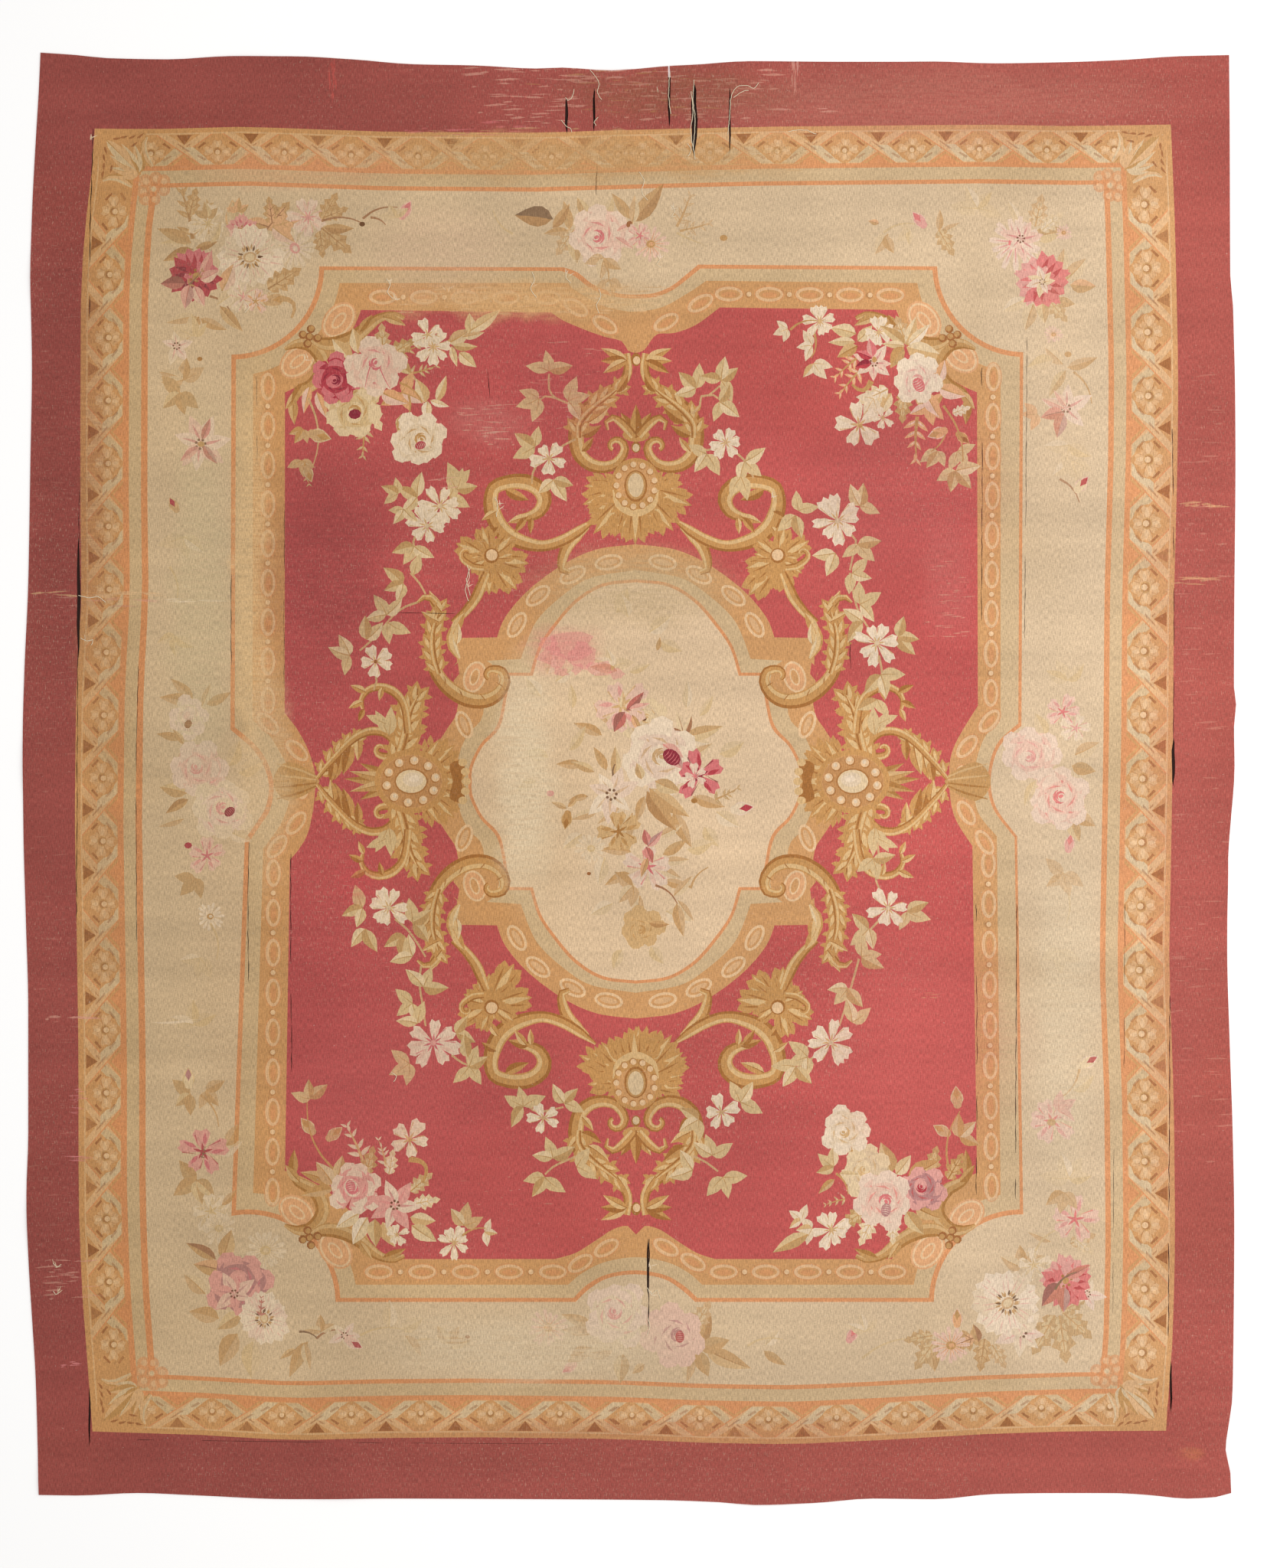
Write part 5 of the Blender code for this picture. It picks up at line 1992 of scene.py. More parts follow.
@dataclass(frozen=True)
class Piece:
    """One motif of a spray.

    size is its length or radius in centimetres, parts its number of petals or lobes, wide its width
    as a share of its length and bend how far its tip swings aside.
    """

    size: float
    tones: Tones
    parts: int
    wide: float
    bend: float


LEAFY = (Kind.LEAF, Kind.LOBED, Kind.FERN, Kind.SPRIG, Kind.TWIG)
USUAL_PARTS = {Kind.LOBED: 4, Kind.FERN: 4, Kind.SPRIG: 3}
USUAL_WIDTHS = {Kind.LEAF: 0.36, Kind.LOBED: 0.62, Kind.FERN: 0.38, Kind.TWIG: 0.9, Kind.SPRIG: 0.4}


@dataclass(frozen=True)
class Sheaf:
    """Motifs of one kind and colouring, each placed by x, y, heading and size."""

    kind: Kind
    tones: Tones
    places: tuple[tuple[float, float, float, float], ...]
    parts: int = 0
    wide: float = 0.0
    bend: float = 0.12

    def pieces(self) -> list[tuple[Piece, Spot]]:
        """Every motif of the sheaf and where it goes.

        Returns:
            Each motif with its spot.
        """
        parts = self.parts or USUAL_PARTS.get(self.kind, 5)
        wide = self.wide or USUAL_WIDTHS.get(self.kind, 0.46)
        return [
            (Piece(size, self.tones, parts, wide, self.bend), Spot(x, y, heading))
            for x, y, heading, size in self.places
        ]


@dataclass
class Spray:
    """A group of motifs, drawn in the order in which they cover each other, its leaves more or less faded."""

    sheaves: Sequence[Sheaf]
    leaves: float = 1.0
    flowers: float = 1.0

    def draw(self, cartoon: Cartoon) -> None:
        """Adds every motif of the spray.

        Args:
            cartoon: The drawing that is added to.
        """
        makers = {
            Kind.LEAF: self.leaf, Kind.LOBED: self.lobed, Kind.FERN: self.fern,
            Kind.BLOSSOM: self.blossom, Kind.ROSE: self.rose, Kind.POPPY: self.poppy,
            Kind.ANEMONE: self.anemone, Kind.DAISY: self.daisy, Kind.LILY: self.lily,
            Kind.BUD: self.bud, Kind.SPRIG: self.sprig, Kind.SPECK: self.speck,
            Kind.TWIG: self.twig, Kind.HEART: self.heart,
        }
        cartoon.veil = len(cartoon.patches) + 1
        for sheaf in self.sheaves:
            cartoon.strength = self.leaves if sheaf.kind in LEAFY else self.flowers
            for piece, spot in sheaf.pieces():
                makers[sheaf.kind](cartoon, piece, spot)
        cartoon.strength = 1.0
        cartoon.veil = 0

    def leaf(self, cartoon: Cartoon, piece: Piece, spot: Spot) -> None:
        """Adds a leaf with one shaded half."""
        cartoon.leaf(spot, piece.size, piece.wide * piece.size, piece.tones, piece.bend * piece.size)

    def lobed(self, cartoon: Cartoon, piece: Piece, spot: Spot) -> None:
        """Adds a lobed leaf."""
        cartoon.lobed_leaf(spot, piece.size, piece.wide * piece.size, piece.parts, piece.tones)

    def fern(self, cartoon: Cartoon, piece: Piece, spot: Spot) -> None:
        """Adds a fern whose leaflets shorten towards its tip.

        Args:
            cartoon: The drawing that is added to.
            piece: The motif's size, yarns and number of parts.
            spot: Where the motif lies and which way it points.
        """
        line = smooth(
            [
                spot.put([(piece.size * t, piece.bend * piece.size * t * t)])[0]
                for t in (0.0, 0.35, 0.7, 1.0)
            ]
        )
        for part in range(piece.parts):
            share = (part + 0.6) / piece.parts
            x, y = line[min(len(line) - 1, int(share * len(line)))]
            reach = piece.wide * piece.size * (1.1 - 0.6 * share)
            for side in (-1, 1):
                leaflet = Spot(x, y, spot.heading + side * (52.0 - 20.0 * share) + cartoon.jitter(7.0))
                cartoon.fill(
                    leaflet.put(leaf_shape(reach, 0.34 * reach, side * 0.1 * reach)), piece.tones.mid
                )
                cartoon.fill(
                    leaflet.put(leaf_shape(0.7 * reach, 0.12 * reach, side * 0.1 * reach)),
                    piece.tones.light,
                )
        cartoon.band(line, (0.09 * piece.size, 0.03 * piece.size), piece.tones.dark)
        cartoon.fill(
            Spot(*line[-2], spot.heading).put(leaf_shape(0.22 * piece.size, 0.09 * piece.size)),
            piece.tones.mid,
        )

    def blossom(self, cartoon: Cartoon, piece: Piece, spot: Spot) -> None:
        """Adds an open flower."""
        cartoon.blossom(spot, piece.parts, piece.size, piece.tones, piece.tones.dark)

    def rose(self, cartoon: Cartoon, piece: Piece, spot: Spot) -> None:
        """Adds a full rose."""
        cartoon.rose(spot, piece.size, piece.tones)

    def heart(self, cartoon: Cartoon, piece: Piece, spot: Spot) -> None:
        """Adds the dark heart of a rose with pale stripes across it.

        Args:
            cartoon: The drawing that is added to.
            piece: The motif's size, yarns and number of parts.
            spot: Where the motif lies and which way it points.
        """
        cartoon.fill(spot.put(oval(0.0, 0.0, 2 * piece.size, 1.5 * piece.size, sides=12)), piece.tones.dark)
        for stripe in range(piece.parts):
            u = piece.size * (-0.8 + 1.6 * (stripe + 0.5) / piece.parts)
            reach = 0.72 * math.sqrt(max(0.0, piece.size ** 2 - u * u))
            line = [(u, -reach), (u + 0.1 * piece.size, 0.0), (u, 0.9 * reach)]
            cartoon.stroke(spot, smooth(line, piece.size), (0.05, 0.10 * piece.size, 0.05), piece.tones.light)

    def poppy(self, cartoon: Cartoon, piece: Piece, spot: Spot) -> None:
        """Adds a bloom of ragged petals, light at one side and dark at the other.

        Args:
            cartoon: The drawing that is added to.
            piece: The motif's size, yarns and number of parts.
            spot: Where the motif lies and which way it points.
        """
        size = piece.size
        for petal in range(piece.parts):
            turn = 360.0 * petal / piece.parts + cartoon.jitter(9.0)
            reach = size * (0.92 + cartoon.jitter(0.12))
            width = 2.3 * size * math.sin(math.pi / piece.parts)
            lit = math.cos(math.radians(turn - 60.0)) > 0.15
            base = spot.on(0.0, 0.0, turn)
            ragged = [
                (0.0, 0.0), (0.42 * reach, -0.40 * width), (0.86 * reach, -0.50 * width),
                (0.80 * reach, -0.24 * width), (1.02 * reach, -0.16 * width), (0.90 * reach, 0.02 * width),
                (1.04 * reach, 0.18 * width), (0.84 * reach, 0.26 * width), (0.90 * reach, 0.50 * width),
                (0.42 * reach, 0.42 * width),
            ]
            cartoon.fill(base.put(ragged), piece.tones.light if lit else piece.tones.mid)
            for side in (-0.26, 0.0, 0.27):
                streak = base.on(0.18 * reach, side * 0.5 * width, side * 40.0)
                shade = piece.tones.mid if lit else piece.tones.dark
                cartoon.fill(streak.put(leaf_shape(0.66 * reach, 0.13 * width)), shade)
        for petal in range(5):
            inner = spot.on(0.06 * size, 0.0, 72.0 * petal + 30.0 + cartoon.jitter(10.0))
            cartoon.fill(
                inner.put(petal_shape(0.52 * size, 0.46 * size, 0.2)),
                piece.tones.mid if petal % 2 else piece.tones.light,
            )
        cartoon.fill(spot.put(oval(0.0, 0.0, 0.30 * size, 0.24 * size, sides=9)), Yarn.OCHRE)
        for dot in range(6):
            angle = math.radians(60.0 * dot + 10.0)
            place = (0.24 * size * math.cos(angle), 0.20 * size * math.sin(angle))
            cartoon.fill(spot.put(oval(*place, 0.12 * size, 0.12 * size, sides=6)), Yarn.OCHRE_DARK)

    def anemone(self, cartoon: Cartoon, piece: Piece, spot: Spot) -> None:
        """Adds a broad flat bloom with a ring of stamens.

        Args:
            cartoon: The drawing that is added to.
            piece: The motif's size, yarns and number of parts.
            spot: Where the motif lies and which way it points.
        """
        size = piece.size
        for ring, petals in ((1.0, 9), (0.78, 8)):
            for petal in range(petals):
                turn = 360.0 * petal / petals + 20.0 * ring + cartoon.jitter(6.0)
                base = spot.on(0.0, 0.0, turn)
                reach = ring * size * (1.0 + cartoon.jitter(0.10))
                shade = piece.tones.light if petal % 3 else piece.tones.mid
                cartoon.fill(base.put(petal_shape(reach, 0.66 * reach, 0.13)), shade)
                for lean in (-0.18, 0.16):
                    crease = base.on(0.40 * reach, lean * 0.4 * reach, lean * 20.0)
                    cartoon.fill(crease.put(leaf_shape(0.50 * reach, 0.05 * reach)), piece.tones.dark, 0.55)
        for lash in range(22):
            angle = 360.0 * lash / 22 + cartoon.jitter(5.0)
            start = spot.on(0.0, 0.0, angle)
            inner = 0.20 * size * (1.0 + cartoon.jitter(0.15))
            shade = Yarn.OCHRE if lash % 3 else Yarn.UMBER
            stamen = start.on(inner, 0.0, cartoon.jitter(20.0))
            cartoon.fill(stamen.put(leaf_shape(0.18 * size, 0.065 * size)), shade, 0.9)
        cartoon.fill(spot.put(oval(0.0, 0.0, 0.40 * size, 0.32 * size, sides=12)), Yarn.OCHRE, 0.75)
        cartoon.fill(spot.put(oval(0.0, 0.0, 0.28 * size, 0.22 * size, sides=10)), Yarn.LEAF_LIGHT)

    def daisy(self, cartoon: Cartoon, piece: Piece, spot: Spot) -> None:
        """Adds a flower of thin rays.

        Args:
            cartoon: The drawing that is added to.
            piece: The motif's size, yarns and number of parts.
            spot: Where the motif lies and which way it points.
        """
        for ray in range(3 * piece.parts):
            base = spot.on(0.0, 0.0, 360.0 * ray / (3 * piece.parts) + cartoon.jitter(5.0))
            reach = piece.size * (1.0 + cartoon.jitter(0.16))
            cartoon.fill(base.put(petal_shape(reach, 0.22 * piece.size, 0.06)), piece.tones.light)
            cartoon.fill(base.put(leaf_shape(0.8 * reach, 0.06 * piece.size)), piece.tones.mid)
        cartoon.fill(
            spot.put(oval(0.0, 0.0, 0.52 * piece.size, 0.44 * piece.size, sides=11)), piece.tones.dark
        )
        cartoon.fill(
            spot.put(oval(0.03 * piece.size, 0.04, 0.30 * piece.size, 0.24 * piece.size, sides=9)),
            piece.tones.mid,
        )

    def lily(self, cartoon: Cartoon, piece: Piece, spot: Spot) -> None:
        """Adds a bloom of pointed petals with a speckled middle.

        Args:
            cartoon: The drawing that is added to.
            piece: The motif's size, yarns and number of parts.
            spot: Where the motif lies and which way it points.
        """
        for petal in range(piece.parts):
            base = spot.on(0.0, 0.0, 360.0 * petal / piece.parts + cartoon.jitter(12.0))
            reach = piece.size * (1.0 + cartoon.jitter(0.18))
            cartoon.fill(
                base.put(leaf_shape(reach, 0.50 * reach, 0.1 * reach)),
                piece.tones.light if petal % 2 else piece.tones.mid,
            )
            cartoon.fill(
                base.put(leaf_shape(0.7 * reach, 0.10 * reach, 0.1 * reach)), piece.tones.dark, 0.6
            )
        for dot in range(7):
            angle = math.radians(51.0 * dot)
            place = (0.17 * piece.size * math.cos(angle), 0.17 * piece.size * math.sin(angle))
            cartoon.fill(
                spot.put(oval(*place, 0.11 * piece.size, 0.11 * piece.size, sides=6)), Yarn.UMBER, 0.9
            )

    def bud(self, cartoon: Cartoon, piece: Piece, spot: Spot) -> None:
        """Adds a closed bud whose tip shows the petals.

        Args:
            cartoon: The drawing that is added to.
            piece: The motif's size, yarns and number of parts.
            spot: Where the motif lies and which way it points.
        """
        size = piece.size
        cartoon.fill(spot.put(leaf_shape(size, 0.62 * size)), piece.tones.light)
        cartoon.fill(
            spot.on(0.28 * size, 0.0, 0.0).put(leaf_shape(0.66 * size, 0.34 * size)), piece.tones.dark
        )
        for side in (-1, 1):
            sepal = spot.on(0.0, 0.0, side * 26.0)
            cartoon.fill(
                sepal.put(leaf_shape(0.72 * size, 0.24 * size, -side * 0.12 * size)), piece.tones.mid
            )
        cartoon.fill(
            spot.on(0.1 * size, 0.0, 0.0).put(oval(0.0, 0.0, 0.36 * size, 0.40 * size, sides=9)),
            piece.tones.mid,
        )

    def sprig(self, cartoon: Cartoon, piece: Piece, spot: Spot) -> None:
        """Adds a fan of leaves."""
        cartoon.sprig(spot, piece.tones, piece.parts, piece.size, 150.0 * piece.wide)

    def speck(self, cartoon: Cartoon, piece: Piece, spot: Spot) -> None:
        """Adds a small spot."""
        cartoon.fill(spot.put(oval(0.0, 0.0, piece.size, 0.8 * piece.size, sides=8)), piece.tones.dark)

    def twig(self, cartoon: Cartoon, piece: Piece, spot: Spot) -> None:
        """Adds a bare curved twig.

        Args:
            cartoon: The drawing that is added to.
            piece: The motif's size, yarns and number of parts.
            spot: Where the motif lies and which way it points.
        """
        knots = [
            (piece.size * t, piece.bend * piece.size * (4 * t * (1 - t)))
            for t in (0.0, 0.25, 0.5, 0.75, 1.0)
        ]
        line = smooth(spot.put(knots), 1.4)
        cartoon.band(line, (0.9 * piece.wide, 0.6 * piece.wide, 0.35 * piece.wide), piece.tones.dark)


RUST_TONES = Tones(Yarn.PEACH, Yarn.OCHRE, Yarn.BROWN)
PEACH_TONES = Tones(Yarn.BLUSH, Yarn.PEACH, Yarn.OCHRE)
DUSTY_TONES = Tones(Yarn.ROSE_LIGHT, Yarn.MAUVE, Yarn.CRIMSON)
OLIVE_TONES = Tones(Yarn.LEAF, Yarn.LEAF_DARK, Yarn.OCHRE)
GHOST_TONES = Tones(Yarn.CREAM_PALE, Yarn.KHAKI_PALE, Yarn.LEAF)
SALMON_TONES = Tones(Yarn.BLUSH, Yarn.ROSE_LIGHT, Yarn.ROSE)
STREAK_TONES = Tones(Yarn.BLUSH_PALE, Yarn.ROSE_LIGHT, Yarn.CRIMSON)

FIELD_BOUQUETS = (
    Sheaf(Kind.LOBED, OCHRE_TONES, ((-102.5, 136.8, 300, 12), (104.0, -130.8, 60, 10))),
    Sheaf(Kind.LEAF, PEACH_TONES, ((-104.2, 128.0, 250, 9), (-102.0, 126.2, 285, 9.5))),
    Sheaf(
        Kind.LEAF, OCHRE_TONES, ((-106.5, 129.2, 235, 8), (93.5, 125.8, 300, 8.4), (-96.0, -132.2, 155, 12))
    ),
    Sheaf(Kind.TWIG, Tones(Yarn.TAN, Yarn.TAN, Yarn.TAN), ((-104.8, 124.2, 272, 24),)),
    Sheaf(
        Kind.SPRIG, FADED_TONES,
        ((-106.2, 114.2, 240, 5), (-107.0, 104.2, 280, 5.2), (107.5, -117.2, 40, 7)),
    ),
    Sheaf(Kind.FERN, FADED_TONES, (
        (-106.0, 103.2, 275, 7), (-74.5, 138.8, 20, 7.6), (-71.5, 132.2, 10, 8.6), (-86.0, 115.2, 258, 9.6),
        (75.0, -131.2, 100, 9),
    )),
    Sheaf(Kind.BUD, FADED_TONES, (
        (-104.5, 112.8, 345, 7.6), (-105.5, 101.8, 290, 5.4), (-103.0, -115.8, 130, 6.6),
        (-98.5, -117.8, 40, 6.4), (107.2, -107.2, 95, 7), (104.5, -116.2, 150, 6.2),
    )),
    Sheaf(Kind.LEAF, CREAM_TONES, (
        (-91.0, 136.8, 125, 9), (-88.5, 138.8, 95, 8.4), (-66.5, 122.8, 105, 8.4), (-65.8, 123.2, 260, 6.4),
        (85.5, 125.8, 235, 8), (-71.5, -143.2, 345, 8.4), (-85.5, -143.2, 235, 10), (-88.0, -141.8, 205, 9),
        (-80.5, -144.8, 290, 9),
    ), wide=0.56),
    Sheaf(Kind.LOBED, FADED_TONES, ((-80.5, 138.8, 92, 10), (-71.5, -134.8, 40, 9.6))),
    Sheaf(Kind.LOBED, OLIVE_TONES, (
        (-78.5, 138.2, 30, 10.5), (89.5, 126.2, 268, 10.4), (-86.0, -129.2, 75, 9.8),
        (98.0, -129.2, 75, 9.8),
    )),
    Sheaf(
        Kind.LEAF, OLIVE_TONES,
        ((-76.5, 137.2, 310, 7.8), (-83.0, -143.8, 265, 9), (90.5, -141.2, 300, 9.4)), wide=0.56,
    ),
    Sheaf(Kind.SPRIG, PEACH_TONES, ((-74.5, 126.2, 320, 7.2), (97.5, 122.2, 300, 6.4)), parts=4),
    Sheaf(Kind.LEAF, PEACH_TONES, (
        (-81.0, 126.2, 330, 9.4), (100.0, 129.2, 62, 8), (101.0, 127.8, 335, 9.4), (97.0, 125.8, 292, 9),
    ), wide=0.56),
    Sheaf(Kind.LEAF, CREAM_TONES, ((-63.0, 123.2, 62, 9), (-65.0, 123.5, 335, 6.6))),
    Sheaf(Kind.TWIG, FADED_TONES, (
        (-75.0, 129.2, 318, 10), (-72.0, 125.2, 262, 9), (-60.5, 141.8, 16, 10), (-96.2, -127.8, 112, 24),
        (104.5, -128.2, 80, 20),
    )),
    Sheaf(Kind.BUD, OLIVE_TONES, ((-73.8, 118.5, 250, 5.6),)),
    Sheaf(Kind.LEAF, FADED_TONES, ((-59.0, 142.2, 25, 8.6), (-96.5, -132.8, 120, 9.6)), wide=0.56),
    Sheaf(Kind.LEAF, FADED_TONES, ((-54.5, 144.2, 5, 7.4), (-96.5, -133.8, 185, 11))),
    Sheaf(Kind.LEAF, LEAF_TONES, (
        (-52.0, 145.2, 85, 6.8), (-55.5, 139.2, 312, 7.4), (74.0, 145.2, 160, 8.6), (74.5, 142.8, 40, 7),
        (-95.5, -130.8, 70, 8), (-71.0, -145.8, 320, 9.6), (85.5, -128.8, 102, 10.6), (87.0, -129.2, 45, 8),
    ), wide=0.56),
    Sheaf(Kind.LEAF, LEAF_TONES, (
        (-52.0, 146.2, 28, 12), (-57.5, 141.2, 352, 8), (-58.0, 141.2, 278, 7), (73.8, 142.5, 174, 8.8),
    )),
    Sheaf(
        Kind.BLOSSOM, WHITE_TONES,
        ((-64.0, 141.0, 10, 5.4), (62.2, 149.3, 20, 4.8), (-57.2, -151.5, 15, 5)), parts=7,
    ),
    Sheaf(Kind.BLOSSOM, WHITE_TONES, ((-65.8, 145.0, 40, 4.4), (-75.8, -148.8, 20, 3.4))),
    Sheaf(Kind.LOBED, CREAM_TONES, (
        (-90.0, 123.8, 222, 12), (-87.0, 124.2, 300, 12.4), (-91.5, 123.2, 262, 11.6),
        (84.5, 127.2, 205, 11), (-78.5, -129.2, 80, 8.4), (-70.5, -138.8, 10, 9), (86.0, -143.8, 270, 8.4),
    )),
    Sheaf(Kind.ROSE, Tones(Yarn.LEAF_LIGHT, Yarn.LEAF, Yarn.OCHRE), ((-90.0, 120.8, 250, 8.4),)),
    Sheaf(Kind.LEAF, OLIVE_TONES, ((-96.0, 122.8, 20, 8.6),)),
    Sheaf(Kind.SPECK, CRIMSON_TONES, ((-89.6, 119.0, 8, 4.2),)),
    Sheaf(Kind.ROSE, CRIMSON_TONES, ((-95.5, 130.8, 200, 6.8),)),
    Sheaf(Kind.ROSE, PINK_TONES, ((-82.8, 134.5, 60, 8.2),)),
    Sheaf(Kind.LEAF, PINK_TONES, ((-84.5, 134.8, 250, 8), (-81.5, 134.2, 290, 8.2)), wide=0.56),
    Sheaf(Kind.ROSE, Tones(Yarn.WHITE, Yarn.CREAM_PALE, Yarn.OCHRE), ((-69.0, 110.8, 330, 7.6),)),
    Sheaf(Kind.HEART, STREAK_TONES, ((-68.2, 108.8, 20, 1.8),)),
    Sheaf(Kind.SPRIG, LEAF_TONES, (
        (-75.2, 92.8, 150, 6), (-73.5, 88.2, 250, 5.4), (-56.5, 94.2, 60, 7), (100.8, 107.2, 250, 6.2),
        (107.0, 107.2, 310, 6.4), (-104.0, -104.8, 110, 6.6),
    )),
    Sheaf(
        Kind.LEAF, OCHRE_TONES, ((74.5, 141.2, 202, 7.6), (91.0, -129.8, 20, 11.4), (93.5, -139.8, 328, 9)),
        wide=0.56,
    ),
    Sheaf(
        Kind.FERN, PEACH_TONES, ((75.0, 137.8, 215, 10), (76.0, 133.8, 222, 10.4), (94.0, 118.2, 262, 13.6))
    ),
    Sheaf(Kind.SPRIG, WHITE_TONES, (
        (60.0, 141.2, 170, 5.6), (60.0, 135.8, 300, 6), (52.0, 146.8, 200, 4.6), (80.0, 124.2, 230, 6.4),
        (-47.5, -147.8, 350, 4.6), (56.5, -144.2, 140, 5),
    )),
    Sheaf(Kind.TWIG, FADED_TONES, ((60.5, 145.2, 262, 8), (52.5, 146.5, 20, 9), (-54.5, -149.2, 18, 8))),
    Sheaf(Kind.BLOSSOM, WHITE_TONES, ((81.5, 145.8, 15, 4.8),), parts=7),
    Sheaf(Kind.LOBED, FADED_TONES, ((90.5, 141.8, 110, 10),)),
    Sheaf(Kind.LEAF, LEAF_TONES, ((90.0, 142.0, 138, 10.2), (90.0, 141.2, 168, 7.6))),
    Sheaf(Kind.LEAF, CREAM_TONES, ((90.2, 142.0, 62, 9.6), (91.0, 141.8, 36, 9.6))),
    Sheaf(Kind.LEAF, OLIVE_TONES, ((89.5, 141.0, 232, 8.2),), wide=0.56),
    Sheaf(Kind.LEAF, CREAM_TONES, ((90.5, 140.8, 342, 11),), wide=0.56),
    Sheaf(Kind.TWIG, OLIVE_TONES, ((79.0, 129.8, 190, 6.4), (-72.0, -124.2, 300, 9)), wide=2.2, bend=0.4),
    Sheaf(Kind.TWIG, PEACH_TONES, ((102.5, 121.8, 284, 24), (103.5, 114.2, 236, 9))),
    Sheaf(Kind.BUD, PEACH_TONES, ((103.5, 113.8, 200, 6.6),)),
    Sheaf(Kind.BUD, RUST_TONES, ((107.0, 112.8, 320, 5.4),)),
    Sheaf(Kind.SPRIG, LEAF_TONES, ((106.5, 100.8, 285, 7.6),), parts=4),
    Sheaf(Kind.LOBED, WHITE_TONES, ((105.5, 119.2, 20, 6.4),)),
    Sheaf(Kind.BLOSSOM, WHITE_TONES, ((75.0, 115.5, 100, 6.6), (82.8, 117.8, 40, 3.2))),
    Sheaf(Kind.SPECK, OLIVE_TONES, ((75.5, 115.2, 20, 1.6),)),
    Sheaf(Kind.LILY, PINK_TONES, ((79.8, 135.8, 150, 6.6),), parts=7),
    Sheaf(Kind.LEAF, CRIMSON_TONES, (
        (79.2, 137.2, 150, 5.6), (79.0, 135.8, 188, 5.4),
    ), wide=0.56),
    Sheaf(Kind.LEAF, SALMON_TONES, ((79.5, 137.8, 95, 6),), wide=0.56),
    Sheaf(Kind.SPECK, OLIVE_TONES, ((80.0, 136.8, 90, 2),)),
    Sheaf(Kind.ROSE, Tones(Yarn.WHITE, Yarn.BLUSH_PALE, Yarn.ROSE_LIGHT), ((94.0, 131.0, 240, 7.2),)),
    Sheaf(Kind.HEART, Tones(Yarn.BLUSH_PALE, Yarn.ROSE, Yarn.ROSE), ((94.5, 128.5, 300, 2.5),)),
    Sheaf(Kind.FERN, WHITE_TONES, ((-87.0, -124.8, 108, 12), (-79.5, -125.8, 100, 8))),
    Sheaf(Kind.BLOSSOM, WHITE_TONES, ((-71.8, -117.8, 60, 6),)),
    Sheaf(Kind.SPECK, OLIVE_TONES, ((-71.5, -118.0, 60, 1.4),)),
    Sheaf(Kind.ROSE, BLUSH_TONES, ((-89.5, -134.2, 120, 7.2),)),
    Sheaf(Kind.HEART, Tones(Yarn.BLUSH_PALE, Yarn.ROSE, Yarn.ROSE), ((-91.0, -133.2, 100, 2.2),)),
    Sheaf(
        Kind.LILY, BLUSH_TONES, ((-76.5, -139.2, 200, 8),), parts=7
    ),
    Sheaf(Kind.SPRIG, FADED_TONES, ((-54.0, -146.2, 80, 7.4),)),
    Sheaf(Kind.ROSE, Tones(Yarn.LEAF_LIGHT, Yarn.CREAM, Yarn.OCHRE_PALE), ((77.0, -128.8, 80, 7.4),)),
    Sheaf(Kind.SPRIG, LEAF_TONES, ((67.0, -126.8, 150, 6.6),)),
    Sheaf(Kind.LEAF, FADED_TONES, ((67.0, -130.8, 215, 7),)),
    Sheaf(Kind.LEAF, LEAF_TONES, ((68.5, -128.8, 350, 6.6),)),
    Sheaf(Kind.TWIG, FADED_TONES, ((67.5, -128.8, 300, 8), (72.5, -121.8, 60, 7))),
    Sheaf(Kind.FERN, FADED_TONES, ((70.5, -137.2, 190, 6.4),)),
    Sheaf(Kind.LOBED, OLIVE_TONES, ((77.0, -140.8, 215, 10),)),
    Sheaf(Kind.LOBED, CREAM_TONES, ((79.5, -143.2, 245, 10.4),)),
    Sheaf(Kind.ROSE, DUSTY_TONES, ((96.0, -134.0, 100, 6.6),)),
    Sheaf(Kind.ROSE, PINK_TONES, ((82.8, -137.2, 290, 8.4),)),
    Sheaf(Kind.HEART, Tones(Yarn.BLUSH_PALE, Yarn.MAUVE, Yarn.MAUVE), ((83.8, -140.8, 80, 2.2),)),
    Sheaf(Kind.ROSE, WHITE_TONES, ((71.0, -115.2, 160, 6.9),)),
    Sheaf(Kind.BLOSSOM, WHITE_TONES, ((66.0, -147.2, 30, 5.6),), parts=7),
    Sheaf(Kind.SPRIG, WHITE_TONES, ((60.0, -146.8, 180, 5.4),)),
    Sheaf(Kind.LEAF, OLIVE_TONES, ((58.5, -148.8, 200, 13),)),
)

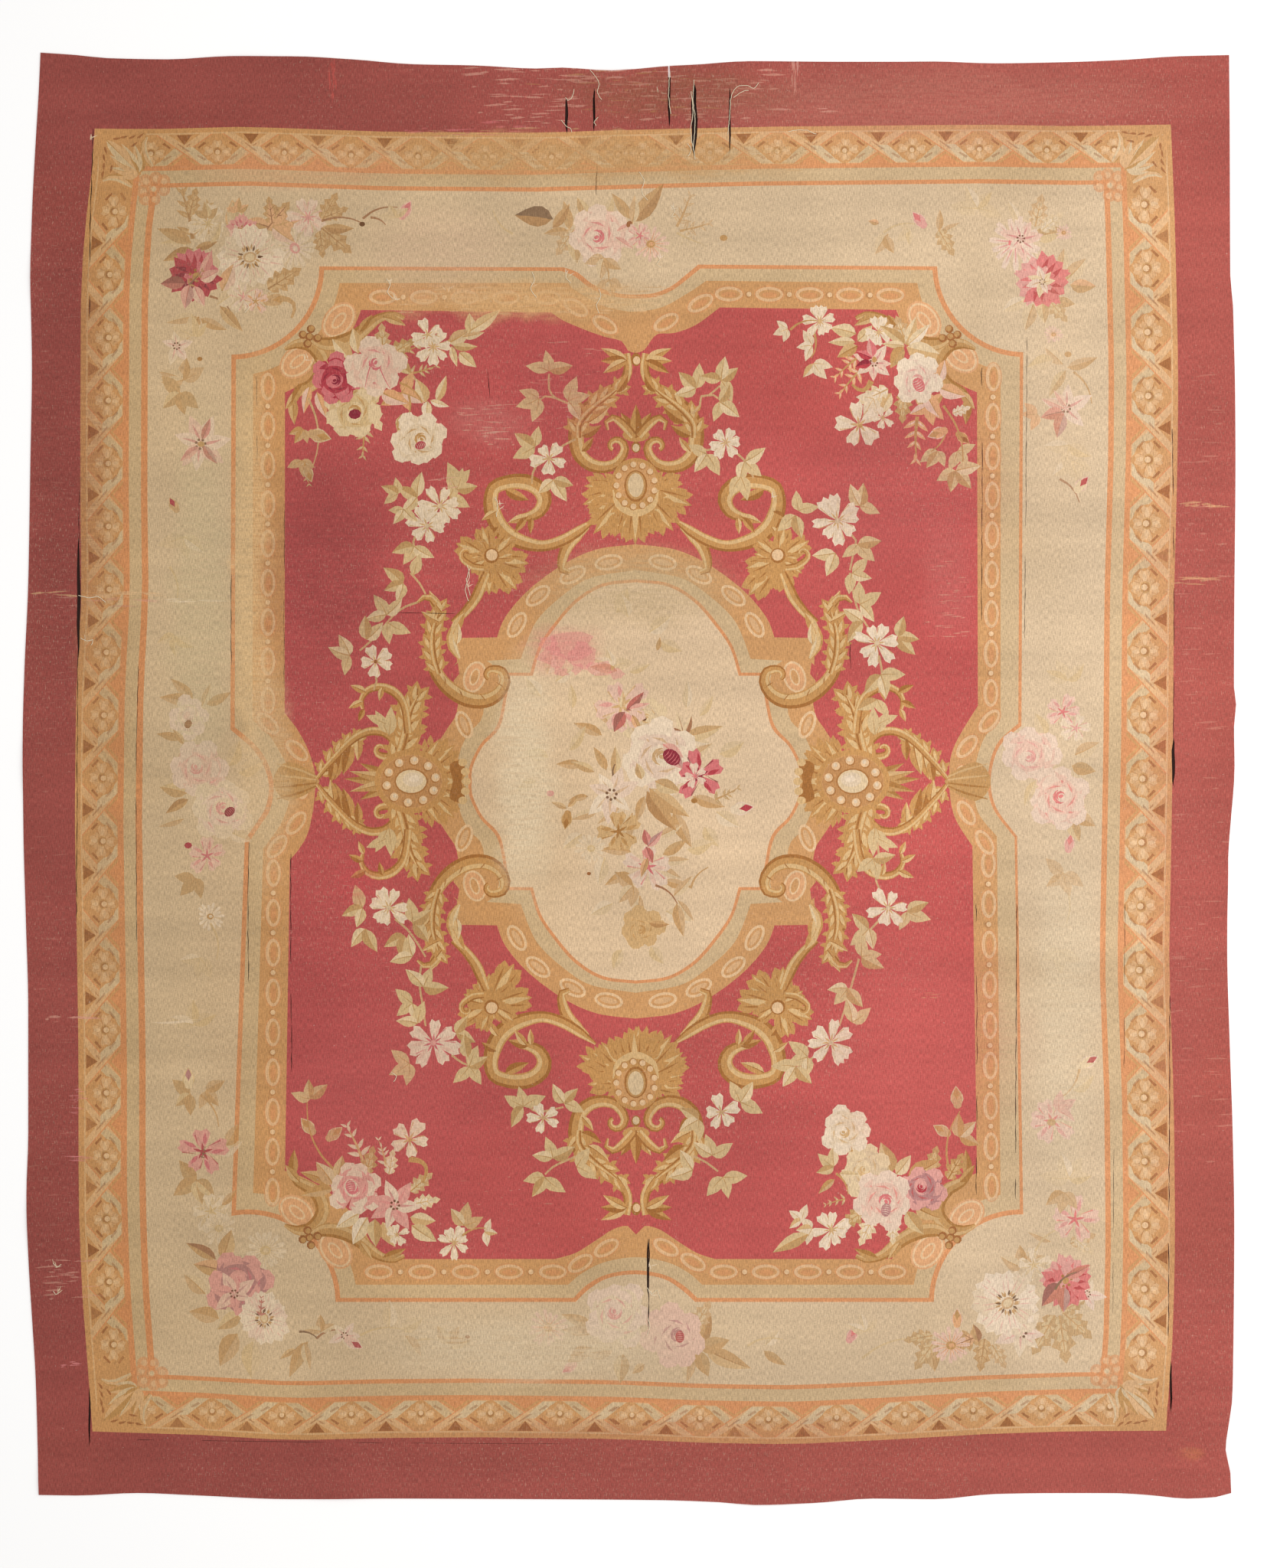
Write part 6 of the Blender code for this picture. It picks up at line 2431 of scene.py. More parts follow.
MIDDLE_BOUQUET = (
    Sheaf(Kind.LEAF, GHOST_TONES, (
        (-4.2, 54.2, 60, 9), (-0.5, 52.8, 100, 8), (6.5, 47.8, 30, 9), (10.0, 44.8, 330, 8),
        (-26.8, 34.2, 70, 8), (-29.0, 26.8, 120, 8), (-24.0, 31.8, 30, 7), (29.5, 8.0, 20, 9),
        (28.5, -10.8, 320, 9), (24.5, -15.8, 300, 8), (-26.5, 6.8, 160, 8), (-30.5, -0.8, 200, 7),
        (-15.5, -18.2, 210, 8), (-8.0, -25.8, 250, 9), (19.0, -23.2, 10, 9), (12.0, -43.2, 330, 9),
        (-5.5, -40.8, 200, 8), (-2.5, -55.8, 240, 7), (7.0, -54.8, 300, 7),
    ), wide=0.56),
    Sheaf(Kind.LEAF, FADED_TONES, (
        (-9.0, 14.2, 150, 10), (-6.5, 17.8, 120, 9), (19.5, 6.8, 25, 9), (20.8, -5.8, 335, 11),
        (14.5, -10.8, 290, 13), (1.0, -11.2, 250, 12), (-3.0, -8.2, 215, 10), (-10.5, -10.8, 190, 9),
        (9.5, -18.8, 20, 9), (0.5, -23.8, 170, 10), (0.0, -30.8, 200, 9), (11.5, -33.2, 340, 9),
        (3.5, -38.2, 260, 10), (-15.0, 4.2, 170, 9),
    )),
    Sheaf(Kind.SPRIG, GHOST_TONES, ((-5.5, 36.2, 120, 7),), parts=4),
    Sheaf(Kind.LEAF, FADED_TONES, (
        (-4.0, 35.2, 165, 9), (-13.5, -5.8, 185, 6.4), (11.0, -26.8, 356, 8.6), (10.0, -28.8, 325, 8),
        (16.0, -39.8, 300, 8.4),
    )),
    Sheaf(Kind.LEAF, GHOST_TONES, (
        (0.0, 34.8, 15, 7.4), (18.5, 23.0, 80, 9), (23.0, 20.5, 50, 8), (-18.5, 23.0, 88, 8),
        (-19.5, 9.2, 50, 9.6), (18.0, 13.5, 340, 9),
    )),
    Sheaf(Kind.LEAF, OLIVE_TONES, (
        (9.0, 41.8, 70, 4.6), (-11.5, 2.2, 150, 8.4), (-7.5, 2.8, 112, 8.6), (-4.8, 1.2, 82, 9.4),
        (18.0, 13.8, 8, 13), (11.0, -24.8, 26, 9.4),
    )),
    Sheaf(Kind.TWIG, UMBER_TONES, ((-5.0, -0.2, 86, 5),)),
    Sheaf(
        Kind.LEAF, Tones(Yarn.CREAM, Yarn.LEAF_LIGHT, Yarn.BROWN),
        ((17.8, 14.0, 100, 8.4), (17.8, 14.0, 62, 7)),
    ),
    Sheaf(Kind.LEAF, RUST_TONES, ((17.8, 13.8, 140, 5.4),)),
    Sheaf(Kind.ROSE, Tones(Yarn.LEAF_LIGHT, Yarn.CREAM, Yarn.OCHRE_PALE), ((5.0, 19.2, 20, 6.4),)),
    Sheaf(Kind.SPECK, UMBER_TONES, ((4.8, 19.5, 0, 1.8),)),
    Sheaf(Kind.BLOSSOM, Tones(Yarn.BLUSH, Yarn.ROSE_LIGHT, Yarn.OCHRE_PALE), ((-2.5, 23.8, 40, 8),)),
    Sheaf(Kind.LEAF, CRIMSON_TONES, ((-1.0, 22.2, 40, 8.4),)),
    Sheaf(Kind.LEAF, CRIMSON_TONES, ((-1.5, 21.8, 235, 7.4),), wide=0.56),
    Sheaf(Kind.LEAF, SALMON_TONES, ((0.0, 22.8, 8, 7),)),
    Sheaf(Kind.LEAF, RUST_TONES, ((1.0, 20.8, 290, 6.6),)),
    Sheaf(Kind.LEAF, CREAM_TONES, ((-2.5, 22.8, 80, 6),)),
    Sheaf(Kind.ROSE, Tones(Yarn.WHITE, Yarn.BLUSH_PALE, Yarn.TAN), ((9.0, 6.8, 340, 10.6),)),
    Sheaf(Kind.LEAF, SALMON_TONES, ((11.0, 11.2, 320, 8),), wide=0.56),
    Sheaf(Kind.LEAF, DUSTY_TONES, ((13.0, 9.2, 300, 7.6),), wide=0.56),
    Sheaf(Kind.HEART, CRIMSON_TONES, ((13.8, 7.0, 320, 3.2),)),
    Sheaf(Kind.BUD, OCHRE_TONES, ((-20.0, -10.8, 260, 6),)),
    Sheaf(Kind.LEAF, OCHRE_TONES, ((-20.5, -9.8, 150, 5.4), (-20.0, -9.2, 40, 5))),
    Sheaf(Kind.SPECK, SALMON_TONES, ((-25.8, -4.8, 0, 2.6),)),
    Sheaf(Kind.LILY, Tones(Yarn.WHITE, Yarn.BLUSH_PALE, Yarn.TAN), ((-5.8, -5.2, 60, 9.4),), parts=7),
    Sheaf(Kind.LEAF, OCHRE_TONES, ((5.8, -4.2, 300, 16),)),
    Sheaf(Kind.LEAF, Tones(Yarn.OCHRE_PALE, Yarn.OCHRE_PALE, Yarn.OCHRE), ((6.5, -3.2, 318, 16),)),
    Sheaf(Kind.LEAF, OLIVE_TONES, ((8.5, -0.8, 330, 9), (4.0, -0.2, 100, 5.6)), wide=0.56),
    Sheaf(Kind.LEAF, FADED_TONES, ((5.0, -5.8, 246, 9),)),
    Sheaf(Kind.BLOSSOM, CRIMSON_TONES, ((23.0, 1.0, 95, 7.2),)),
    Sheaf(Kind.BLOSSOM, PINK_TONES, ((21.5, 0.8, 30, 3.6), (6.0, -28.8, 80, 6.8))),
    Sheaf(Kind.FERN, OLIVE_TONES, ((28.0, -6.8, 20, 8),)),
    Sheaf(Kind.SPECK, OCHRE_TONES, ((21.2, -7.2, 0, 2.2),)),
    Sheaf(Kind.BUD, Tones(Yarn.BLUSH_PALE, Yarn.CREAM_PALE, Yarn.CRIMSON), ((33.5, -10.2, 8, 7.4),)),
    Sheaf(Kind.BLOSSOM, OCHRE_TONES, ((-3.5, -17.2, 30, 6.4),)),
    Sheaf(Kind.LEAF, CRIMSON_TONES, ((6.0, -21.8, 95, 5.4), (5.5, -22.2, 285, 5.8)), wide=0.56),
    Sheaf(Kind.LEAF, DUSTY_TONES, ((6.0, -22.2, 40, 7.2),)),
    Sheaf(Kind.LEAF, RUST_TONES, ((6.0, -25.8, 245, 6.8),)),
    Sheaf(Kind.SPECK, RUST_TONES, ((-12.8, -22.2, 0, 1.4), (-13.2, -31.0, 0, 1.4))),
    Sheaf(Kind.DAISY, GHOST_TONES, ((-12.5, -22.8, 0, 5),)),
    Sheaf(Kind.SPRIG, FADED_TONES, ((1.5, -34.8, 220, 7),)),
    Sheaf(Kind.TWIG, RUST_TONES, ((8.5, -34.8, 320, 9.4),)),
    Sheaf(Kind.LEAF, FADED_TONES, ((14.5, -38.2, 40, 9), (15.5, -40.8, 275, 11))),
    Sheaf(Kind.TWIG, FADED_TONES, ((20.0, -35.8, 50, 9),)),
    Sheaf(Kind.ROSE, Tones(Yarn.OCHRE_PALE, Yarn.OCHRE_PALE, Yarn.OCHRE), ((4.2, -48.8, 200, 6),)),
    Sheaf(Kind.LEAF, OCHRE_TONES, ((6.5, -47.2, 350, 6.6),)),
)

BORDER_SPRAYS = (
    Sheaf(Kind.LEAF, GHOST_TONES, ((-143.2, 174.2, 170, 10), (127.0, 181.8, 110, 8))),
    Sheaf(Kind.LEAF, OLIVE_TONES, (
        (-143.0, 174.8, 150, 12), (-19.5, 179.2, 95, 9.6), (142.5, 133.2, 230, 10), (-138.0, 24.2, 20, 9),
        (-105.0, -183.8, 236, 13), (0.5, -186.2, 110, 9.6), (44.0, -186.8, 320, 8.6),
    )),
    Sheaf(Kind.LEAF, OCHRE_TONES, (
        (-142.5, 172.8, 195, 10.4), (-141.5, 173.2, 10, 7.4), (-25.0, 179.8, 48, 9.6),
        (-144.0, -6.8, 205, 8.6), (-109.0, -186.2, 206, 6), (-12.5, -181.2, 165, 9.6),
        (23.0, -184.8, 64, 11), (25.0, -186.2, 330, 16),
    )),
    Sheaf(Kind.FERN, OCHRE_TONES, ((-142.5, 176.2, 96, 15),)),
    Sheaf(Kind.LOBED, OCHRE_TONES, ((-143.5, 184.2, 76, 9), (116.0, -182.8, 262, 11))),
    Sheaf(Kind.FERN, OLIVE_TONES, ((-140.0, 176.2, 70, 11),)),
    Sheaf(Kind.BLOSSOM, GHOST_TONES, ((-137.5, 181.2, 90, 6),), parts=7),
    Sheaf(
        Kind.SPRIG, OLIVE_TONES,
        ((-137.8, 182.8, 88, 5), (-143.0, -102.8, 210, 7), (-59.2, -184.8, 60, 6.6)),
    ),
    Sheaf(Kind.LEAF, GHOST_TONES, ((-136.5, 174.8, 60, 8),)),
    Sheaf(
        Kind.DAISY, FAINT_TONES, ((-109.2, 173.2, 300, 7.4),)
    ),
    Sheaf(
        Kind.LOBED, RUST_TONES, ((-118.5, 179.2, 50, 12), (-116.5, 181.2, 98, 9), (114.5, -181.8, 200, 12))
    ),
    Sheaf(Kind.LOBED, Tones(Yarn.PEACH, Yarn.PEACH, Yarn.OCHRE), ((-116.0, 180.2, 18, 11.4),)),
    Sheaf(Kind.LEAF, RUST_TONES, (
        (-118.0, 180.2, 160, 8), (81.5, 181.2, 160, 3.6), (-132.5, -160.8, 160, 10),
        (114.0, -183.8, 100, 6),
    ), wide=0.56),
    Sheaf(Kind.LEAF, PEACH_TONES, ((-116.5, 180.2, 318, 9), (144.0, 161.2, 350, 8.4)), wide=0.56),
    Sheaf(
        Kind.BLOSSOM, PALE_PINK_TONES, ((-104.8, 183.2, 20, 6.2),),
        parts=7,
    ),
    Sheaf(Kind.LOBED, OCHRE_TONES, (
        (-100.2, 182.2, 62, 10.4), (-99.5, 183.2, 22, 8.4), (-100.5, 179.8, 320, 13),
        (-101.0, 178.8, 276, 9),
    )),
    Sheaf(Kind.LEAF, OCHRE_TONES, ((-99.5, 179.8, 352, 9.6),)),
    Sheaf(Kind.TWIG, RUST_TONES, (
        (-100.5, 182.0, 356, 14), (-87.0, 182.8, 18, 12), (-84.5, 183.2, 334, 5.6),
        (-137.0, 157.5, 324, 8.4), (140.5, 97.8, 310, 10), (-102.2, -182.8, 20, 8.4),
    )),
    Sheaf(Kind.SPECK, UMBER_TONES, ((-87.2, 181.0, 0, 2),)),
    Sheaf(Kind.BUD, SALMON_TONES, (
        (-74.5, 183.0, 60, 6.6), (96.5, 180.2, 130, 6.4), (-17.5, -190.8, 215, 5.6), (71.5, -183.8, 60, 6),
        (143.2, -23.8, 80, 6),
    )),
    Sheaf(Kind.SPRIG, GHOST_TONES, (
        (-76.5, 182.8, 100, 5), (92.0, 178.8, 200, 5), (144.5, 103.8, 280, 8), (-145.5, 79.2, 270, 8),
        (-148.0, 46.8, 250, 7), (-140.0, -58.2, 250, 7), (-142.0, -80.8, 100, 8), (77.0, -180.8, 100, 6),
        (143.0, 31.8, 100, 7), (140.5, -55.8, 260, 7),
    )),
    Sheaf(Kind.BUD, Tones(Yarn.GOLD_LIGHT, Yarn.KHAKI_PALE, Yarn.KHAKI), ((-127.8, 178.2, 100, 11),)),
    Sheaf(Kind.SPRIG, PEACH_TONES, ((-127.8, 184.8, 90, 4.4), (133.5, 119.2, 200, 6))),
    Sheaf(Kind.POPPY, SALMON_TONES, ((-126.5, 179.2, 200, 5.4),)),
    Sheaf(Kind.ANEMONE, Tones(Yarn.WHITE, Yarn.CREAM_PALE, Yarn.ROSE_LIGHT), ((-123.9, 170.2, 10, 11.2),)),
    Sheaf(Kind.LOBED, OCHRE_TONES, ((-118.0, 159.8, 32, 13),)),
    Sheaf(Kind.LOBED, FADED_TONES, (
        (-117.8, 158.8, 300, 6), (-18.0, 179.2, 235, 10.4), (132.5, 180.2, 78, 11), (21.0, -179.8, 60, 11),
        (118.5, -184.8, 300, 9), (144.0, -151.8, 20, 9),
    )),
    Sheaf(Kind.LEAF, PEACH_TONES, ((-133.0, 159.2, 60, 9.6),), wide=0.56),
    Sheaf(Kind.LEAF, OCHRE_TONES, ((-133.5, 154.2, 305, 11),)),
    Sheaf(Kind.LEAF, GHOST_TONES, (
        (-134.5, 154.8, 30, 9), (-8.0, 183.8, 60, 6.6), (129.0, 156.2, 200, 8), (-130.5, 4.2, 62, 9),
        (-127.5, 1.8, 20, 9.4), (-130.5, -17.2, 330, 8), (-134.5, -122.2, 18, 9), (-123.0, -183.8, 262, 12),
        (-78.5, -179.2, 82, 9), (-74.5, -179.8, 20, 8), (44.5, -184.8, 40, 6.6), (145.0, -101.8, 30, 8.4),
    ), wide=0.56),
    Sheaf(
        Kind.LEAF, OCHRE_TONES,
        ((-140.5, 150.8, 235, 8.4), (5.0, -191.2, 210, 5), (99.0, -185.2, 268, 8.4)), wide=0.56,
    ),
    Sheaf(Kind.LEAF, FADED_TONES, (
        (-141.5, 150.8, 185, 10), (-140.0, 150.2, 330, 9.4), (-20.0, 178.8, 180, 8), (101.0, 178.8, 80, 7),
        (101.5, 178.2, 20, 7.4), (-142.5, 25.8, 130, 10), (-141.5, 24.8, 165, 12), (-139.5, 23.8, 62, 8),
        (-145.5, -13.2, 190, 8.6), (-106.0, -184.2, 275, 9),
    )),
    Sheaf(Kind.BUD, FADED_TONES, ((-119.0, 155.8, 8, 8),)),
    Sheaf(Kind.TWIG, OLIVE_TONES, ((-114.0, 156.8, 300, 7.4),), wide=2.2, bend=0.4),
    Sheaf(Kind.BLOSSOM, FAINT_TONES, ((-126.0, 157.2, 10, 4.6),)),
    Sheaf(Kind.BLOSSOM, PEACH_TONES, ((-122.0, 155.8, 10, 3.6),)),
    Sheaf(Kind.LILY, FAINT_TONES, ((-147.8, 141.2, 20, 6.2),)),
    Sheaf(Kind.SPECK, OCHRE_TONES, ((-140.2, 137.0, 0, 1.8),)),
    Sheaf(Kind.POPPY, CRIMSON_TONES, ((-141.5, 164.2, 30, 8.6),)),
    Sheaf(Kind.LEAF, SALMON_TONES, ((-140.0, 163.8, 60, 9.6),)),
    Sheaf(Kind.LEAF, SALMON_TONES, ((-140.0, 162.8, 20, 7), (-142.0, 160.8, 290, 7.4)), wide=0.56),
    Sheaf(Kind.LEAF, DUSTY_TONES, ((-143.5, 161.2, 252, 8),), wide=0.56),
    Sheaf(Kind.LEAF, CRIMSON_TONES, ((-145.0, 161.8, 175, 8),), wide=0.56),
    Sheaf(Kind.FERN, Tones(Yarn.OCHRE_DARK, Yarn.OCHRE_DARK, Yarn.UMBER), ((-143.8, 161.2, 40, 6),)),
    Sheaf(Kind.TWIG, GHOST_TONES, (
        (-38.0, 177.8, 130, 10), (83.0, 178.2, 15, 11), (-150.0, 69.2, 280, 12), (-70.5, -183.8, 355, 12),
        (38.5, -185.2, 10, 12), (76.0, -189.2, 16, 22), (141.5, -33.2, 275, 14),
    )),
    Sheaf(
        Kind.LEAF, Tones(Yarn.OCHRE, Yarn.OCHRE_DARK, Yarn.UMBER), ((-25.0, 182.8, 168, 12.4),), wide=0.56
    ),
    Sheaf(Kind.LEAF, OLIVE_TONES, (
        (-18.0, 176.2, 270, 8), (-14.0, 183.8, 110, 6.6), (132.0, 177.2, 4, 10.4), (135.0, 156.2, 268, 7.6),
        (139.0, 156.2, 342, 6.6), (-146.0, 3.8, 70, 8), (-144.5, -4.8, 160, 9), (-126.5, -174.8, 205, 9.4),
        (-2.0, -187.8, 258, 9.6), (23.0, -185.8, 8, 10), (22.5, -186.8, 285, 9), (144.5, 4.2, 340, 8),
        (144.0, -13.2, 285, 8),
    ), wide=0.56),
    Sheaf(Kind.ROSE, PINK_TONES, ((-9.8, 177.8, 200, 8.8),)),
    Sheaf(Kind.LEAF, SALMON_TONES, ((-4.5, 176.8, 320, 7), (-4.0, 178.8, 20, 6))),
    Sheaf(Kind.LEAF, OCHRE_TONES, ((1.0, 181.8, 44, 16),)),
    Sheaf(Kind.LEAF, OLIVE_TONES, ((0.0, 182.8, 118, 10),)),
    Sheaf(Kind.LEAF, FADED_TONES, ((1.0, 181.2, 78, 9.6),)),
    Sheaf(Kind.SPECK, RUST_TONES, ((0.0, 181.0, 60, 2.4), (-52.8, -182.2, 0, 1.6))),
    Sheaf(Kind.FERN, FADED_TONES, ((15.5, 180.2, 60, 10.6), (16.5, 178.8, 8, 9.6))),
    Sheaf(Kind.FERN, GHOST_TONES, ((15.5, 178.2, 330, 9.6), (110.0, 184.2, 60, 8.4))),
    Sheaf(Kind.DAISY, PEACH_TONES, ((7.0, 174.5, 0, 5.6), (138.5, 145.0, 0, 3), (-26.5, -179.2, 100, 6))),
    Sheaf(Kind.BLOSSOM, SALMON_TONES, ((3.5, 177.2, 0, 4), (141.5, 21.8, 0, 5))),
    Sheaf(Kind.SPECK, PEACH_TONES, ((30.8, 176.5, 0, 2.6),)),
    Sheaf(Kind.SPRIG, FADED_TONES, (
        (-8.0, 170.2, 250, 6.6), (-6.5, 163.2, 280, 5.6), (-138.5, -101.8, 330, 6.6),
        (-100.5, -180.8, 100, 5.4),
    )),
    Sheaf(Kind.TWIG, FADED_TONES, ((-8.0, 168.0, 280, 6), (147.0, -94.8, 235, 12))),
    Sheaf(Kind.LEAF, FADED_TONES, (
        (84.5, 177.8, 230, 8), (83.5, 177.2, 290, 6.4), (142.5, 162.8, 40, 9.6), (141.0, 166.2, 75, 7),
        (132.0, 154.8, 245, 9), (141.5, 135.2, 130, 8), (-131.5, -119.8, 55, 8), (-138.5, -168.2, 130, 9.4),
        (-134.0, -176.2, 160, 10), (-128.0, -181.2, 235, 12), (-73.0, -181.8, 300, 8.4),
        (-12.5, -185.8, 205, 9), (-5.5, -186.8, 180, 9.6), (20.0, -188.2, 255, 9), (145.0, -10.8, 320, 8.6),
    ), wide=0.56),
    Sheaf(Kind.LOBED, OLIVE_TONES, (
        (101.0, 179.2, 300, 10), (137.0, 156.2, 310, 9.4), (99.0, -181.8, 190, 9.6),
        (100.0, -183.2, 235, 12), (139.0, -175.2, 240, 15), (140.5, -175.2, 278, 16),
        (141.5, -174.2, 318, 13), (141.0, -173.8, 25, 9),
    )),
    Sheaf(Kind.SPRIG, GHOST_TONES, ((113.5, 185.8, 90, 8),), parts=4),
    Sheaf(Kind.LOBED, GHOST_TONES, ((134.5, 178.8, 40, 9.4), (145.5, -150.2, 320, 8))),
    Sheaf(Kind.DAISY, PEACH_TONES, ((141.8, 178.2, 0, 2.8), (105.0, -185.0, 0, 6.4))),
    Sheaf(Kind.DAISY, BLUSH_TONES, ((126.0, 175.2, 200, 9),)),
    Sheaf(Kind.LILY, PINK_TONES, ((127.8, 176.2, 60, 6.6),), parts=7),
    Sheaf(Kind.POPPY, ROSE_TONES, ((134.8, 162.5, 120, 9),)),
    Sheaf(
        Kind.LILY, Tones(Yarn.BLUSH_PALE, Yarn.LEAF_LIGHT, Yarn.OCHRE), ((134.8, 162.2, 40, 5),), parts=7
    ),
    Sheaf(Kind.LEAF, GHOST_TONES, ((138.5, 136.8, 190, 9),), wide=0.56),
    Sheaf(Kind.LEAF, FADED_TONES, ((143.0, 134.2, 12, 10.4),)),
    Sheaf(Kind.SPECK, PEACH_TONES, ((143.2, 138.5, 0, 2.4),)),
    Sheaf(Kind.TWIG, FADED_TONES, ((145.0, 132.8, 300, 12),)),
    Sheaf(Kind.LILY, Tones(Yarn.BLUSH_PALE, Yarn.BLUSH_PALE, Yarn.ROSE), ((142.5, 121.0, 90, 8),)),
    Sheaf(Kind.LEAF, SALMON_TONES, ((142.0, 120.8, 150, 8.2), (142.5, 121.5, 120, 6.6))),
    Sheaf(Kind.LEAF, CRIMSON_TONES, ((141.5, 119.8, 188, 7.4),), wide=0.56),
    Sheaf(Kind.LEAF, DUSTY_TONES, ((141.8, 119.2, 248, 8.2),), wide=0.56),
    Sheaf(Kind.SPRIG, GHOST_TONES, ((143.5, 109.2, 260, 8), (-142.5, 144.2, 90, 7))),
    Sheaf(Kind.BUD, Tones(Yarn.BLUSH, Yarn.LEAF_LIGHT, Yarn.CRIMSON), ((145.8, 93.8, 50, 6.4),)),
    Sheaf(Kind.SPRIG, FADED_TONES, ((-145.5, 129.8, 110, 7.6), (142.0, -30.8, 250, 8)), parts=4),
    Sheaf(Kind.SPRIG, OLIVE_TONES, ((-146.5, 126.2, 240, 7.6), (-141.0, -130.8, 235, 9)), parts=4),
    Sheaf(Kind.LILY, Tones(Yarn.BLUSH, Yarn.BLUSH_PALE, Yarn.ROSE), ((-140.0, 109.2, 60, 8.8),), parts=7),
    Sheaf(Kind.LEAF, CRIMSON_TONES, ((-139.5, 110.8, 62, 7.4),)),
    Sheaf(Kind.LEAF, DUSTY_TONES, ((-139.0, 108.8, 300, 7.6),)),
    Sheaf(Kind.LEAF, SALMON_TONES, ((-140.5, 108.2, 210, 7.6),)),
    Sheaf(Kind.SPECK, OLIVE_TONES, ((-139.8, 109.2, 0, 2.4),)),
    Sheaf(Kind.BUD, Tones(Yarn.LEAF, Yarn.TAN, Yarn.CRIMSON), ((-147.5, 87.2, 120, 5.4),)),
    Sheaf(Kind.ROSE, Tones(Yarn.BLUSH_PALE, Yarn.CREAM_PALE, Yarn.BLUSH), ((-143.8, 19.8, 60, 6),)),
    Sheaf(Kind.SPECK, RUST_TONES, ((-144.0, 17.8, 60, 3),)),
    Sheaf(Kind.LEAF, OLIVE_TONES, ((-146.5, 12.8, 160, 8), (-12.0, -179.2, 150, 11))),
    Sheaf(Kind.LEAF, OCHRE_TONES, ((-145.5, 11.2, 118, 6),)),
    Sheaf(Kind.ROSE, PALE_PINK_TONES, ((-140.5, 3.0, 110, 8.2),)),
    Sheaf(Kind.ROSE, FAINT_TONES, ((-133.2, -10.5, 30, 8.4),)),
    Sheaf(Kind.HEART, CRIMSON_TONES, ((-130.5, -10.8, 40, 1.9),)),
    Sheaf(Kind.SPECK, ROSE_TONES, ((-144.0, -21.8, 0, 2.6),)),
    Sheaf(Kind.BLOSSOM, SALMON_TONES, ((-137.8, -25.2, 20, 5.4),)),
    Sheaf(Kind.SPRIG, OLIVE_TONES, ((-141.5, -32.2, 240, 7),)),
    Sheaf(Kind.DAISY, Tones(Yarn.WHITE, Yarn.CREAM_PALE, Yarn.OCHRE), ((-136.8, -45.0, 0, 4.4),)),
    Sheaf(Kind.TWIG, GHOST_TONES, ((-136.8, -47.2, 280, 12),)),
    Sheaf(Kind.BUD, Tones(Yarn.LEAF, Yarn.LEAF_LIGHT, Yarn.MAUVE), ((-143.8, -100.8, 92, 6.6),)),
    Sheaf(Kind.TWIG, OLIVE_TONES, ((-140.0, -103.2, 300, 12),)),
    Sheaf(Kind.BLOSSOM, ROSE_TONES, ((-139.2, -121.8, 20, 6.8),)),
    Sheaf(Kind.FERN, UMBER_TONES, ((-139.5, -123.8, 70, 3.4),)),
    Sheaf(Kind.BLOSSOM, GHOST_TONES, ((-136.5, -141.2, 30, 6),)),
    Sheaf(Kind.LEAF, FADED_TONES, ((-133.0, -139.2, 40, 7),)),
    Sheaf(Kind.DAISY, GHOST_TONES, ((-134.0, -146.8, 0, 5.4),)),
    Sheaf(Kind.LEAF, RUST_TONES, ((-135.0, -156.8, 145, 11),)),
    Sheaf(Kind.LEAF, OCHRE_TONES, ((-133.0, -156.8, 65, 10),), wide=0.56),
    Sheaf(Kind.DAISY, GHOST_TONES, ((-118.8, -154.0, 0, 7),)),
    Sheaf(Kind.ROSE, Tones(Yarn.ROSE_LIGHT, Yarn.MAUVE, Yarn.ROSE), ((-127.5, -165.5, 70, 9),)),
    Sheaf(Kind.LILY, Tones(Yarn.ROSE_LIGHT, Yarn.BLUSH, Yarn.MAUVE), ((-129.0, -168.2, 20, 7),), parts=7),
    Sheaf(Kind.ANEMONE, Tones(Yarn.WHITE, Yarn.BLUSH_PALE, Yarn.ROSE_LIGHT), ((-119.2, -176.2, 100, 8.8),)),
    Sheaf(Kind.FERN, Tones(Yarn.ROSE, Yarn.CRIMSON, Yarn.CRIMSON), ((-120.5, -175.2, 80, 5.6),)),
    Sheaf(Kind.TWIG, UMBER_TONES, ((-107.8, -180.5, 340, 6.4),)),
    Sheaf(Kind.LILY, FAINT_TONES, ((-93.0, -181.8, 60, 5.6), (149.5, -168.2, 350, 5.6))),
    Sheaf(Kind.BUD, Tones(Yarn.BLUSH_PALE, Yarn.BLUSH, Yarn.CRIMSON), ((-92.5, -182.8, 330, 6.4),)),
    Sheaf(Kind.TWIG, GHOST_TONES, ((-88.0, -181.8, 5, 16),)),
    Sheaf(Kind.ROSE, Tones(Yarn.BLUSH_PALE, Yarn.CREAM_PALE, Yarn.ROSE_LIGHT), ((-4.0, -175.0, 100, 9),)),
    Sheaf(Kind.ROSE, Tones(Yarn.BLUSH, Yarn.BLUSH, Yarn.MAUVE), ((14.8, -182.0, 350, 8.8),)),
    Sheaf(Kind.HEART, DUSTY_TONES, ((16.5, -182.2, 90, 2),)),
    Sheaf(Kind.BUD, PEACH_TONES, ((107.0, -178.8, 90, 6),)),
    Sheaf(
        Kind.LILY, Tones(Yarn.BLUSH_PALE, Yarn.CREAM_PALE, Yarn.ROSE_LIGHT), ((128.0, -180.8, 300, 9),),
        parts=7,
    ),
    Sheaf(Kind.ANEMONE, Tones(Yarn.WHITE, Yarn.CREAM_PALE, Yarn.ROSE_LIGHT), ((123.5, -171.2, 40, 11.4),)),
    Sheaf(Kind.SPRIG, FADED_TONES, ((128.5, -159.8, 110, 8),)),
    Sheaf(Kind.BLOSSOM, GHOST_TONES, ((132.0, -158.8, 30, 5),)),
    Sheaf(Kind.LEAF, FADED_TONES, ((137.5, -151.2, 150, 8),)),
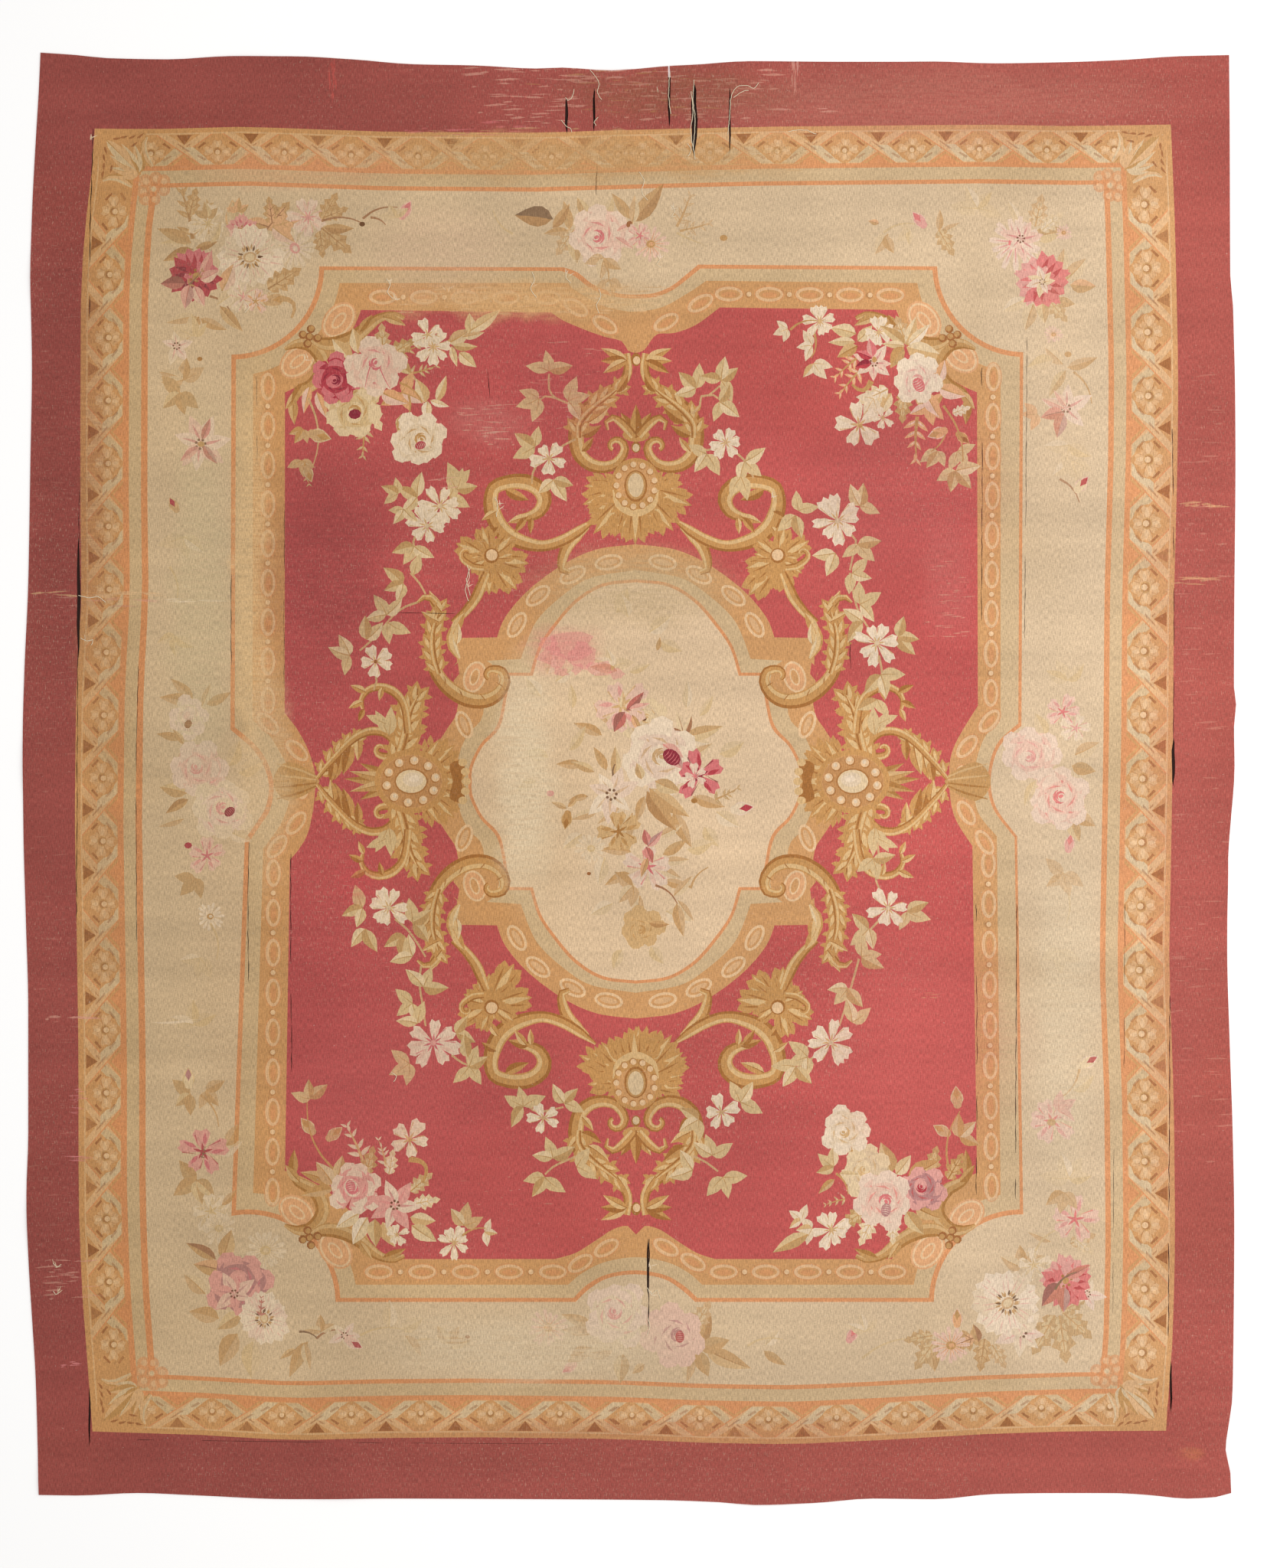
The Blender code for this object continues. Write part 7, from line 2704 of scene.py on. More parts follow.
    Sheaf(Kind.TWIG, GHOST_TONES, ((132.5, -154.2, 40, 12),)),
    Sheaf(Kind.BLOSSOM, SALMON_TONES, ((145.5, -143.8, 10, 6.6),)),
    Sheaf(Kind.POPPY, ROSE_TONES, ((142.5, -163.8, 60, 8.6),)),
    Sheaf(Kind.LEAF, CRIMSON_TONES, ((140.5, -164.8, 225, 9.4),), wide=0.56),
    Sheaf(Kind.LEAF, DUSTY_TONES, ((142.0, -165.8, 262, 8.4),), wide=0.56),
    Sheaf(Kind.LEAF, CRIMSON_TONES, ((142.5, -162.8, 20, 9),)),
    Sheaf(Kind.TWIG, UMBER_TONES, ((139.0, -166.8, 40, 9),)),
    Sheaf(Kind.SPRIG, GHOST_TONES, ((143.5, -130.8, 90, 8.4),), parts=4),
    Sheaf(Kind.SPRIG, FADED_TONES, ((142.0, -134.8, 260, 7),)),
    Sheaf(Kind.BLOSSOM, FAINT_TONES, ((145.8, 16.5, 0, 4.6),)),
    Sheaf(Kind.LEAF, FADED_TONES, ((145.5, 7.8, 20, 9),), wide=0.56),
    Sheaf(Kind.LEAF, GHOST_TONES, ((136.0, 14.2, 110, 8),), wide=0.56),
    Sheaf(Kind.ROSE, PALE_PINK_TONES, ((131.2, 8.0, 200, 8.2),)),
    Sheaf(Kind.ROSE, PINK_TONES, ((140.0, -6.8, 20, 8.6),)),
    Sheaf(Kind.LEAF, GHOST_TONES, ((132.5, -0.8, 240, 9),)),
    Sheaf(Kind.BUD, Tones(Yarn.BLUSH_PALE, Yarn.LEAF_LIGHT, Yarn.CRIMSON), ((147.5, -93.8, 30, 6.4),)),
    Sheaf(Kind.BLOSSOM, Tones(Yarn.BLUSH, Yarn.ROSE_LIGHT, Yarn.ROSE), ((138.0, -111.8, 40, 6.8),)),
    Sheaf(Kind.SPRIG, SALMON_TONES, ((140.0, -108.8, 40, 6.4),)),
    Sheaf(Kind.SPECK, OLIVE_TONES, ((137.8, -112.2, 0, 3),)),
)


@dataclass
class CornerScrolls:
    """Brown scrolls and berries between the frame's hollow corners and the bouquets."""

    across: float = 0.25
    over: float = -2.75
    ring: tuple[Point, ...] = (
        (-112.5, 140.2), (-109.0, 141.8), (-105.0, 141.8), (-101.8, 139.5), (-100.0, 135.8),
        (-101.0, 131.5), (-104.0, 128.2), (-108.0, 126.2), (-110.5, 123.2),
    )
    arm: tuple[Point, ...] = (
        (-104.5, 144.2), (-100.5, 142.0), (-95.5, 142.0), (-90.2, 144.0), (-86.2, 146.8), (-83.0, 149.5),
        (-79.8, 151.0), (-76.5, 151.5), (-73.5, 150.2),
    )

    def draw(self, cartoon: Cartoon) -> None:
        """Adds the scrolls of all four corners."""
        cartoon.four_ways(self.across, self.over, self.draw_one)

    def draw_one(self, cartoon: Cartoon) -> None:
        """Adds the upper left corner's scrolls.

        Args:
            cartoon: The drawing that is added to.
        """
        tones = OCHRE_TONES
        cartoon.scroll(smooth(self.ring), (1.0, 3.6, 4.6, 4.6, 4.4, 3.6, 2.0), tones, 1)
        cartoon.scroll(smooth(self.arm), (2.0, 4.4, 4.8, 4.4, 3.6, 2.4, 1.4), tones, -1)
        cartoon.leaf(Spot(-80.5, 150.8, 350.0), 8.0, 3.0, tones, -1.6)
        cartoon.leaf(Spot(-88.0, 145.8, 62.0), 7.0, 2.6, tones, -1.0)
        cartoon.leaf(Spot(-109.5, 124.2, 262.0), 8.6, 3.4, tones, 1.4)
        cartoon.leaf(Spot(-107.5, 126.2, 222.0), 7.4, 3.0, tones, 1.0)
        for u, v in ((0.0, 0.0), (2.2, 1.4), (1.6, -2.2), (-2.0, -1.2), (-1.0, 2.0)):
            x, y = Spot(-104.5, 144.2, 45.0).put([(u, v)])[0]
            cartoon.fill(oval(x, y, 2.8, 2.8, sides=9), Yarn.BROWN)
            cartoon.fill(oval(x + 0.2, y + 0.2, 1.9, 1.9, sides=8), Yarn.OCHRE)


@dataclass(frozen=True)
class WornArea:
    """A scatter of worn dashes over a rectangle: middle, full width and height, and how many."""

    x: float
    y: float
    wide: float
    high: float
    count: int
    yarn: Yarn = Yarn.LINEN
    cover: float = 0.4
    length: float = 5.0
    upright: bool = False


@dataclass
class Wear:
    """Wear of the cloth: worn dashes, open joints, mending stitches and runs of a spilt stain."""

    areas: tuple[WornArea, ...] = (
        WornArea(-3.0, 223.0, 105.0, 18.0, 90, Yarn.ROSE_LIGHT, 0.40, 7.0),
        WornArea(-5.5, 224.2, 60.0, 16.0, 18, Yarn.OCHRE, 0.35, 6.0),
        WornArea(-5.5, 205.5, 120.0, 14.0, 70, Yarn.OCHRE_PALE, 0.42, 8.0),
        WornArea(-45.5, 211.8, 30.0, 5.0, 9, Yarn.ROSE, 0.5, 8.0),
        WornArea(-65.5, 211.2, 18.0, 3.0, 6, Yarn.ROSE, 0.4, 6.0),
        WornArea(-35.5, 156.2, 86.0, 9.0, 60, Yarn.PEACH_LIGHT, 0.5, 6.5),
        WornArea(-30.5, 156.2, 80.0, 9.0, 22, Yarn.OCHRE, 0.4, 5.0),
        WornArea(-30.5, 171.8, 40.0, 8.0, 14, Yarn.WHITE, 0.4, 3.0),
        WornArea(-49.0, 117.2, 16.0, 10.0, 18, Yarn.BLUSH, 0.30, 5.0),
        WornArea(-44.0, 110.8, 12.0, 5.0, 8, Yarn.BLUSH, 0.30, 5.0),
        WornArea(-62.8, 96.2, 8.0, 5.0, 6, Yarn.ROSE_LIGHT, 0.5, 5.0),
        WornArea(-21.8, 128.0, 22.0, 30.0, 34, Yarn.BLUSH, 0.22, 4.0),
        WornArea(102.5, 59.2, 13.0, 26.0, 24, Yarn.BLUSH, 0.25, 4.0),
        WornArea(-33.0, 64.2, 50.0, 30.0, 22, Yarn.BLUSH, 0.18, 3.0),
        WornArea(-88.0, -48.2, 30.0, 44.0, 22, Yarn.BLUSH, 0.15, 3.0),
        WornArea(-176.0, 60.0, 40.0, 1.4, 14, Yarn.PEACH_LIGHT, 0.55, 8.0),
        WornArea(-177.5, 57.8, 34.0, 3.0, 8, Yarn.ROSE_LIGHT, 0.35, 8.0),
        WornArea(-148.0, 58.0, 16.0, 1.0, 5, Yarn.WHITE, 0.6, 8.0),
        WornArea(-148.0, -79.5, 17.0, 1.0, 5, Yarn.WHITE, 0.6, 8.0),
        WornArea(-187.5, -77.8, 15.0, 1.6, 6, Yarn.ROSE_LIGHT, 0.45, 7.0),
        WornArea(184.8, 89.5, 12.0, 1.6, 7, Yarn.PEACH, 0.55, 8.0),
        WornArea(182.5, 64.8, 12.0, 2.2, 8, Yarn.PEACH, 0.5, 8.0),
        WornArea(-182.0, -105.0, 3.6, 9.0, 12, Yarn.PINK_STAIN, 0.5, 3.2),
        WornArea(-182.8, -123.8, 7.0, 1.6, 4, Yarn.PINK_STAIN, 0.5, 5.0),
        WornArea(-187.0, -163.8, 16.0, 14.0, 18, Yarn.ROSE_LIGHT, 0.45, 6.0),
        WornArea(-184.2, -191.2, 5.0, 3.0, 5, Yarn.PINK_STAIN, 0.6, 4.0),
        WornArea(96.5, -70.8, 4.0, 2.0, 4, Yarn.PEACH, 0.7, 3.0),
        WornArea(-55.5, -135.8, 60.0, 12.0, 14, Yarn.BLUSH, 0.15, 4.0),
        WornArea(183.2, 4.2, 18.0, 260.0, 60, Yarn.ROSE_LIGHT, 0.16, 6.0),
        WornArea(-186.8, 4.2, 18.0, 300.0, 60, Yarn.ROSE_LIGHT, 0.12, 5.0),
        WornArea(-96.8, 226.2, 2.4, 16.0, 9, Yarn.CORAL, 0.4, 7.0, True),
        WornArea(54.0, 225.8, 1.8, 16.0, 7, Yarn.ROSE_LIGHT, 0.4, 7.0, True),
        WornArea(62.0, 217.8, 6.0, 2.0, 4, Yarn.ROSE_LIGHT, 0.45, 5.0),
        WornArea(-3.0, 216.8, 54.0, 20.0, 30, Yarn.UMBER, 0.22, 3.5, True),
        WornArea(0.0, 34.2, 150.0, 260.0, 260, Yarn.LINEN, 0.24, 1.1, True),
        WornArea(0.0, -58.2, 200.0, 260.0, 260, Yarn.LINEN, 0.20, 1.0, True),
        WornArea(0.0, 129.2, 190.0, 70.0, 200, Yarn.LINEN, 0.30, 1.5, True),
    )
    joints: tuple[tuple[Outline, float], ...] = (
        ([(-121.8, 138.8), (-121.6, 119.2), (-121.5, 99.8)], 0.30),
        ([(-129.8, 81.8), (-130.0, 54.2), (-129.8, 18.0)], 0.30),
        ([(-124.2, -20.8), (-124.5, -45.8), (-124.2, -68.2)], 0.30),
        ([(-110.5, -24.5), (-110.5, -58.2), (-110.2, -95.8)], 0.30),
        ([(-112.5, 94.2), (-112.8, 54.2), (-112.5, 21.8)], 0.20),
        ([(-160.2, 36.8), (-161.0, 4.2), (-160.8, -55.8)], 0.22),
        ([(-179.5, 94.2), (-180.0, 54.2), (-180.2, 4.2), (-180.5, -45.8)], 0.30),
        ([(115.0, 134.2), (115.2, 91.8), (114.8, 41.8)], 0.30),
        ([(129.8, 144.2), (129.5, 94.2), (129.0, 41.8)], 0.22),
        ([(113.2, -40.8), (113.5, -90.8), (113.2, -135.8)], 0.30),
        ([(126.5, -40.8), (126.2, -90.8), (126.0, -138.2)], 0.28),
        ([(161.8, -40.8), (161.5, -95.8)], 0.20),
        ([(158.2, -120.8), (157.8, -175.8)], 0.18),
        ([(177.2, 114.2), (177.8, 64.2), (177.5, -2.5)], 0.34),
        ([(176.5, -70.8), (176.2, -135.8), (176.0, -182.0)], 0.34),
        ([(-75.5, 54.2), (-55.5, 53.8)], 0.22),
        ([(72.0, 44.8), (72.5, 29.2)], 0.26),
        ([(-175.0, 212.2), (-176.0, 179.2), (-176.2, 149.2)], 0.34),
        ([(-160.5, -215.8), (-80.5, -216.8), (-5.5, -217.2)], 0.22),
        ([(-10.5, 200.5), (-11.0, 188.8)], 0.34),
        ([(6.5, -143.2), (6.2, -180.8)], 0.50),
        ([(-20.5, 36.8), (-16.5, 28.0)], 0.30),
        ([(-52.5, 56.8), (-54.0, 51.2), (-54.5, 45.2)], 0.40),
        ([(-46.2, 132.8), (-45.5, 124.2)], 0.26),
    )
    stitches: tuple[Point, ...] = (
        (-43.0, 88.2), (-175.5, 209.0), (-125.0, 153.5), (-78.5, 161.8), (-77.5, 157.2), (-31.8, 161.2),
        (-20.0, 163.8), (-10.0, 156.2), (9.5, 169.8), (14.2, 185.8), (7.5, -168.5), (-177.5, 44.8),
        (-187.0, -159.2), (-187.0, -168.0), (-52.8, 63.0), (-43.5, 90.5), (47.0, 91.8), (9.5, 224.2),
        (-76.5, 156.2), (-59.2, 159.2), (6.5, -159.5), (-105.5, 136.8),
    )
    drips: tuple[tuple[float, float, float, float], ...] = (
        (-20.0, 43.8, 15.0, 9.0), (-25.5, 39.8, 9.0, 6.6), (-15.0, 40.2, 9.0, 8.0), (-17.0, 35.8, 3.4, 4.0),
        (-9.5, 36.2, 8.0, 5.0), (-22.2, 34.8, 5.0, 3.0), (-4.0, 34.2, 5.0, 3.4), (-26.5, 44.2, 6.0, 4.0),
    )

    def draw(self, cartoon: Cartoon) -> None:
        """Adds the stain, the worn dashes, the open joints and the stitches.

        Args:
            cartoon: The drawing that is added to.
        """
        for x, y, wide, high in self.drips:
            blot = []
            for step in range(13):
                angle = 2 * math.pi * step / 13
                reach = 0.5 + cartoon.jitter(0.16)
                blot.append((x + reach * wide * math.cos(angle), y + reach * high * math.sin(angle)))
            cartoon.fill(blot, Yarn.PINK_STAIN, 0.42)
        for area in self.areas:
            self.draw_area(cartoon, area)
        for line, width in self.joints:
            self.draw_joint(cartoon, line, width)
        for x, y in self.stitches:
            for turn in (75.0, 100.0, 8.0):
                spot = Spot(x + cartoon.jitter(0.8), y + cartoon.jitter(0.8), turn + cartoon.jitter(25.0))
                cartoon.fill(spot.put(leaf_shape(2.2, 0.34, 0.2)), Yarn.LINEN, 0.9)

    def draw_area(self, cartoon: Cartoon, area: WornArea) -> None:
        """Scatters short dashes, each thin at both ends, over one area.

        Args:
            cartoon: The drawing that is added to.
            area: The area and its dashes.
        """
        for _ in range(int(1.4 * area.count)):
            x = area.x + 0.5 * area.wide * cartoon.jitter(1.0)
            y = area.y + 0.5 * area.high * cartoon.jitter(1.0)
            length = area.length * (0.8 + cartoon.jitter(0.6))
            thick = min(0.05 * area.length, 0.4) * (0.8 + cartoon.jitter(0.5))
            spot = Spot(x, y, (90.0 if area.upright else 0.0) + cartoon.jitter(4.0))
            dash = [
                (0.0, 0.0), (0.3 * length, -thick), (0.7 * length, -0.7 * thick), (length, 0.0),
                (0.6 * length, thick),
            ]
            cartoon.fill(spot.put(dash), area.yarn, area.cover)

    def draw_joint(self, cartoon: Cartoon, line: Outline, width: float) -> None:
        """Opens a joint between two yarns as a dark line that comes and goes.

        Args:
            cartoon: The drawing that is added to.
            line: Points that the joint passes through.
            width: Its greatest width.
        """
        knots = smooth(line, 2.2)
        for start in range(0, len(knots) - 3, 4):
            if cartoon.random.random() < 0.74:
                piece = [(x + cartoon.jitter(0.12), y) for x, y in knots[start:start + 5]]
                cartoon.band(piece, (0.4 * width, width, 0.8 * width, 0.3 * width), Yarn.GAP)


@dataclass(frozen=True)
class TonePatch:
    """A soft patch of another tone: middle, full width and height in metres, 8-bit sRGB and strength."""

    x: float
    y: float
    wide: float
    high: float
    tone: tuple[int, int, int]
    strength: float


@dataclass(frozen=True)
class Mottle:
    """Uneven noise on the cloth: its scale for each axis, octaves, shift, and how it is mapped.

    Noise from low to high gives bottom to top.
    """

    scale: tuple[float, float, float]
    octaves: float
    shift: float
    low: float
    high: float
    bottom: float = 0.0
    top: float = 1.0


class NodeBench:
    """Puts shader nodes together with few words."""

    def __init__(self, tree: bpy.types.NodeTree) -> None:
        """Works on one node tree."""
        self.tree = tree

    def feed(self, socket: bpy.types.NodeSocket, value: object) -> None:
        """Links a socket to another one, or sets its value.

        Args:
            socket: The input.
            value: Another socket, or the input's own value.
        """
        if isinstance(value, bpy.types.NodeSocket):
            self.tree.links.new(value, socket)
        else:
            socket.default_value = value

    def math(self, operation: str, first: object, second: object = 0.0) -> bpy.types.NodeSocket:
        """Adds a math node and returns its result.

        Args:
            operation: The node's operation.
            first: The first value or socket.
            second: The second value or socket.

        Returns:
            The node's result.
        """
        node = self.tree.nodes.new("ShaderNodeMath")
        node.operation = operation
        self.feed(node.inputs[0], first)
        self.feed(node.inputs[1], second)
        return node.outputs[0]

    def scaled(
        self, vector: object, scale: Sequence[float], shift: Sequence[float] = (0.0, 0.0, 0.0)
    ) -> bpy.types.NodeSocket:
        """Multiplies a vector by a scale and adds a shift.

        Args:
            vector: The vector's socket.
            scale: Factor for each axis.
            shift: What is added to each axis.

        Returns:
            The node's result.
        """
        node = self.tree.nodes.new("ShaderNodeVectorMath")
        node.operation = "MULTIPLY_ADD"
        self.feed(node.inputs[0], vector)
        node.inputs[1].default_value = scale
        node.inputs[2].default_value = shift
        return node.outputs[0]

    def noise(
        self, vector: object, scale: Sequence[float], detail: float = 3.0, shift: float = 0.0
    ) -> bpy.types.NodeSocket:
        """Adds noise stretched by a scale for each axis.

        Args:
            vector: The vector's socket.
            scale: Factor for each axis.
            detail: Number of octaves.
            shift: How far the noise is moved, so that no two are alike.

        Returns:
            The noise, about 0.5.
        """
        node = self.tree.nodes.new("ShaderNodeTexNoise")
        self.feed(node.inputs["Vector"], self.scaled(vector, scale, (shift, 0.7 * shift, 0.0)))
        node.inputs["Scale"].default_value = 1.0
        node.inputs["Detail"].default_value = detail
        node.inputs["Roughness"].default_value = 0.55
        return node.outputs[0]

    def ramp(
        self, value: object, low: float, high: float, bottom: float = 0.0, top: float = 1.0
    ) -> bpy.types.NodeSocket:
        """Maps low..high onto bottom..top, smoothly and within it.

        Args:
            value: The value's socket.
            low: Value that gives bottom.
            high: Value that gives top.
            bottom: Result at low.
            top: Result at high.

        Returns:
            The node's result.
        """
        node = self.tree.nodes.new("ShaderNodeMapRange")
        node.interpolation_type = "SMOOTHSTEP"
        self.feed(node.inputs["Value"], value)
        node.inputs["From Min"].default_value = low
        node.inputs["From Max"].default_value = high
        node.inputs["To Min"].default_value = bottom
        node.inputs["To Max"].default_value = top
        return node.outputs["Result"]

    def mix(self, share: object, first: object, second: object, blend: str = "MIX") -> bpy.types.NodeSocket:
        """Mixes two colours, each a socket or a linear triple.

        Args:
            share: Share of the second colour.
            first: The first value or socket.
            second: The second value or socket.
            blend: The way in which the colours meet.

        Returns:
            The mixed colour.
        """
        node = self.tree.nodes.new("ShaderNodeMix")
        node.data_type = "RGBA"
        node.blend_type = blend
        self.feed(node.inputs["Factor"], share)
        for socket, value in ((node.inputs["A"], first), (node.inputs["B"], second)):
            self.feed(socket, value if isinstance(value, bpy.types.NodeSocket) else (*value, 1.0))
        return node.outputs["Result"]

    def mottled(self, place: object, mottle: Mottle) -> bpy.types.NodeSocket:
        """Adds a noise and maps it onto its range."""
        noise = self.noise(place, mottle.scale, mottle.octaves, mottle.shift)
        return self.ramp(noise, mottle.low, mottle.high, mottle.bottom, mottle.top)

    def grey(self, value: object) -> bpy.types.NodeSocket:
        """Turns a value into a grey colour.

        Args:
            value: The value's socket.

        Returns:
            The grey.
        """
        node = self.tree.nodes.new("ShaderNodeCombineColor")
        for channel in range(3):
            self.feed(node.inputs[channel], value)
        return node.outputs[0]


@dataclass(frozen=True)
class TapestryWool:
    """Finish of the woven cloth: its yarns' colours, ribs, wefts, painted light that brightens the right side
    and darkens the left, stains and wear.
    """

    roughness: float = 0.93
    # Painted light: colour factors for the shaded left and the lit right of the cloth.
    shaded_left_pale: tuple[float, float, float] = (0.93, 0.83, 0.76)
    lit_right_pale: tuple[float, float, float] = (1.04, 0.98, 1.04)
    shaded_left_red: tuple[float, float, float] = (1.00, 1.08, 0.96)
    lit_right_red: tuple[float, float, float] = (1.27, 1.36, 1.20)
    red_over_green: float = 2.2
    red_range: float = 0.10
    side_light_reach: float = 2.3
    bands: Mottle = Mottle((0.5, 11.0, 1.0), 2.0, 3.1, 0.25, 0.75, 0.95, 1.05)
    clouds: Mottle = Mottle((2.2, 2.2, 2.2), 3.0, 9.7, 0.25, 0.75, 0.92, 1.08)
    grime: Mottle = Mottle((1.4, 1.4, 1.4), 3.0, 21.0, 0.50, 0.72)
    grime_share: float = 0.24
    grime_tone: tuple[float, float, float] = (0.90, 0.84, 0.70)
    patch_wander: tuple[float, float, float] = (0.16, 0.12, 0.0)
    patch_wander_scale: tuple[float, float, float] = (7.0, 9.0, 1.0)
    streaks: Mottle = Mottle((14.0, 120.0, 1.0), 2.0, 5.0, 0.30, 0.62, 0.45, 1.0)
    patch_core: float = 0.35
    patch_edge: float = 1.15
    worn_regions: Mottle = Mottle((1.1, 1.1, 1.0), 2.0, 14.0, 0.38, 0.66, 0.25, 1.0)
    flecks: Mottle = Mottle((420.0, 60.0, 1.0), 1.0, 31.0, 0.62, 0.72)
    fleck_tone: tuple[float, float, float] = (0.80, 0.62, 0.45)
    flecks_on_pale: float = 0.16
    flecks_on_red: float = 0.34
    dashes: Mottle = Mottle((36.0, 420.0, 1.0), 1.0, 37.0, 0.64, 0.74)
    dash_tone: tuple[float, float, float] = (0.78, 0.56, 0.42)
    dash_share: float = 0.24
    lint: Mottle = Mottle((90.0, 90.0, 1.0), 1.0, 43.0, 0.74, 0.80)
    lint_tone: tuple[float, float, float] = (0.88, 0.80, 0.66)
    lint_share: float = 0.2
    warp_scale: tuple[float, float, float] = (380.0, 60.0, 1.0)
    weft_scale: tuple[float, float, float] = (90.0, 640.0, 1.0)
    warp_share: float = 0.6
    grain: float = 0.28
    relief: float = 0.55
    relief_depth: float = 0.0016
    specular: float = 0.25
    stains_and_side_light: tuple[TonePatch, ...] = (
        TonePatch(-0.22, 0.43, 0.30, 0.17, (226, 136, 128), 0.50),
        TonePatch(-0.90, -0.34, 0.17, 0.15, (206, 84, 86), 0.50),
        TonePatch(-0.98, 0.66, 0.50, 0.90, (132, 62, 60), 0.40),
        TonePatch(-0.14, 2.03, 1.60, 0.17, (206, 160, 108), 0.85),
        TonePatch(0.15, 2.24, 0.90, 0.20, (152, 94, 70), 0.60),
        TonePatch(-0.34, 1.56, 1.00, 0.16, (224, 178, 124), 0.85),
        TonePatch(-0.62, 1.72, 0.55, 0.36, (226, 186, 156), 0.32),
        TonePatch(-1.05, 2.00, 0.80, 0.16, (222, 160, 118), 0.38),
        TonePatch(-0.47, 1.16, 0.34, 0.18, (206, 128, 118), 0.40),
        TonePatch(-0.20, 1.28, 0.40, 0.44, (176, 82, 82), 0.40),
        TonePatch(1.04, 0.66, 0.20, 0.46, (202, 116, 110), 0.38),
        TonePatch(-1.30, -0.50, 0.26, 2.30, (178, 134, 92), 0.12),
        # Painted shade: these two rows darken the gold border and the red surround along the left side.
        TonePatch(-1.72, 0.30, 0.18, 3.00, (184, 134, 90), 0.30),
        TonePatch(-1.84, 1.05, 0.30, 1.80, (134, 66, 60), 0.35),
        TonePatch(1.00, 2.20, 1.70, 0.30, (204, 134, 116), 0.38),
        TonePatch(-0.34, 0.00, 0.23, 0.90, (238, 216, 180), 0.70),
        TonePatch(0.02, 0.62, 0.74, 0.30, (200, 172, 130), 0.60),
        TonePatch(-1.40, 0.60, 0.24, 1.50, (202, 186, 142), 0.35),
        TonePatch(-1.23, 0.66, 0.15, 1.70, (236, 196, 142), 0.70),
        TonePatch(-1.18, 0.02, 0.17, 0.90, (224, 192, 148), 0.50),
        # Painted light: this row lightens the red surround along the right side.
        TonePatch(1.80, -0.20, 0.24, 3.40, (200, 104, 96), 0.25),
        TonePatch(0.95, -0.85, 0.70, 0.90, (214, 108, 102), 0.34),
        TonePatch(1.83, -2.20, 0.12, 0.06, (206, 124, 88), 0.60),
        TonePatch(0.10, -2.17, 2.40, 0.20, (170, 88, 76), 0.30),
        TonePatch(1.40, 1.20, 0.20, 1.00, (226, 196, 160), 0.30),
        TonePatch(-0.34, -1.85, 1.10, 0.26, (226, 202, 167), 0.75),
        TonePatch(1.42, -0.75, 0.24, 1.20, (230, 210, 178), 0.45),
        TonePatch(0.93, 0.95, 0.70, 0.70, (172, 92, 90), 0.32),
        TonePatch(-0.86, -1.05, 0.60, 0.60, (206, 102, 98), 0.35),
    )

    def material(self) -> bpy.types.Material:
        """Builds the cloth's material.

        Returns:
            The material.
        """
        material = bpy.data.materials.new("tapestry_wool")
        material.use_nodes = True
        bench = NodeBench(material.node_tree)
        shader = material.node_tree.nodes["Principled BSDF"]
        place = material.node_tree.nodes.new("ShaderNodeTexCoord").outputs["Object"]
        yarn = material.node_tree.nodes.new("ShaderNodeAttribute")
        yarn.attribute_name = "yarn"
        colour = yarn.outputs["Color"]
        parts = material.node_tree.nodes.new("ShaderNodeSeparateColor")
        bench.feed(parts.inputs[0], colour)
        green = bench.math("MULTIPLY", parts.outputs["Green"], self.red_over_green)
        redness = bench.ramp(bench.math("SUBTRACT", parts.outputs["Red"], green), 0.0, self.red_range)
        # Painted light, brighter towards the right and darker on the left, then uneven bands, clouds and
        # grime.
        colour = self.fade(bench, place, redness, colour)
        colour = self.stained_and_side_lit(bench, place, colour)
        weave = self.weave(bench, place)
        colour = self.worn(bench, place, redness, colour)
        grain = bench.ramp(weave, 0.25, 0.75, 1.0 - self.grain, 1.0 + self.grain)
        colour = bench.mix(1.0, colour, bench.grey(grain), "MULTIPLY")
        bump = material.node_tree.nodes.new("ShaderNodeBump")
        bump.inputs["Strength"].default_value = self.relief
        bump.inputs["Distance"].default_value = self.relief_depth
        bench.feed(bump.inputs["Height"], weave)
        bench.feed(shader.inputs["Normal"], bump.outputs["Normal"])
        bench.feed(shader.inputs["Base Color"], colour)
        shader.inputs["Roughness"].default_value = self.roughness
        shader.inputs["Specular IOR Level"].default_value = self.specular
        return material

    def fade(
        self, bench: NodeBench, place: object, redness: object, colour: object
    ) -> bpy.types.NodeSocket:
        """Paints light onto the yarns, brighter and warmer towards the right and darker on the left, and
        varies them in bands along the weft and in clouds.

        Args:
            bench: The material's node tree.
            place: Places on the cloth, in metres.
            redness: 1 on red yarns and 0 on the others.
            colour: The colour so far.

        Returns:
            The colour with its painted side light, uneven bands and grime.
        """
        split = bench.tree.nodes.new("ShaderNodeSeparateXYZ")
        bench.feed(split.inputs[0], place)
        # Painted light and shade: the yarns brighten and warm towards the right and darken towards the left.
        side = bench.ramp(split.outputs["X"], -self.side_light_reach, self.side_light_reach)
        pale = bench.mix(side, self.shaded_left_pale, self.lit_right_pale)
        red = bench.mix(side, self.shaded_left_red, self.lit_right_red)
        colour = bench.mix(1.0, colour, bench.mix(redness, pale, red), "MULTIPLY")
        uneven = bench.math("MULTIPLY", bench.mottled(place, self.bands), bench.mottled(place, self.clouds))
        colour = bench.mix(1.0, colour, bench.grey(uneven), "MULTIPLY")
        grime = bench.math("MULTIPLY", bench.mottled(place, self.grime), self.grime_share)
        return bench.mix(grime, colour, self.grime_tone, "MULTIPLY")

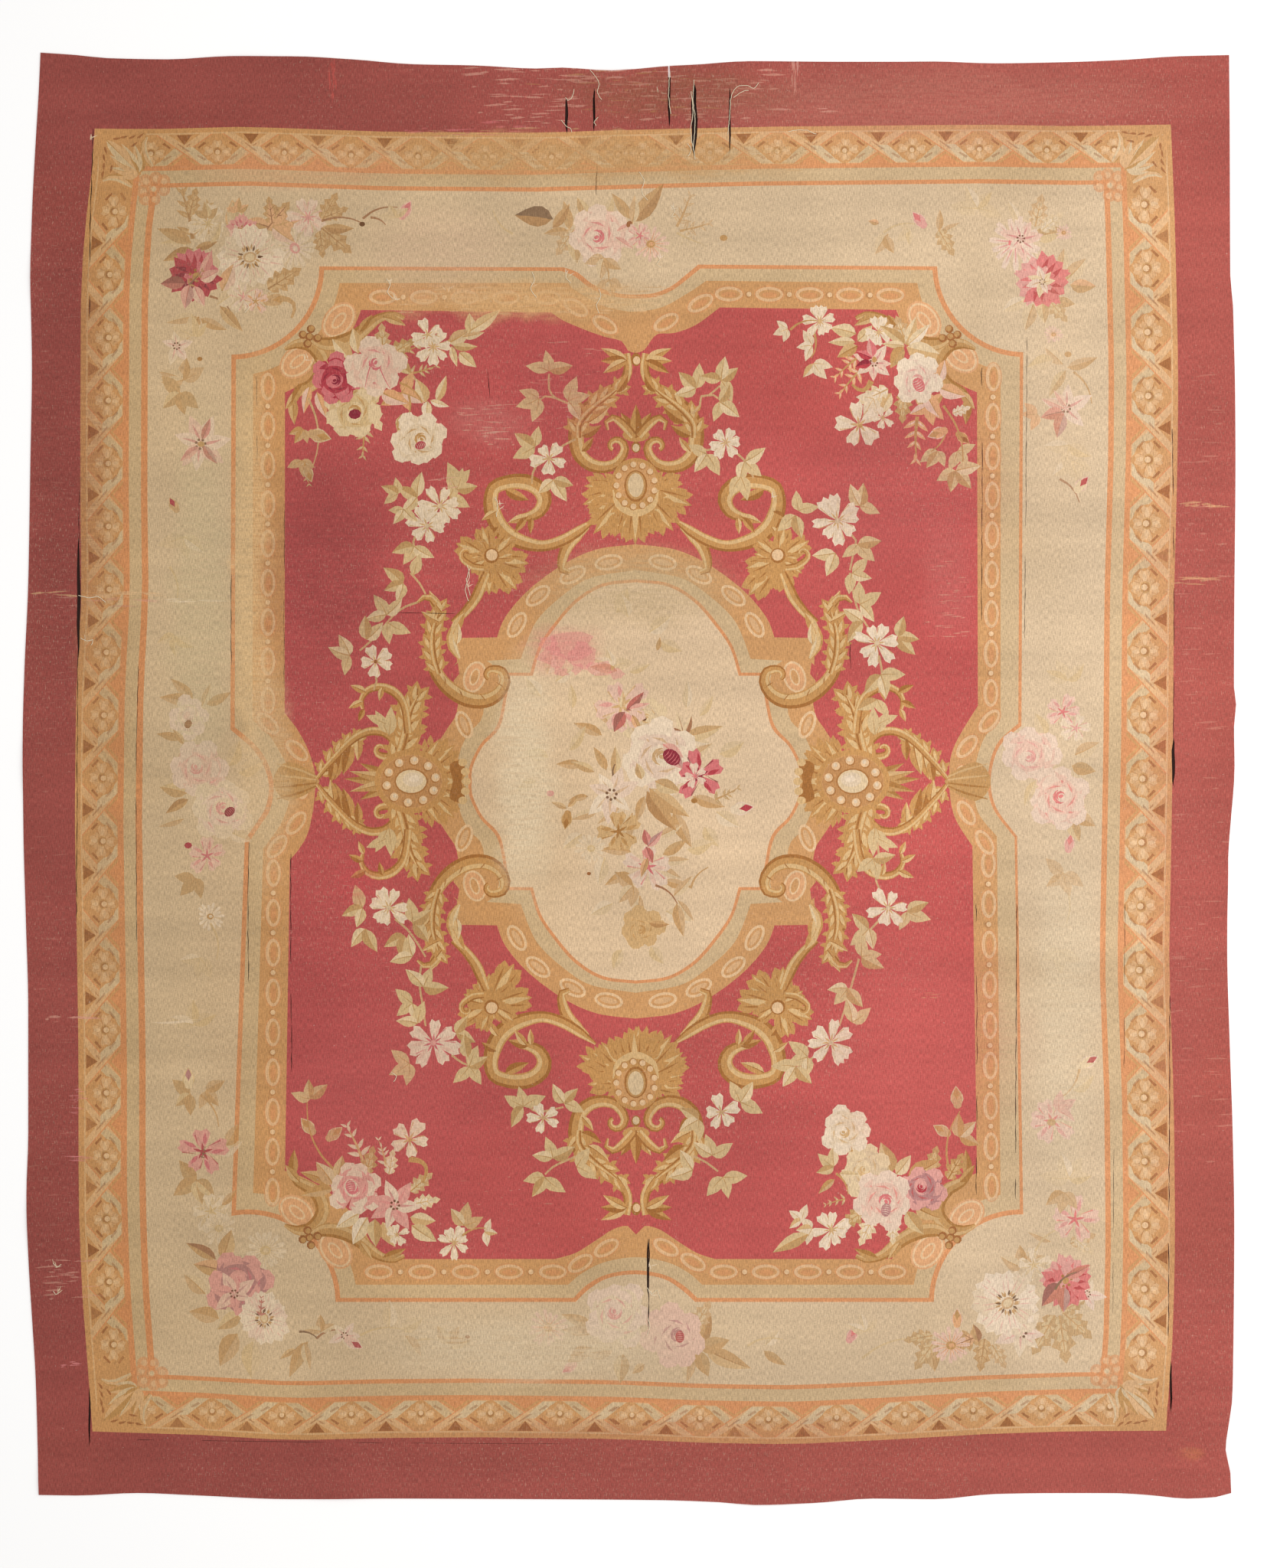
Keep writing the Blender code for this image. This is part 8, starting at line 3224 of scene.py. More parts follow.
    def stained_and_side_lit(self, bench: NodeBench, place: object, colour: object) -> bpy.types.NodeSocket:
        """Lays the soft stains, the painted shade along the left side and the painted light along the right,
        over the colour, each with a broken edge.

        Args:
            bench: The material's node tree.
            place: Places on the cloth, in metres.
            colour: The colour so far.

        Returns:
            The colour with its stains and its painted side light and shade.
        """
        wander = bench.tree.nodes.new("ShaderNodeTexNoise")
        bench.feed(wander.inputs["Vector"], bench.scaled(place, self.patch_wander_scale))
        wander.inputs["Scale"].default_value = 1.0
        wander.inputs["Detail"].default_value = 3.0
        moved = bench.tree.nodes.new("ShaderNodeVectorMath")
        moved.operation = "ADD"
        bench.feed(moved.inputs[0], place)
        back = tuple(-0.5 * reach for reach in self.patch_wander)
        bench.feed(moved.inputs[1], bench.scaled(wander.outputs["Color"], self.patch_wander, back))
        streaks = bench.mottled(place, self.streaks)
        # Each patch is a stain, or painted shade or painted light along a side.
        for stain in self.stains_and_side_light:
            scale = (2.0 / stain.wide, 2.0 / stain.high, 0.0)
            shift = (-stain.x * scale[0], -stain.y * scale[1], 0.0)
            away = bench.tree.nodes.new("ShaderNodeVectorMath")
            away.operation = "LENGTH"
            bench.feed(away.inputs[0], bench.scaled(moved.outputs[0], scale, shift))
            spread = bench.ramp(away.outputs["Value"], self.patch_core, self.patch_edge, stain.strength, 0.0)
            share = bench.math("MULTIPLY", spread, streaks)
            tone = tuple(linear(channel / 255.0) for channel in stain.tone)
            colour = bench.mix(share, colour, tone)
        return colour

    def weave(self, bench: NodeBench, place: object) -> bpy.types.NodeSocket:
        """Height of the weave: packed wefts over upright warps, both a little uneven.

        Args:
            bench: The material's node tree.
            place: Places on the cloth, in metres.

        Returns:
            The height, from 0 to 1.
        """
        warps = bench.noise(place, self.warp_scale, 1.0, 1.3)
        wefts = bench.noise(place, self.weft_scale, 1.0, 7.9)
        warps = bench.math("MULTIPLY", warps, self.warp_share)
        wefts = bench.math("MULTIPLY", wefts, 1.0 - self.warp_share)
        return bench.math("ADD", warps, wefts)

    def worn(
        self, bench: NodeBench, place: object, redness: object, colour: object
    ) -> bpy.types.NodeSocket:
        """Lets the pale warps through in flecks, thickest in the reds, and adds pale dashes and lint.

        Args:
            bench: The material's node tree.
            place: Places on the cloth, in metres.
            redness: 1 on red yarns and 0 on the others.
            colour: The colour so far.

        Returns:
            The worn colour.
        """
        region = bench.mottled(place, self.worn_regions)
        flecks = bench.math("MULTIPLY", bench.mottled(place, self.flecks), region)
        fleck_share = bench.ramp(redness, 0.0, 1.0, self.flecks_on_pale, self.flecks_on_red)
        colour = bench.mix(bench.math("MULTIPLY", flecks, fleck_share), colour, self.fleck_tone)
        dashes = bench.math("MULTIPLY", bench.mottled(place, self.dashes), region)
        colour = bench.mix(bench.math("MULTIPLY", dashes, self.dash_share), colour, self.dash_tone)
        lint = bench.math("MULTIPLY", bench.mottled(place, self.lint), self.lint_share)
        return bench.mix(lint, colour, self.lint_tone)


@dataclass
class LooseThreads:
    """Ends of warp and mending thread that lie on the cloth, swept along their paths."""

    shape: CarpetShape
    radius: float = 0.0011
    wander: float = 0.004
    step: float = 0.006
    paths: tuple[tuple[Point, ...], ...] = (
        ((-20.8, 222.2), (-20.0, 221.2), (-18.5, 222.8), (-18.0, 225.0)),
        ((-22.2, 215.0), (-21.0, 213.2), (-19.2, 212.2), (-18.8, 211.0)),
        ((-12.8, 231.2), (-11.0, 229.2), (-9.8, 226.2), (-10.5, 223.8), (-9.0, 221.5)),
        ((-10.8, 213.0), (-11.5, 214.2), (-10.2, 215.8)),
        (
            (32.2, 210.2), (32.8, 216.8), (33.2, 222.2), (35.0, 225.8), (38.5, 226.2), (40.5, 225.2),
            (42.2, 227.2),
        ),
        ((34.0, 222.2), (36.5, 224.2), (39.0, 224.5)),
        ((20.2, 224.2), (20.8, 218.0), (20.0, 211.8), (20.8, 206.2), (21.5, 202.2)),
        ((21.2, 228.2), (20.8, 221.8), (21.5, 214.2), (20.8, 205.2)),
        ((19.0, 207.2), (20.2, 205.2), (19.2, 203.2)), ((13.2, 230.2), (12.8, 224.2), (13.5, 216.8)),
        ((9.0, 170.8), (10.0, 169.2), (8.8, 167.8), (10.5, 166.8)),
        ((13.8, 187.2), (14.8, 185.2), (13.5, 183.2), (15.2, 183.8)),
        ((-31.8, 165.2), (-30.8, 162.8), (-32.2, 160.2), (-30.5, 157.0)),
        ((-20.0, 165.8), (-20.8, 163.8), (-19.2, 161.8)),
        ((-10.0, 160.0), (-9.2, 157.2), (-10.8, 154.8), (-9.8, 151.8)),
        ((-79.2, 163.2), (-78.0, 161.2), (-79.0, 158.8), (-77.0, 156.5)),
        ((-125.0, 155.2), (-124.0, 153.8), (-125.5, 152.2)),
        ((-179.8, 60.0), (-176.5, 59.0), (-173.5, 59.5), (-171.0, 57.5)),
        ((-179.0, 46.0), (-177.2, 44.8), (-175.0, 45.5), (-175.5, 43.5)),
        ((-53.0, 69.8), (-52.2, 66.2), (-53.5, 61.8), (-52.5, 57.8)),
        ((-52.0, 68.8), (-53.0, 65.2), (-52.0, 59.8)),
        ((5.8, -166.2), (7.5, -168.2), (9.0, -166.8), (10.0, -169.8)),
        ((-188.0, -158.2), (-186.8, -159.5), (-185.5, -158.5)),
        ((-188.0, -167.2), (-187.0, -168.5), (-185.8, -167.5)),
        ((-43.5, 91.2), (-42.8, 88.8), (-43.5, 85.5)),
        ((3.2, 198.0), (5.0, 195.2), (4.0, 191.8), (6.0, 188.8)),
        ((6.0, -175.8), (6.8, -178.8), (5.8, -181.8)), ((52.0, 211.2), (57.0, 211.8), (61.0, 210.5)),
        ((-77.5, -95.8), (-76.0, -97.2), (-77.0, -98.8)),
    )

    def build(self) -> bpy.types.Object:
        """Sweeps a round thread along every path and keeps the result as one mesh.

        Returns:
            The threads' object.
        """
        data = bpy.data.curves.new("thread_paths", "CURVE")
        data.dimensions = "3D"
        for path in self.paths:
            line = smooth(path, 1.2)
            spline = data.splines.new("POLY")
            spline.points.add(len(line) - 1)
            for point, (x, y) in zip(spline.points, line):
                height = self.shape.lift(x * CM, y * CM) + CLOTH_THICKNESS + self.radius
                point.co = (x * CM, y * CM, height, 1.0)
        guide = bpy.data.objects.new("thread_paths", data)
        bpy.context.scene.collection.objects.link(guide)
        modifier = guide.modifiers.new("threads", "NODES")
        modifier.node_group = self.tree()
        for item in modifier.node_group.interface.items_tree:
            if item.name == "Thread radius":
                modifier[item.identifier] = self.radius
        bpy.context.view_layer.update()
        finished = guide.evaluated_get(bpy.context.evaluated_depsgraph_get())
        mesh = bpy.data.meshes.new_from_object(finished)
        mesh.name = "loose_threads"
        guide.modifiers.remove(modifier)
        bpy.data.objects.remove(guide)
        threads = bpy.data.objects.new("loose_threads", mesh)
        bpy.context.scene.collection.objects.link(threads)
        return threads

    def tree(self) -> bpy.types.NodeTree:
        """Node tree that sweeps a wandering round thread along each curve.

        Returns:
            The node tree.
        """
        tree = bpy.data.node_groups.new("sweep_threads", "GeometryNodeTree")
        tree.interface.new_socket("Geometry", in_out="INPUT", socket_type="NodeSocketGeometry")
        size = tree.interface.new_socket("Thread radius", in_out="INPUT", socket_type="NodeSocketFloat")
        size.default_value = self.radius
        tree.interface.new_socket("Geometry", in_out="OUTPUT", socket_type="NodeSocketGeometry")
        nodes = {}
        kinds = {
            "start": "NodeGroupInput", "spread": "GeometryNodeResampleCurve", "noise": "ShaderNodeTexNoise",
            "aside": "ShaderNodeVectorMath", "move": "GeometryNodeSetPosition",
            "ring": "GeometryNodeCurvePrimitiveCircle", "sweep": "GeometryNodeCurveToMesh",
            "real": "GeometryNodeRealizeInstances", "dye": "GeometryNodeSetMaterial",
            "end": "NodeGroupOutput",
        }
        for name, kind in kinds.items():
            nodes[name] = tree.nodes.new(kind)
        nodes["spread"].mode = "LENGTH"
        nodes["spread"].inputs["Length"].default_value = self.step
        nodes["noise"].inputs["Scale"].default_value = 60.0
        nodes["aside"].operation = "MULTIPLY_ADD"
        nodes["aside"].inputs[1].default_value = (2 * self.wander, 2 * self.wander, 0.0)
        nodes["aside"].inputs[2].default_value = (-self.wander, -self.wander, 0.0)
        nodes["ring"].inputs["Resolution"].default_value = 6
        nodes["sweep"].inputs["Fill Caps"].default_value = True
        nodes["dye"].inputs["Material"].default_value = self.material()
        for source, output, target, entry in (
            ("start", "Geometry", "spread", "Curve"), ("noise", "Color", "aside", 0),
            ("aside", 0, "move", "Offset"), ("spread", "Curve", "move", "Geometry"),
            ("start", "Thread radius", "ring", "Radius"), ("move", "Geometry", "sweep", "Curve"),
            ("ring", "Curve", "sweep", "Profile Curve"), ("sweep", "Mesh", "real", "Geometry"),
            ("real", "Geometry", "dye", "Geometry"), ("dye", "Geometry", "end", "Geometry"),
        ):
            tree.links.new(nodes[source].outputs[output], nodes[target].inputs[entry])
        return tree

    def material(self) -> bpy.types.Material:
        """Undyed thread.

        Returns:
            The material.
        """
        material = bpy.data.materials.new("undyed_thread")
        material.use_nodes = True
        shader = material.node_tree.nodes["Principled BSDF"]
        shader.inputs["Base Color"].default_value = (*yarn_colour(Yarn.LINEN), 1.0)
        shader.inputs["Roughness"].default_value = 0.85
        return material


Tone = tuple[float, float, float]


def linear(channel: float) -> float:
    """Turns one sRGB channel of 0 to 1 into a linear one."""
    return channel / 12.92 if channel <= 0.04045 else ((channel + 0.055) / 1.055) ** 2.4


def yarn_colour(yarn: Yarn) -> Tone:
    """A yarn's linear colour."""
    return tuple(linear(channel / 255.0) for channel in yarn.value)


@dataclass
class WovenRug:
    """The carpet itself, one closed sheet whose upper face is divided by the pattern."""

    shape: CarpetShape = field(default_factory=CarpetShape)
    lift_step: float = 0.05
    under_step: float = 0.13
    merge: float = 0.00004
    touching: float = 0.0000001
    spill_share: float = 1.5
    spill_area: float = 0.00001
    least_share: float = 0.005
    straighten: float = 0.0005
    same_tone: float = 0.008

    def loops(self) -> list[Outline]:
        """The cut edge and the tears, anticlockwise.

        Returns:
            The edge first, then each tear.
        """
        loops = [self.shape.outline()]
        for tear in self.shape.tears:
            loops.append(tear.outline())
        return loops

    def grid(self, step: float) -> Outline:
        """Points of an even grid over the full rectangle.

        Args:
            step: Distance between neighbouring points, in metres.

        Returns:
            The grid's points.
        """
        columns = int(0.5 * self.shape.width / step)
        rows = int(0.5 * self.shape.length / step)
        return [(c * step, r * step) for r in range(-rows, rows + 1) for c in range(-columns, columns + 1)]

    def upper(self, cartoon: Cartoon) -> tuple[list[Vector], list[list[int]], list[Tone]]:
        """Divides the upper face along the pattern.

        Args:
            cartoon: The whole pattern.

        Returns:
            Its points, its triangles and a linear colour for each triangle.
        """
        edge, *tears = self.loops()
        polygons = [edge]
        polygons += [[(x * CM, y * CM) for x, y in patch.outline] for patch in cartoon.patches]
        polygons += tears
        points: list[Vector] = []
        faces = []
        for polygon in polygons:
            faces.append(list(range(len(points), len(points) + len(polygon))))
            points += [Vector(point) for point in polygon]
        first_lifted = len(points)
        points += [Vector(point) for point in self.grid(self.lift_step) if self.shape.lift(*point) > 0.0]
        result = delaunay_2d_cdt(points, [], faces, 0, self.merge, True)
        spilt = self.spilt(result, polygons)
        ground = Patch(edge, Yarn.SURROUND, cover=1.0, whole=True, veil=0)
        layers = [ground] + cartoon.patches
        colours = [yarn_colour(layer.yarn) for layer in layers]
        triangles, shades = [], []
        for triangle, sources in zip(result[2], result[5]):
            if 0 in sources and max(sources) < len(layers):
                triangles.append(list(triangle))
                shades.append(self.blended(set(sources) - spilt, layers, colours))
        lifted = set()
        for index, sources in enumerate(result[3]):
            if max(sources, default=0) >= first_lifted:
                lifted.add(index)
        return self.thinned(result[0], triangles, shades, lifted)

    def blended(self, sources: Iterable[int], layers: Sequence[Patch], colours: Sequence[Tone]) -> Tone:
        """Colour that shows where several layers of the pattern lie over one another.

        A whole patch of a veil hides the veil's patches below it.

        Args:
            sources: Numbers of the layers at the place.
            layers: The ground, then every patch in the order drawn.
            colours: Linear colour of each layer.

        Returns:
            The linear colour.
        """
        rest = 1.0
        shade = [0.0, 0.0, 0.0]
        hidden = set()
        for source in sorted(sources, reverse=True):
            layer = layers[source]
            if layer.veil in hidden:
                continue
            if layer.veil and layer.whole:
                hidden.add(layer.veil)
            share = rest * layer.cover
            for channel, tint in enumerate(colours[source]):
                shade[channel] += share * tint
            rest -= share
            if rest < self.least_share:
                break
        return tuple(shade)

    def thinned(
        self,
        points: Sequence[Vector],
        triangles: Sequence[Sequence[int]],
        shades: Sequence[Tone],
        lifted: set[int],
    ) -> tuple[list[Vector], list[list[int]], list[Tone]]:
        """Divides the face anew, along only the lines where its colour changes.

        Args:
            points: The first division's points.
            triangles: Its triangles.
            shades: Their colours.
            lifted: Points that stay, as the cloth leaves the floor there.

        Returns:
            The new points, triangles and colours.
        """
        sides = {}
        for (a, b, c), shade in zip(triangles, shades):
            for edge in ((a, b), (b, c), (c, a)):
                sides[edge] = shade
        lifted = lifted & {corner for edge in sides for corner in edge}
        lines = self.straightened(points, self.colour_lines(sides), lifted)
        home = sorted({corner for edge in lines for corner in edge} | lifted)
        number = {corner: index for index, corner in enumerate(home)}
        edges = [(number[a], number[b]) for a, b in lines]
        places = [points[corner] for corner in home]
        result = delaunay_2d_cdt(places, edges, [], 0, self.touching, True)
        beside = {}
        pairs = list(lines.values())
        for (a, b), sources in zip(result[1], result[4]):
            if sources:
                start, end = edges[sources[0]]
                left, right = pairs[sources[0]]
                along = (result[0][b] - result[0][a]).dot(places[end] - places[start]) > 0.0
                beside[(a, b)], beside[(b, a)] = (left, right) if along else (right, left)
        tones = self.flooded(result[0], result[2], beside)
        cloth = [index for index, tone in enumerate(tones) if tone is not None]
        LOG.info("%d triangles became %d", len(triangles), len(cloth))
        kept = [list(result[2][index]) for index in cloth]
        return list(result[0]), kept, [tones[index] for index in cloth]

    def colour_lines(self, sides: dict[tuple[int, int], Tone]) -> dict[
        tuple[int, int], tuple[Tone | None, Tone | None]
    ]:
        """Edges where the colour changes or the cloth ends, with the tones to their left and right.

        Args:
            sides: Tone to the left of each edge of the first division.

        Returns:
            The edges with their two tones.
        """
        lines = {}
        for (a, b), left in sides.items():
            right = sides.get((b, a))
            if right is None or (a < b and math.dist(left, right) > self.same_tone):
                lines[(a, b)] = (left, right)
        return lines

    def straightened(
        self,
        points: Sequence[Vector],
        lines: dict[tuple[int, int], tuple[Tone | None, Tone | None]],
        fixed: set[int],
    ) -> dict[tuple[int, int], tuple[Tone | None, Tone | None]]:
        """Leaves out points that hardly bend their line.

        Args:
            points: All points.
            lines: Edges with the tones to their left and right.
            fixed: Points that stay.

        Returns:
            The remaining edges with their tones.
        """
        around: dict[int, list[int]] = {}
        pairs = {}
        passed: dict[tuple[int, int], list[int]] = {}
        rim = set()
        for (a, b), (left, right) in lines.items():
            around.setdefault(a, []).append(b)
            around.setdefault(b, []).append(a)
            pairs[(a, b)], pairs[(b, a)] = (left, right), (right, left)
            if right is None:
                rim |= {a, b}
        for corner in sorted(around):
            if len(around[corner]) != 2 or corner in fixed or corner in rim:
                continue
            before, after = around[corner]
            if after in around[before]:
                continue
            left_out = passed.get((before, corner), []) + [corner] + passed.get((corner, after), [])
            if any(
                self.off_line(points[out], points[before], points[after]) > self.straighten
                for out in left_out
            ):
                continue
            pairs[(before, after)] = pairs.pop((before, corner))
            pairs[(after, before)] = pairs.pop((after, corner))
            del pairs[(corner, before)], pairs[(corner, after)]
            passed[(before, after)], passed[(after, before)] = left_out, left_out[::-1]
            around[before][around[before].index(corner)] = after
            around[after][around[after].index(corner)] = before
            del around[corner]
        return {edge: pairs[edge] for edge in sorted(pairs) if edge[0] < edge[1]}

    @staticmethod
    def off_line(point: Vector, start: Vector, end: Vector) -> float:
        """Distance from a point to the straight line through two others."""
        run = end - start
        return abs(run.cross(point - start)) / (run.length or 1.0)

    @staticmethod
    def flooded(
        points: Sequence[Vector],
        triangles: Sequence[Sequence[int]],
        beside: dict[tuple[int, int], Tone | None],
    ) -> list[Tone | None]:
        """Gives each triangle the tone that most of its region's edge asks for.

        Args:
            points: All points.
            triangles: All triangles.
            beside: Tone to the left of each line's edges, in both directions.

        Returns:
            Each triangle's tone, None outside the cloth.
        """
        beyond = {}
        for index, (a, b, c) in enumerate(triangles):
            beyond[(b, a)] = beyond[(c, b)] = beyond[(a, c)] = index
        tones: list[Tone | None] = [None] * len(triangles)
        reached = [False] * len(triangles)
        for first in range(len(triangles)):
            if reached[first]:
                continue
            reached[first] = True
            region = [first]
            votes: dict[Tone | None, float] = {}
            for index in region:
                a, b, c = triangles[index]
                for edge in ((a, b), (b, c), (c, a)):
                    if edge in beside:
                        tone = beside[edge]
                        votes[tone] = votes.get(tone, 0.0) + (points[edge[1]] - points[edge[0]]).length
                    elif edge in beyond and not reached[beyond[edge]]:
                        reached[beyond[edge]] = True
                        region.append(beyond[edge])
            if votes:
                tone = max(votes, key=votes.get)
                for index in region:
                    tones[index] = tone
        return tones

    def spilt(self, result: tuple, polygons: Sequence[Outline]) -> set[int]:
        """Patches that the division took for the ground outside them, which are left out.

        Args:
            result: What the division gave.
            polygons: The outlines that went into it.

        Returns:
            Their numbers.
        """
        covered = [0.0] * len(polygons)
        for triangle, sources in zip(result[2], result[5]):
            size = enclosed([tuple(result[0][corner]) for corner in triangle])
            for source in sources:
                covered[source] += size
        most = [self.spill_share * enclosed(polygon) + self.spill_area for polygon in polygons]
        spilt = {index for index, area in enumerate(covered) if area > most[index]}
        LOG.info("%d spilt patches left out", len(spilt))
        return spilt

    def build(self, cartoon: Cartoon) -> bpy.types.Object:
        """Weaves the sheet.

        Args:
            cartoon: The whole pattern.

        Returns:
            The carpet's object, at the origin and unturned.
        """
        over, triangles, shades = self.upper(cartoon)
        rim = self.open_edges(triangles)
        used = sorted({corner for triangle in triangles for corner in triangle})
        renumber = {old: new for new, old in enumerate(used)}
        vertices = []
        for x, y in (over[old] for old in used):
            vertices.append((x, y, self.shape.lift(x, y) + CLOTH_THICKNESS))
        faces = [[renumber[corner] for corner in triangle] for triangle in triangles]
        count = len(vertices)
        under, under_faces = self.lower([over[start] for start, _ in rim], rim)
        vertices += [(point.x, point.y, self.shape.lift(point.x, point.y)) for point in under]
        faces += [[count + c, count + b, count + a] for a, b, c in under_faces]
        shades = shades + [yarn_colour(Yarn.SURROUND)] * len(under_faces)
        below = {start: count + index for index, (start, _) in enumerate(rim)}
        for start, end in rim:
            faces.append([renumber[start], below[start], below[end], renumber[end]])
            shades.append(yarn_colour(Yarn.SURROUND))
        mesh = bpy.data.meshes.new(CARPET_NODE)
        mesh.from_pydata(vertices, [], faces)
        self.paint(mesh, shades)
        mesh.materials.append(TapestryWool().material())
        rug = bpy.data.objects.new("carpet_weave", mesh)
        bpy.context.scene.collection.objects.link(rug)
        LOG.info("carpet: %d patches, %d points, %d faces", len(cartoon.patches), len(vertices), len(faces))
        return rug

    def open_edges(self, triangles: Iterable[Sequence[int]]) -> list[tuple[int, int]]:
        """Edges that only one triangle has, in that triangle's own direction.

        Args:
            triangles: Triangles, as three point numbers each.

        Returns:
            The edges.
        """
        rim: dict[tuple[int, int], bool] = {}
        for a, b, c in triangles:
            for start, end in ((a, b), (b, c), (c, a)):
                if (end, start) in rim:
                    del rim[(end, start)]
                else:
                    rim[(start, end)] = True
        return list(rim)

    def lower(
        self, points: Sequence[Vector], rim: Sequence[tuple[int, int]]
    ) -> tuple[list[Vector], list[list[int]]]:
        """Divides the underside coarsely between the same edges.

        Args:
            points: Points where the rim's edges start.
            rim: The rim's edges as the upper face numbers them.

        Returns:
            The underside's points, the rim's first, and its triangles.
        """
        number = {start: index for index, (start, _) in enumerate(rim)}
        edges = [(number[start], number[end]) for start, end in rim]
        step = self.under_step
        grid = [Vector(point) for point in self.grid(step) if self.shape.lift(*point) == 0.0]
        grid += [Vector(point) for point in self.grid(self.lift_step) if self.shape.lift(*point) > 0.0]
        everything = list(points) + grid
        result = delaunay_2d_cdt(everything, edges, [], 0, self.touching, True)
        home = {}
        for index, sources in enumerate(result[3]):
            for source in sources:
                home[index] = min(source, home.get(index, source))
        loops = self.loops()
        kept = []
        for a, b, c in result[2]:
            middle = (result[0][a] + result[0][b] + result[0][c]) / 3
            if self.on_cloth(middle, loops):
                kept.append([home[a], home[b], home[c]])
        return everything, kept

    def on_cloth(self, point: Vector, loops: Sequence[Outline]) -> bool:
        """True where the cut edge goes round the point and no tear does."""
        return self.inside(point, loops[0]) and not any(self.inside(point, loop) for loop in loops[1:])

    @staticmethod
    def inside(point: Vector, loop: Outline) -> bool:
        """True where a closed line goes round the point.

        Args:
            point: The point.
            loop: The closed line.

        Returns:
            Whether the point lies inside.
        """
        found = False
        for start, end in zip(loop, loop[1:] + loop[:1]):
            if (start[1] > point.y) != (end[1] > point.y):
                if point.x < start[0] + (end[0] - start[0]) * (point.y - start[1]) / (end[1] - start[1]):
                    found = not found
        return found

    @staticmethod
    def paint(mesh: bpy.types.Mesh, shades: Sequence[Tone]) -> None:
        """Gives every face its colour and the mesh its flat texture map.

        Args:
            mesh: The carpet's mesh.
            shades: Linear colour of each face.
        """
        colour = mesh.color_attributes.new("yarn", "FLOAT_COLOR", "CORNER")
        flat = mesh.uv_layers.new(name="OFBake")
        loop_count = len(mesh.loops)
        sizes = np.empty(len(mesh.polygons), dtype=np.int32)
        mesh.polygons.foreach_get("loop_total", sizes)
        tones = np.ones((len(shades), 4))
        tones[:, :3] = shades
        colour.data.foreach_set("color", np.repeat(tones, sizes, axis=0).ravel())
        corners = np.empty(loop_count, dtype=np.int32)
        mesh.loops.foreach_get("vertex_index", corners)
        places = np.empty(len(mesh.vertices) * 3)
        mesh.vertices.foreach_get("co", places)
        flat_places = places.reshape(-1, 3)[corners][:, :2]
        flat.data.foreach_set("uv", (flat_places / MAP_SPAN + 0.5).ravel())


def flat_sheet(name: str, low: Point, high: Point, drop: float) -> bpy.types.Object:
    """Adds a level rectangle below the cloth.

    Args:
        name: Name of the object and of its mesh.
        low: Its corner of least x and y, in metres.
        high: The corner across from that one.
        drop: How far it lies below the cloth's underside.

    Returns:
        The object.
    """
    mesh = bpy.data.meshes.new(name)
    corners = [(low[0], low[1], 0.0), (high[0], low[1], 0.0), (high[0], high[1], 0.0), (low[0], high[1], 0.0)]
    mesh.from_pydata(corners, [], [(0, 1, 2, 3)])
    sheet = bpy.data.objects.new(name, mesh)
    sheet.location = (0.0, 0.0, -drop)
    bpy.context.scene.collection.objects.link(sheet)
    return sheet


def tear_shade_sheet() -> bpy.types.Object:
    """Dark sheet under the carpet, seen only through its tears: painted shade that darkens the gaps.

    Returns:
        The sheet's object.
    """
    # Painted shade: a dark sheet where the tears would show only shadow.
    sheet = flat_sheet("painted_tear_shade", (-1.86, -2.25), (1.84, 2.29), 0.0002)
    material = bpy.data.materials.new("painted_gap_shade")
    material.use_nodes = True
    shader = material.node_tree.nodes["Principled BSDF"]
    shader.inputs["Base Color"].default_value = (*yarn_colour(Yarn.GAP), 1.0)
    shader.inputs["Roughness"].default_value = 1.0
    sheet.data.materials.append(material)
    return sheet


@dataclass(frozen=True)
class StudioFloor:
    """The plain pale floor, a square."""

    size: float = 60.0
    drop: float = 0.0005
    tone: float = 0.93
    glow: float = 0.30

    def build(self) -> bpy.types.Object:
        """Lays the floor just under the carpet.

        Returns:
            The floor's object.
        """
        half = 0.5 * self.size
        floor = flat_sheet("studio_floor", (-half, -half), (half, half), self.drop)
        material = bpy.data.materials.new("pale_floor")
        material.use_nodes = True
        shader = material.node_tree.nodes["Principled BSDF"]
        shader.inputs["Base Color"].default_value = (self.tone, self.tone, self.tone, 1.0)
        shader.inputs["Roughness"].default_value = 0.9
        shader.inputs["Emission Color"].default_value = (1.0, 1.0, 1.0, 1.0)
        shader.inputs["Emission Strength"].default_value = self.glow
        floor.data.materials.append(material)
        return floor


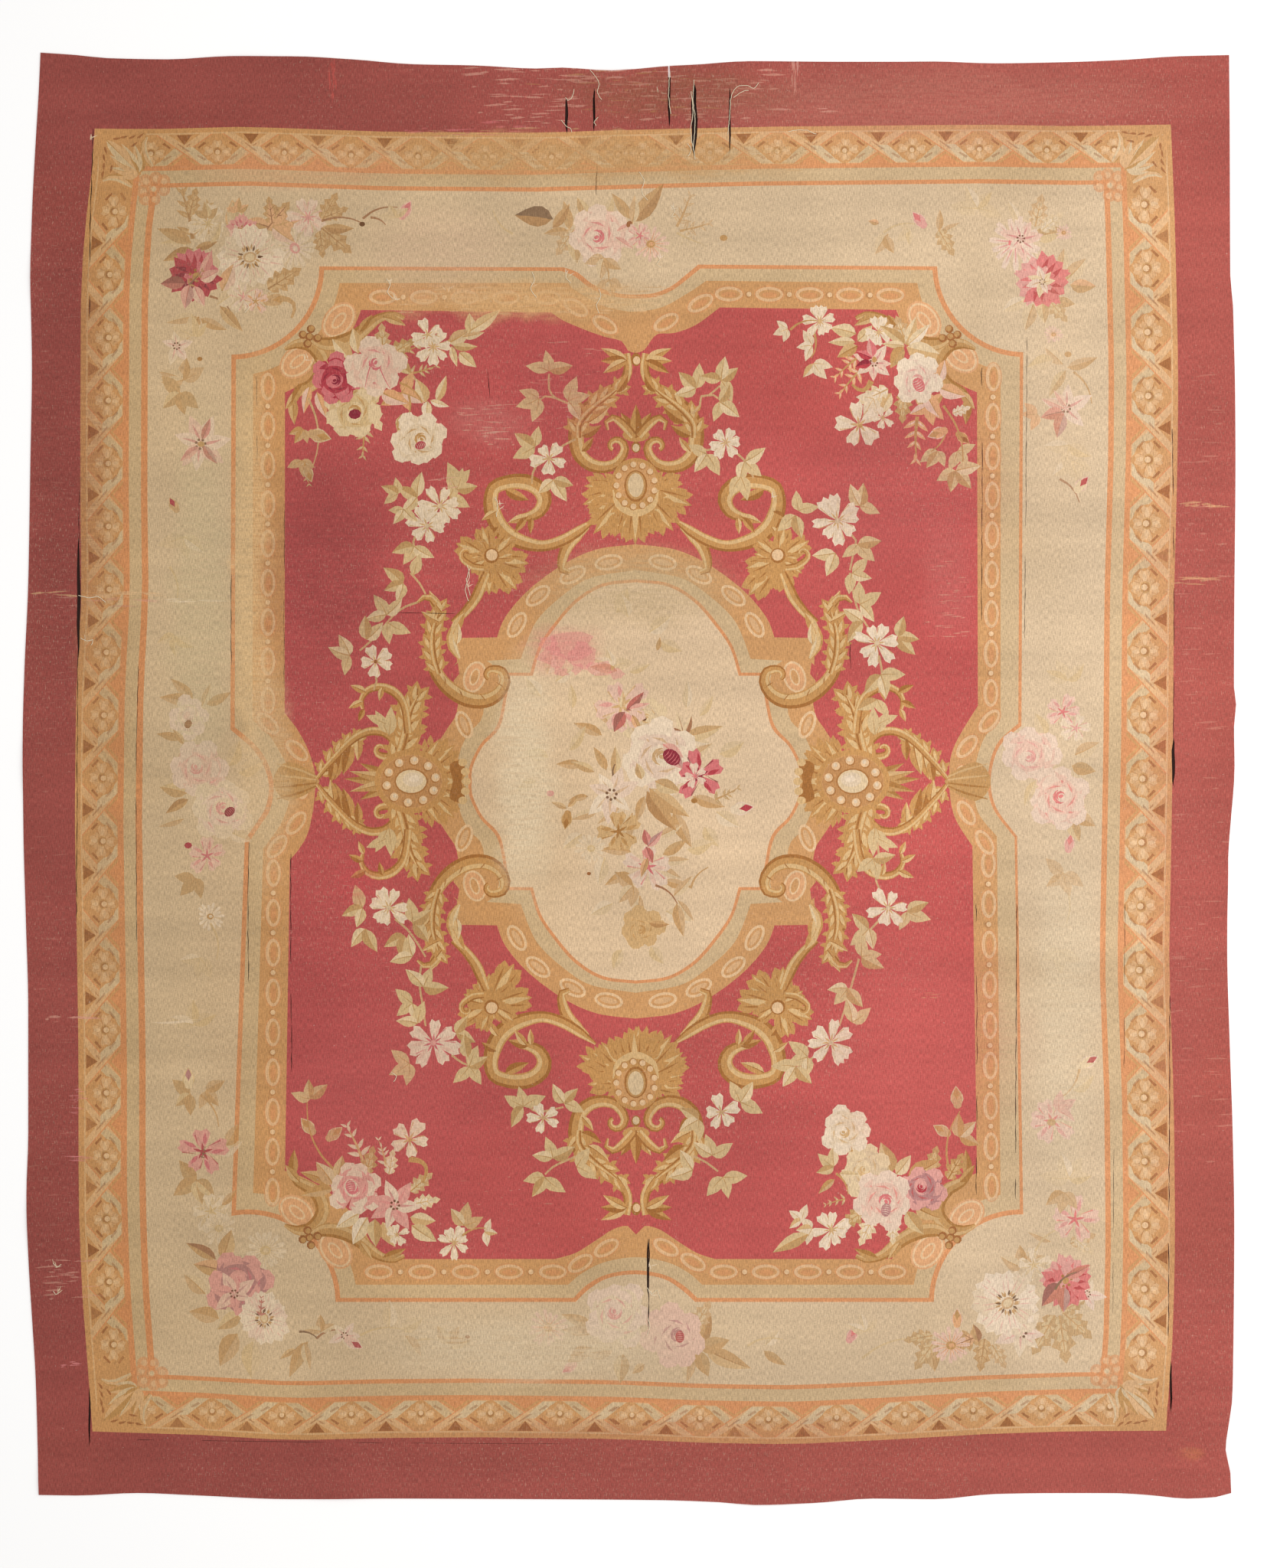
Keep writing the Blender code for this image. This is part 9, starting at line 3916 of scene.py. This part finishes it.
@dataclass(frozen=True)
class StudioLight:
    """Soft even light from above, a little stronger and warmer on the right."""

    key_energy: float = 250.0
    sky: float = 0.55

    def build(self) -> list[bpy.types.Object]:
        """Sets up the lamp and the sky.

        Returns:
            The lamps.
        """
        world = bpy.data.worlds.new("studio")
        world.use_nodes = True
        background = world.node_tree.nodes["Background"]
        background.inputs["Color"].default_value = (1.0, 0.99, 0.98, 1.0)
        background.inputs["Strength"].default_value = self.sky
        bpy.context.scene.world = world
        lamp = bpy.data.lights.new("key", "AREA")
        lamp.shape = "RECTANGLE"
        lamp.size, lamp.size_y = 5.0, 7.0
        lamp.energy = self.key_energy
        lamp.color = (1.0, 0.97, 0.93)
        key = bpy.data.objects.new("key", lamp)
        key.location = (4.4, 0.6, 5.2)
        key.rotation_euler = (Vector((0.3, 0.0, 0.0)) - key.location).to_track_quat("-Z", "Y").to_euler()
        bpy.context.scene.collection.objects.link(key)
        return [key]


@dataclass(frozen=True)
class OverheadCamera:
    """The camera straight above the carpet."""

    x: float = 0.01375
    y: float = -0.0175
    height: float = 9.0
    seen: float = 5.12

    def build(self) -> bpy.types.Object:
        """Hangs the camera and makes it the scene's own.

        Returns:
            The camera's object.
        """
        data = bpy.data.cameras.new("overhead")
        data.sensor_width = 36.0
        data.lens = 36.0 * self.height / self.seen
        camera = bpy.data.objects.new("overhead", data)
        camera.location = (self.x, self.y, self.height)
        bpy.context.scene.collection.objects.link(camera)
        bpy.context.scene.camera = camera
        return camera


def main() -> None:
    """Builds the carpet, the floor, the light and the camera, in that order."""
    logging.basicConfig(level=logging.INFO, format="%(name)s: %(message)s")
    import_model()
    cartoon = Cartoon(seed=41)
    parts = [GuardBorder(), InnerFrame(), Medallion(), Scrollwork(), Garland(), CornerScrolls()]
    parts += [Spray(BORDER_SPRAYS, 0.74, 0.95), Spray(FIELD_BOUQUETS), Spray(MIDDLE_BOUQUET, 0.85)]
    parts.append(Wear())
    for part in parts:
        part.draw(cartoon)
        LOG.info("%s drawn, %d patches so far", type(part).__name__, len(cartoon.patches))
    shape = CarpetShape()
    rug = WovenRug(shape).build(cartoon)
    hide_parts(CARPET_NODE)
    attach(rug, "root")
    threads = LooseThreads(shape).build()
    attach(threads, "root")
    floor = StudioFloor().build()
    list(StudioLight().build())
    # Painted shade seen through the tears.
    tear_shade_sheet()
    OverheadCamera().build()
    bpy.context.scene.view_settings.view_transform = "Standard"
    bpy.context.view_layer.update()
    LOG.info("done")


if __name__ == "__main__":
    main()
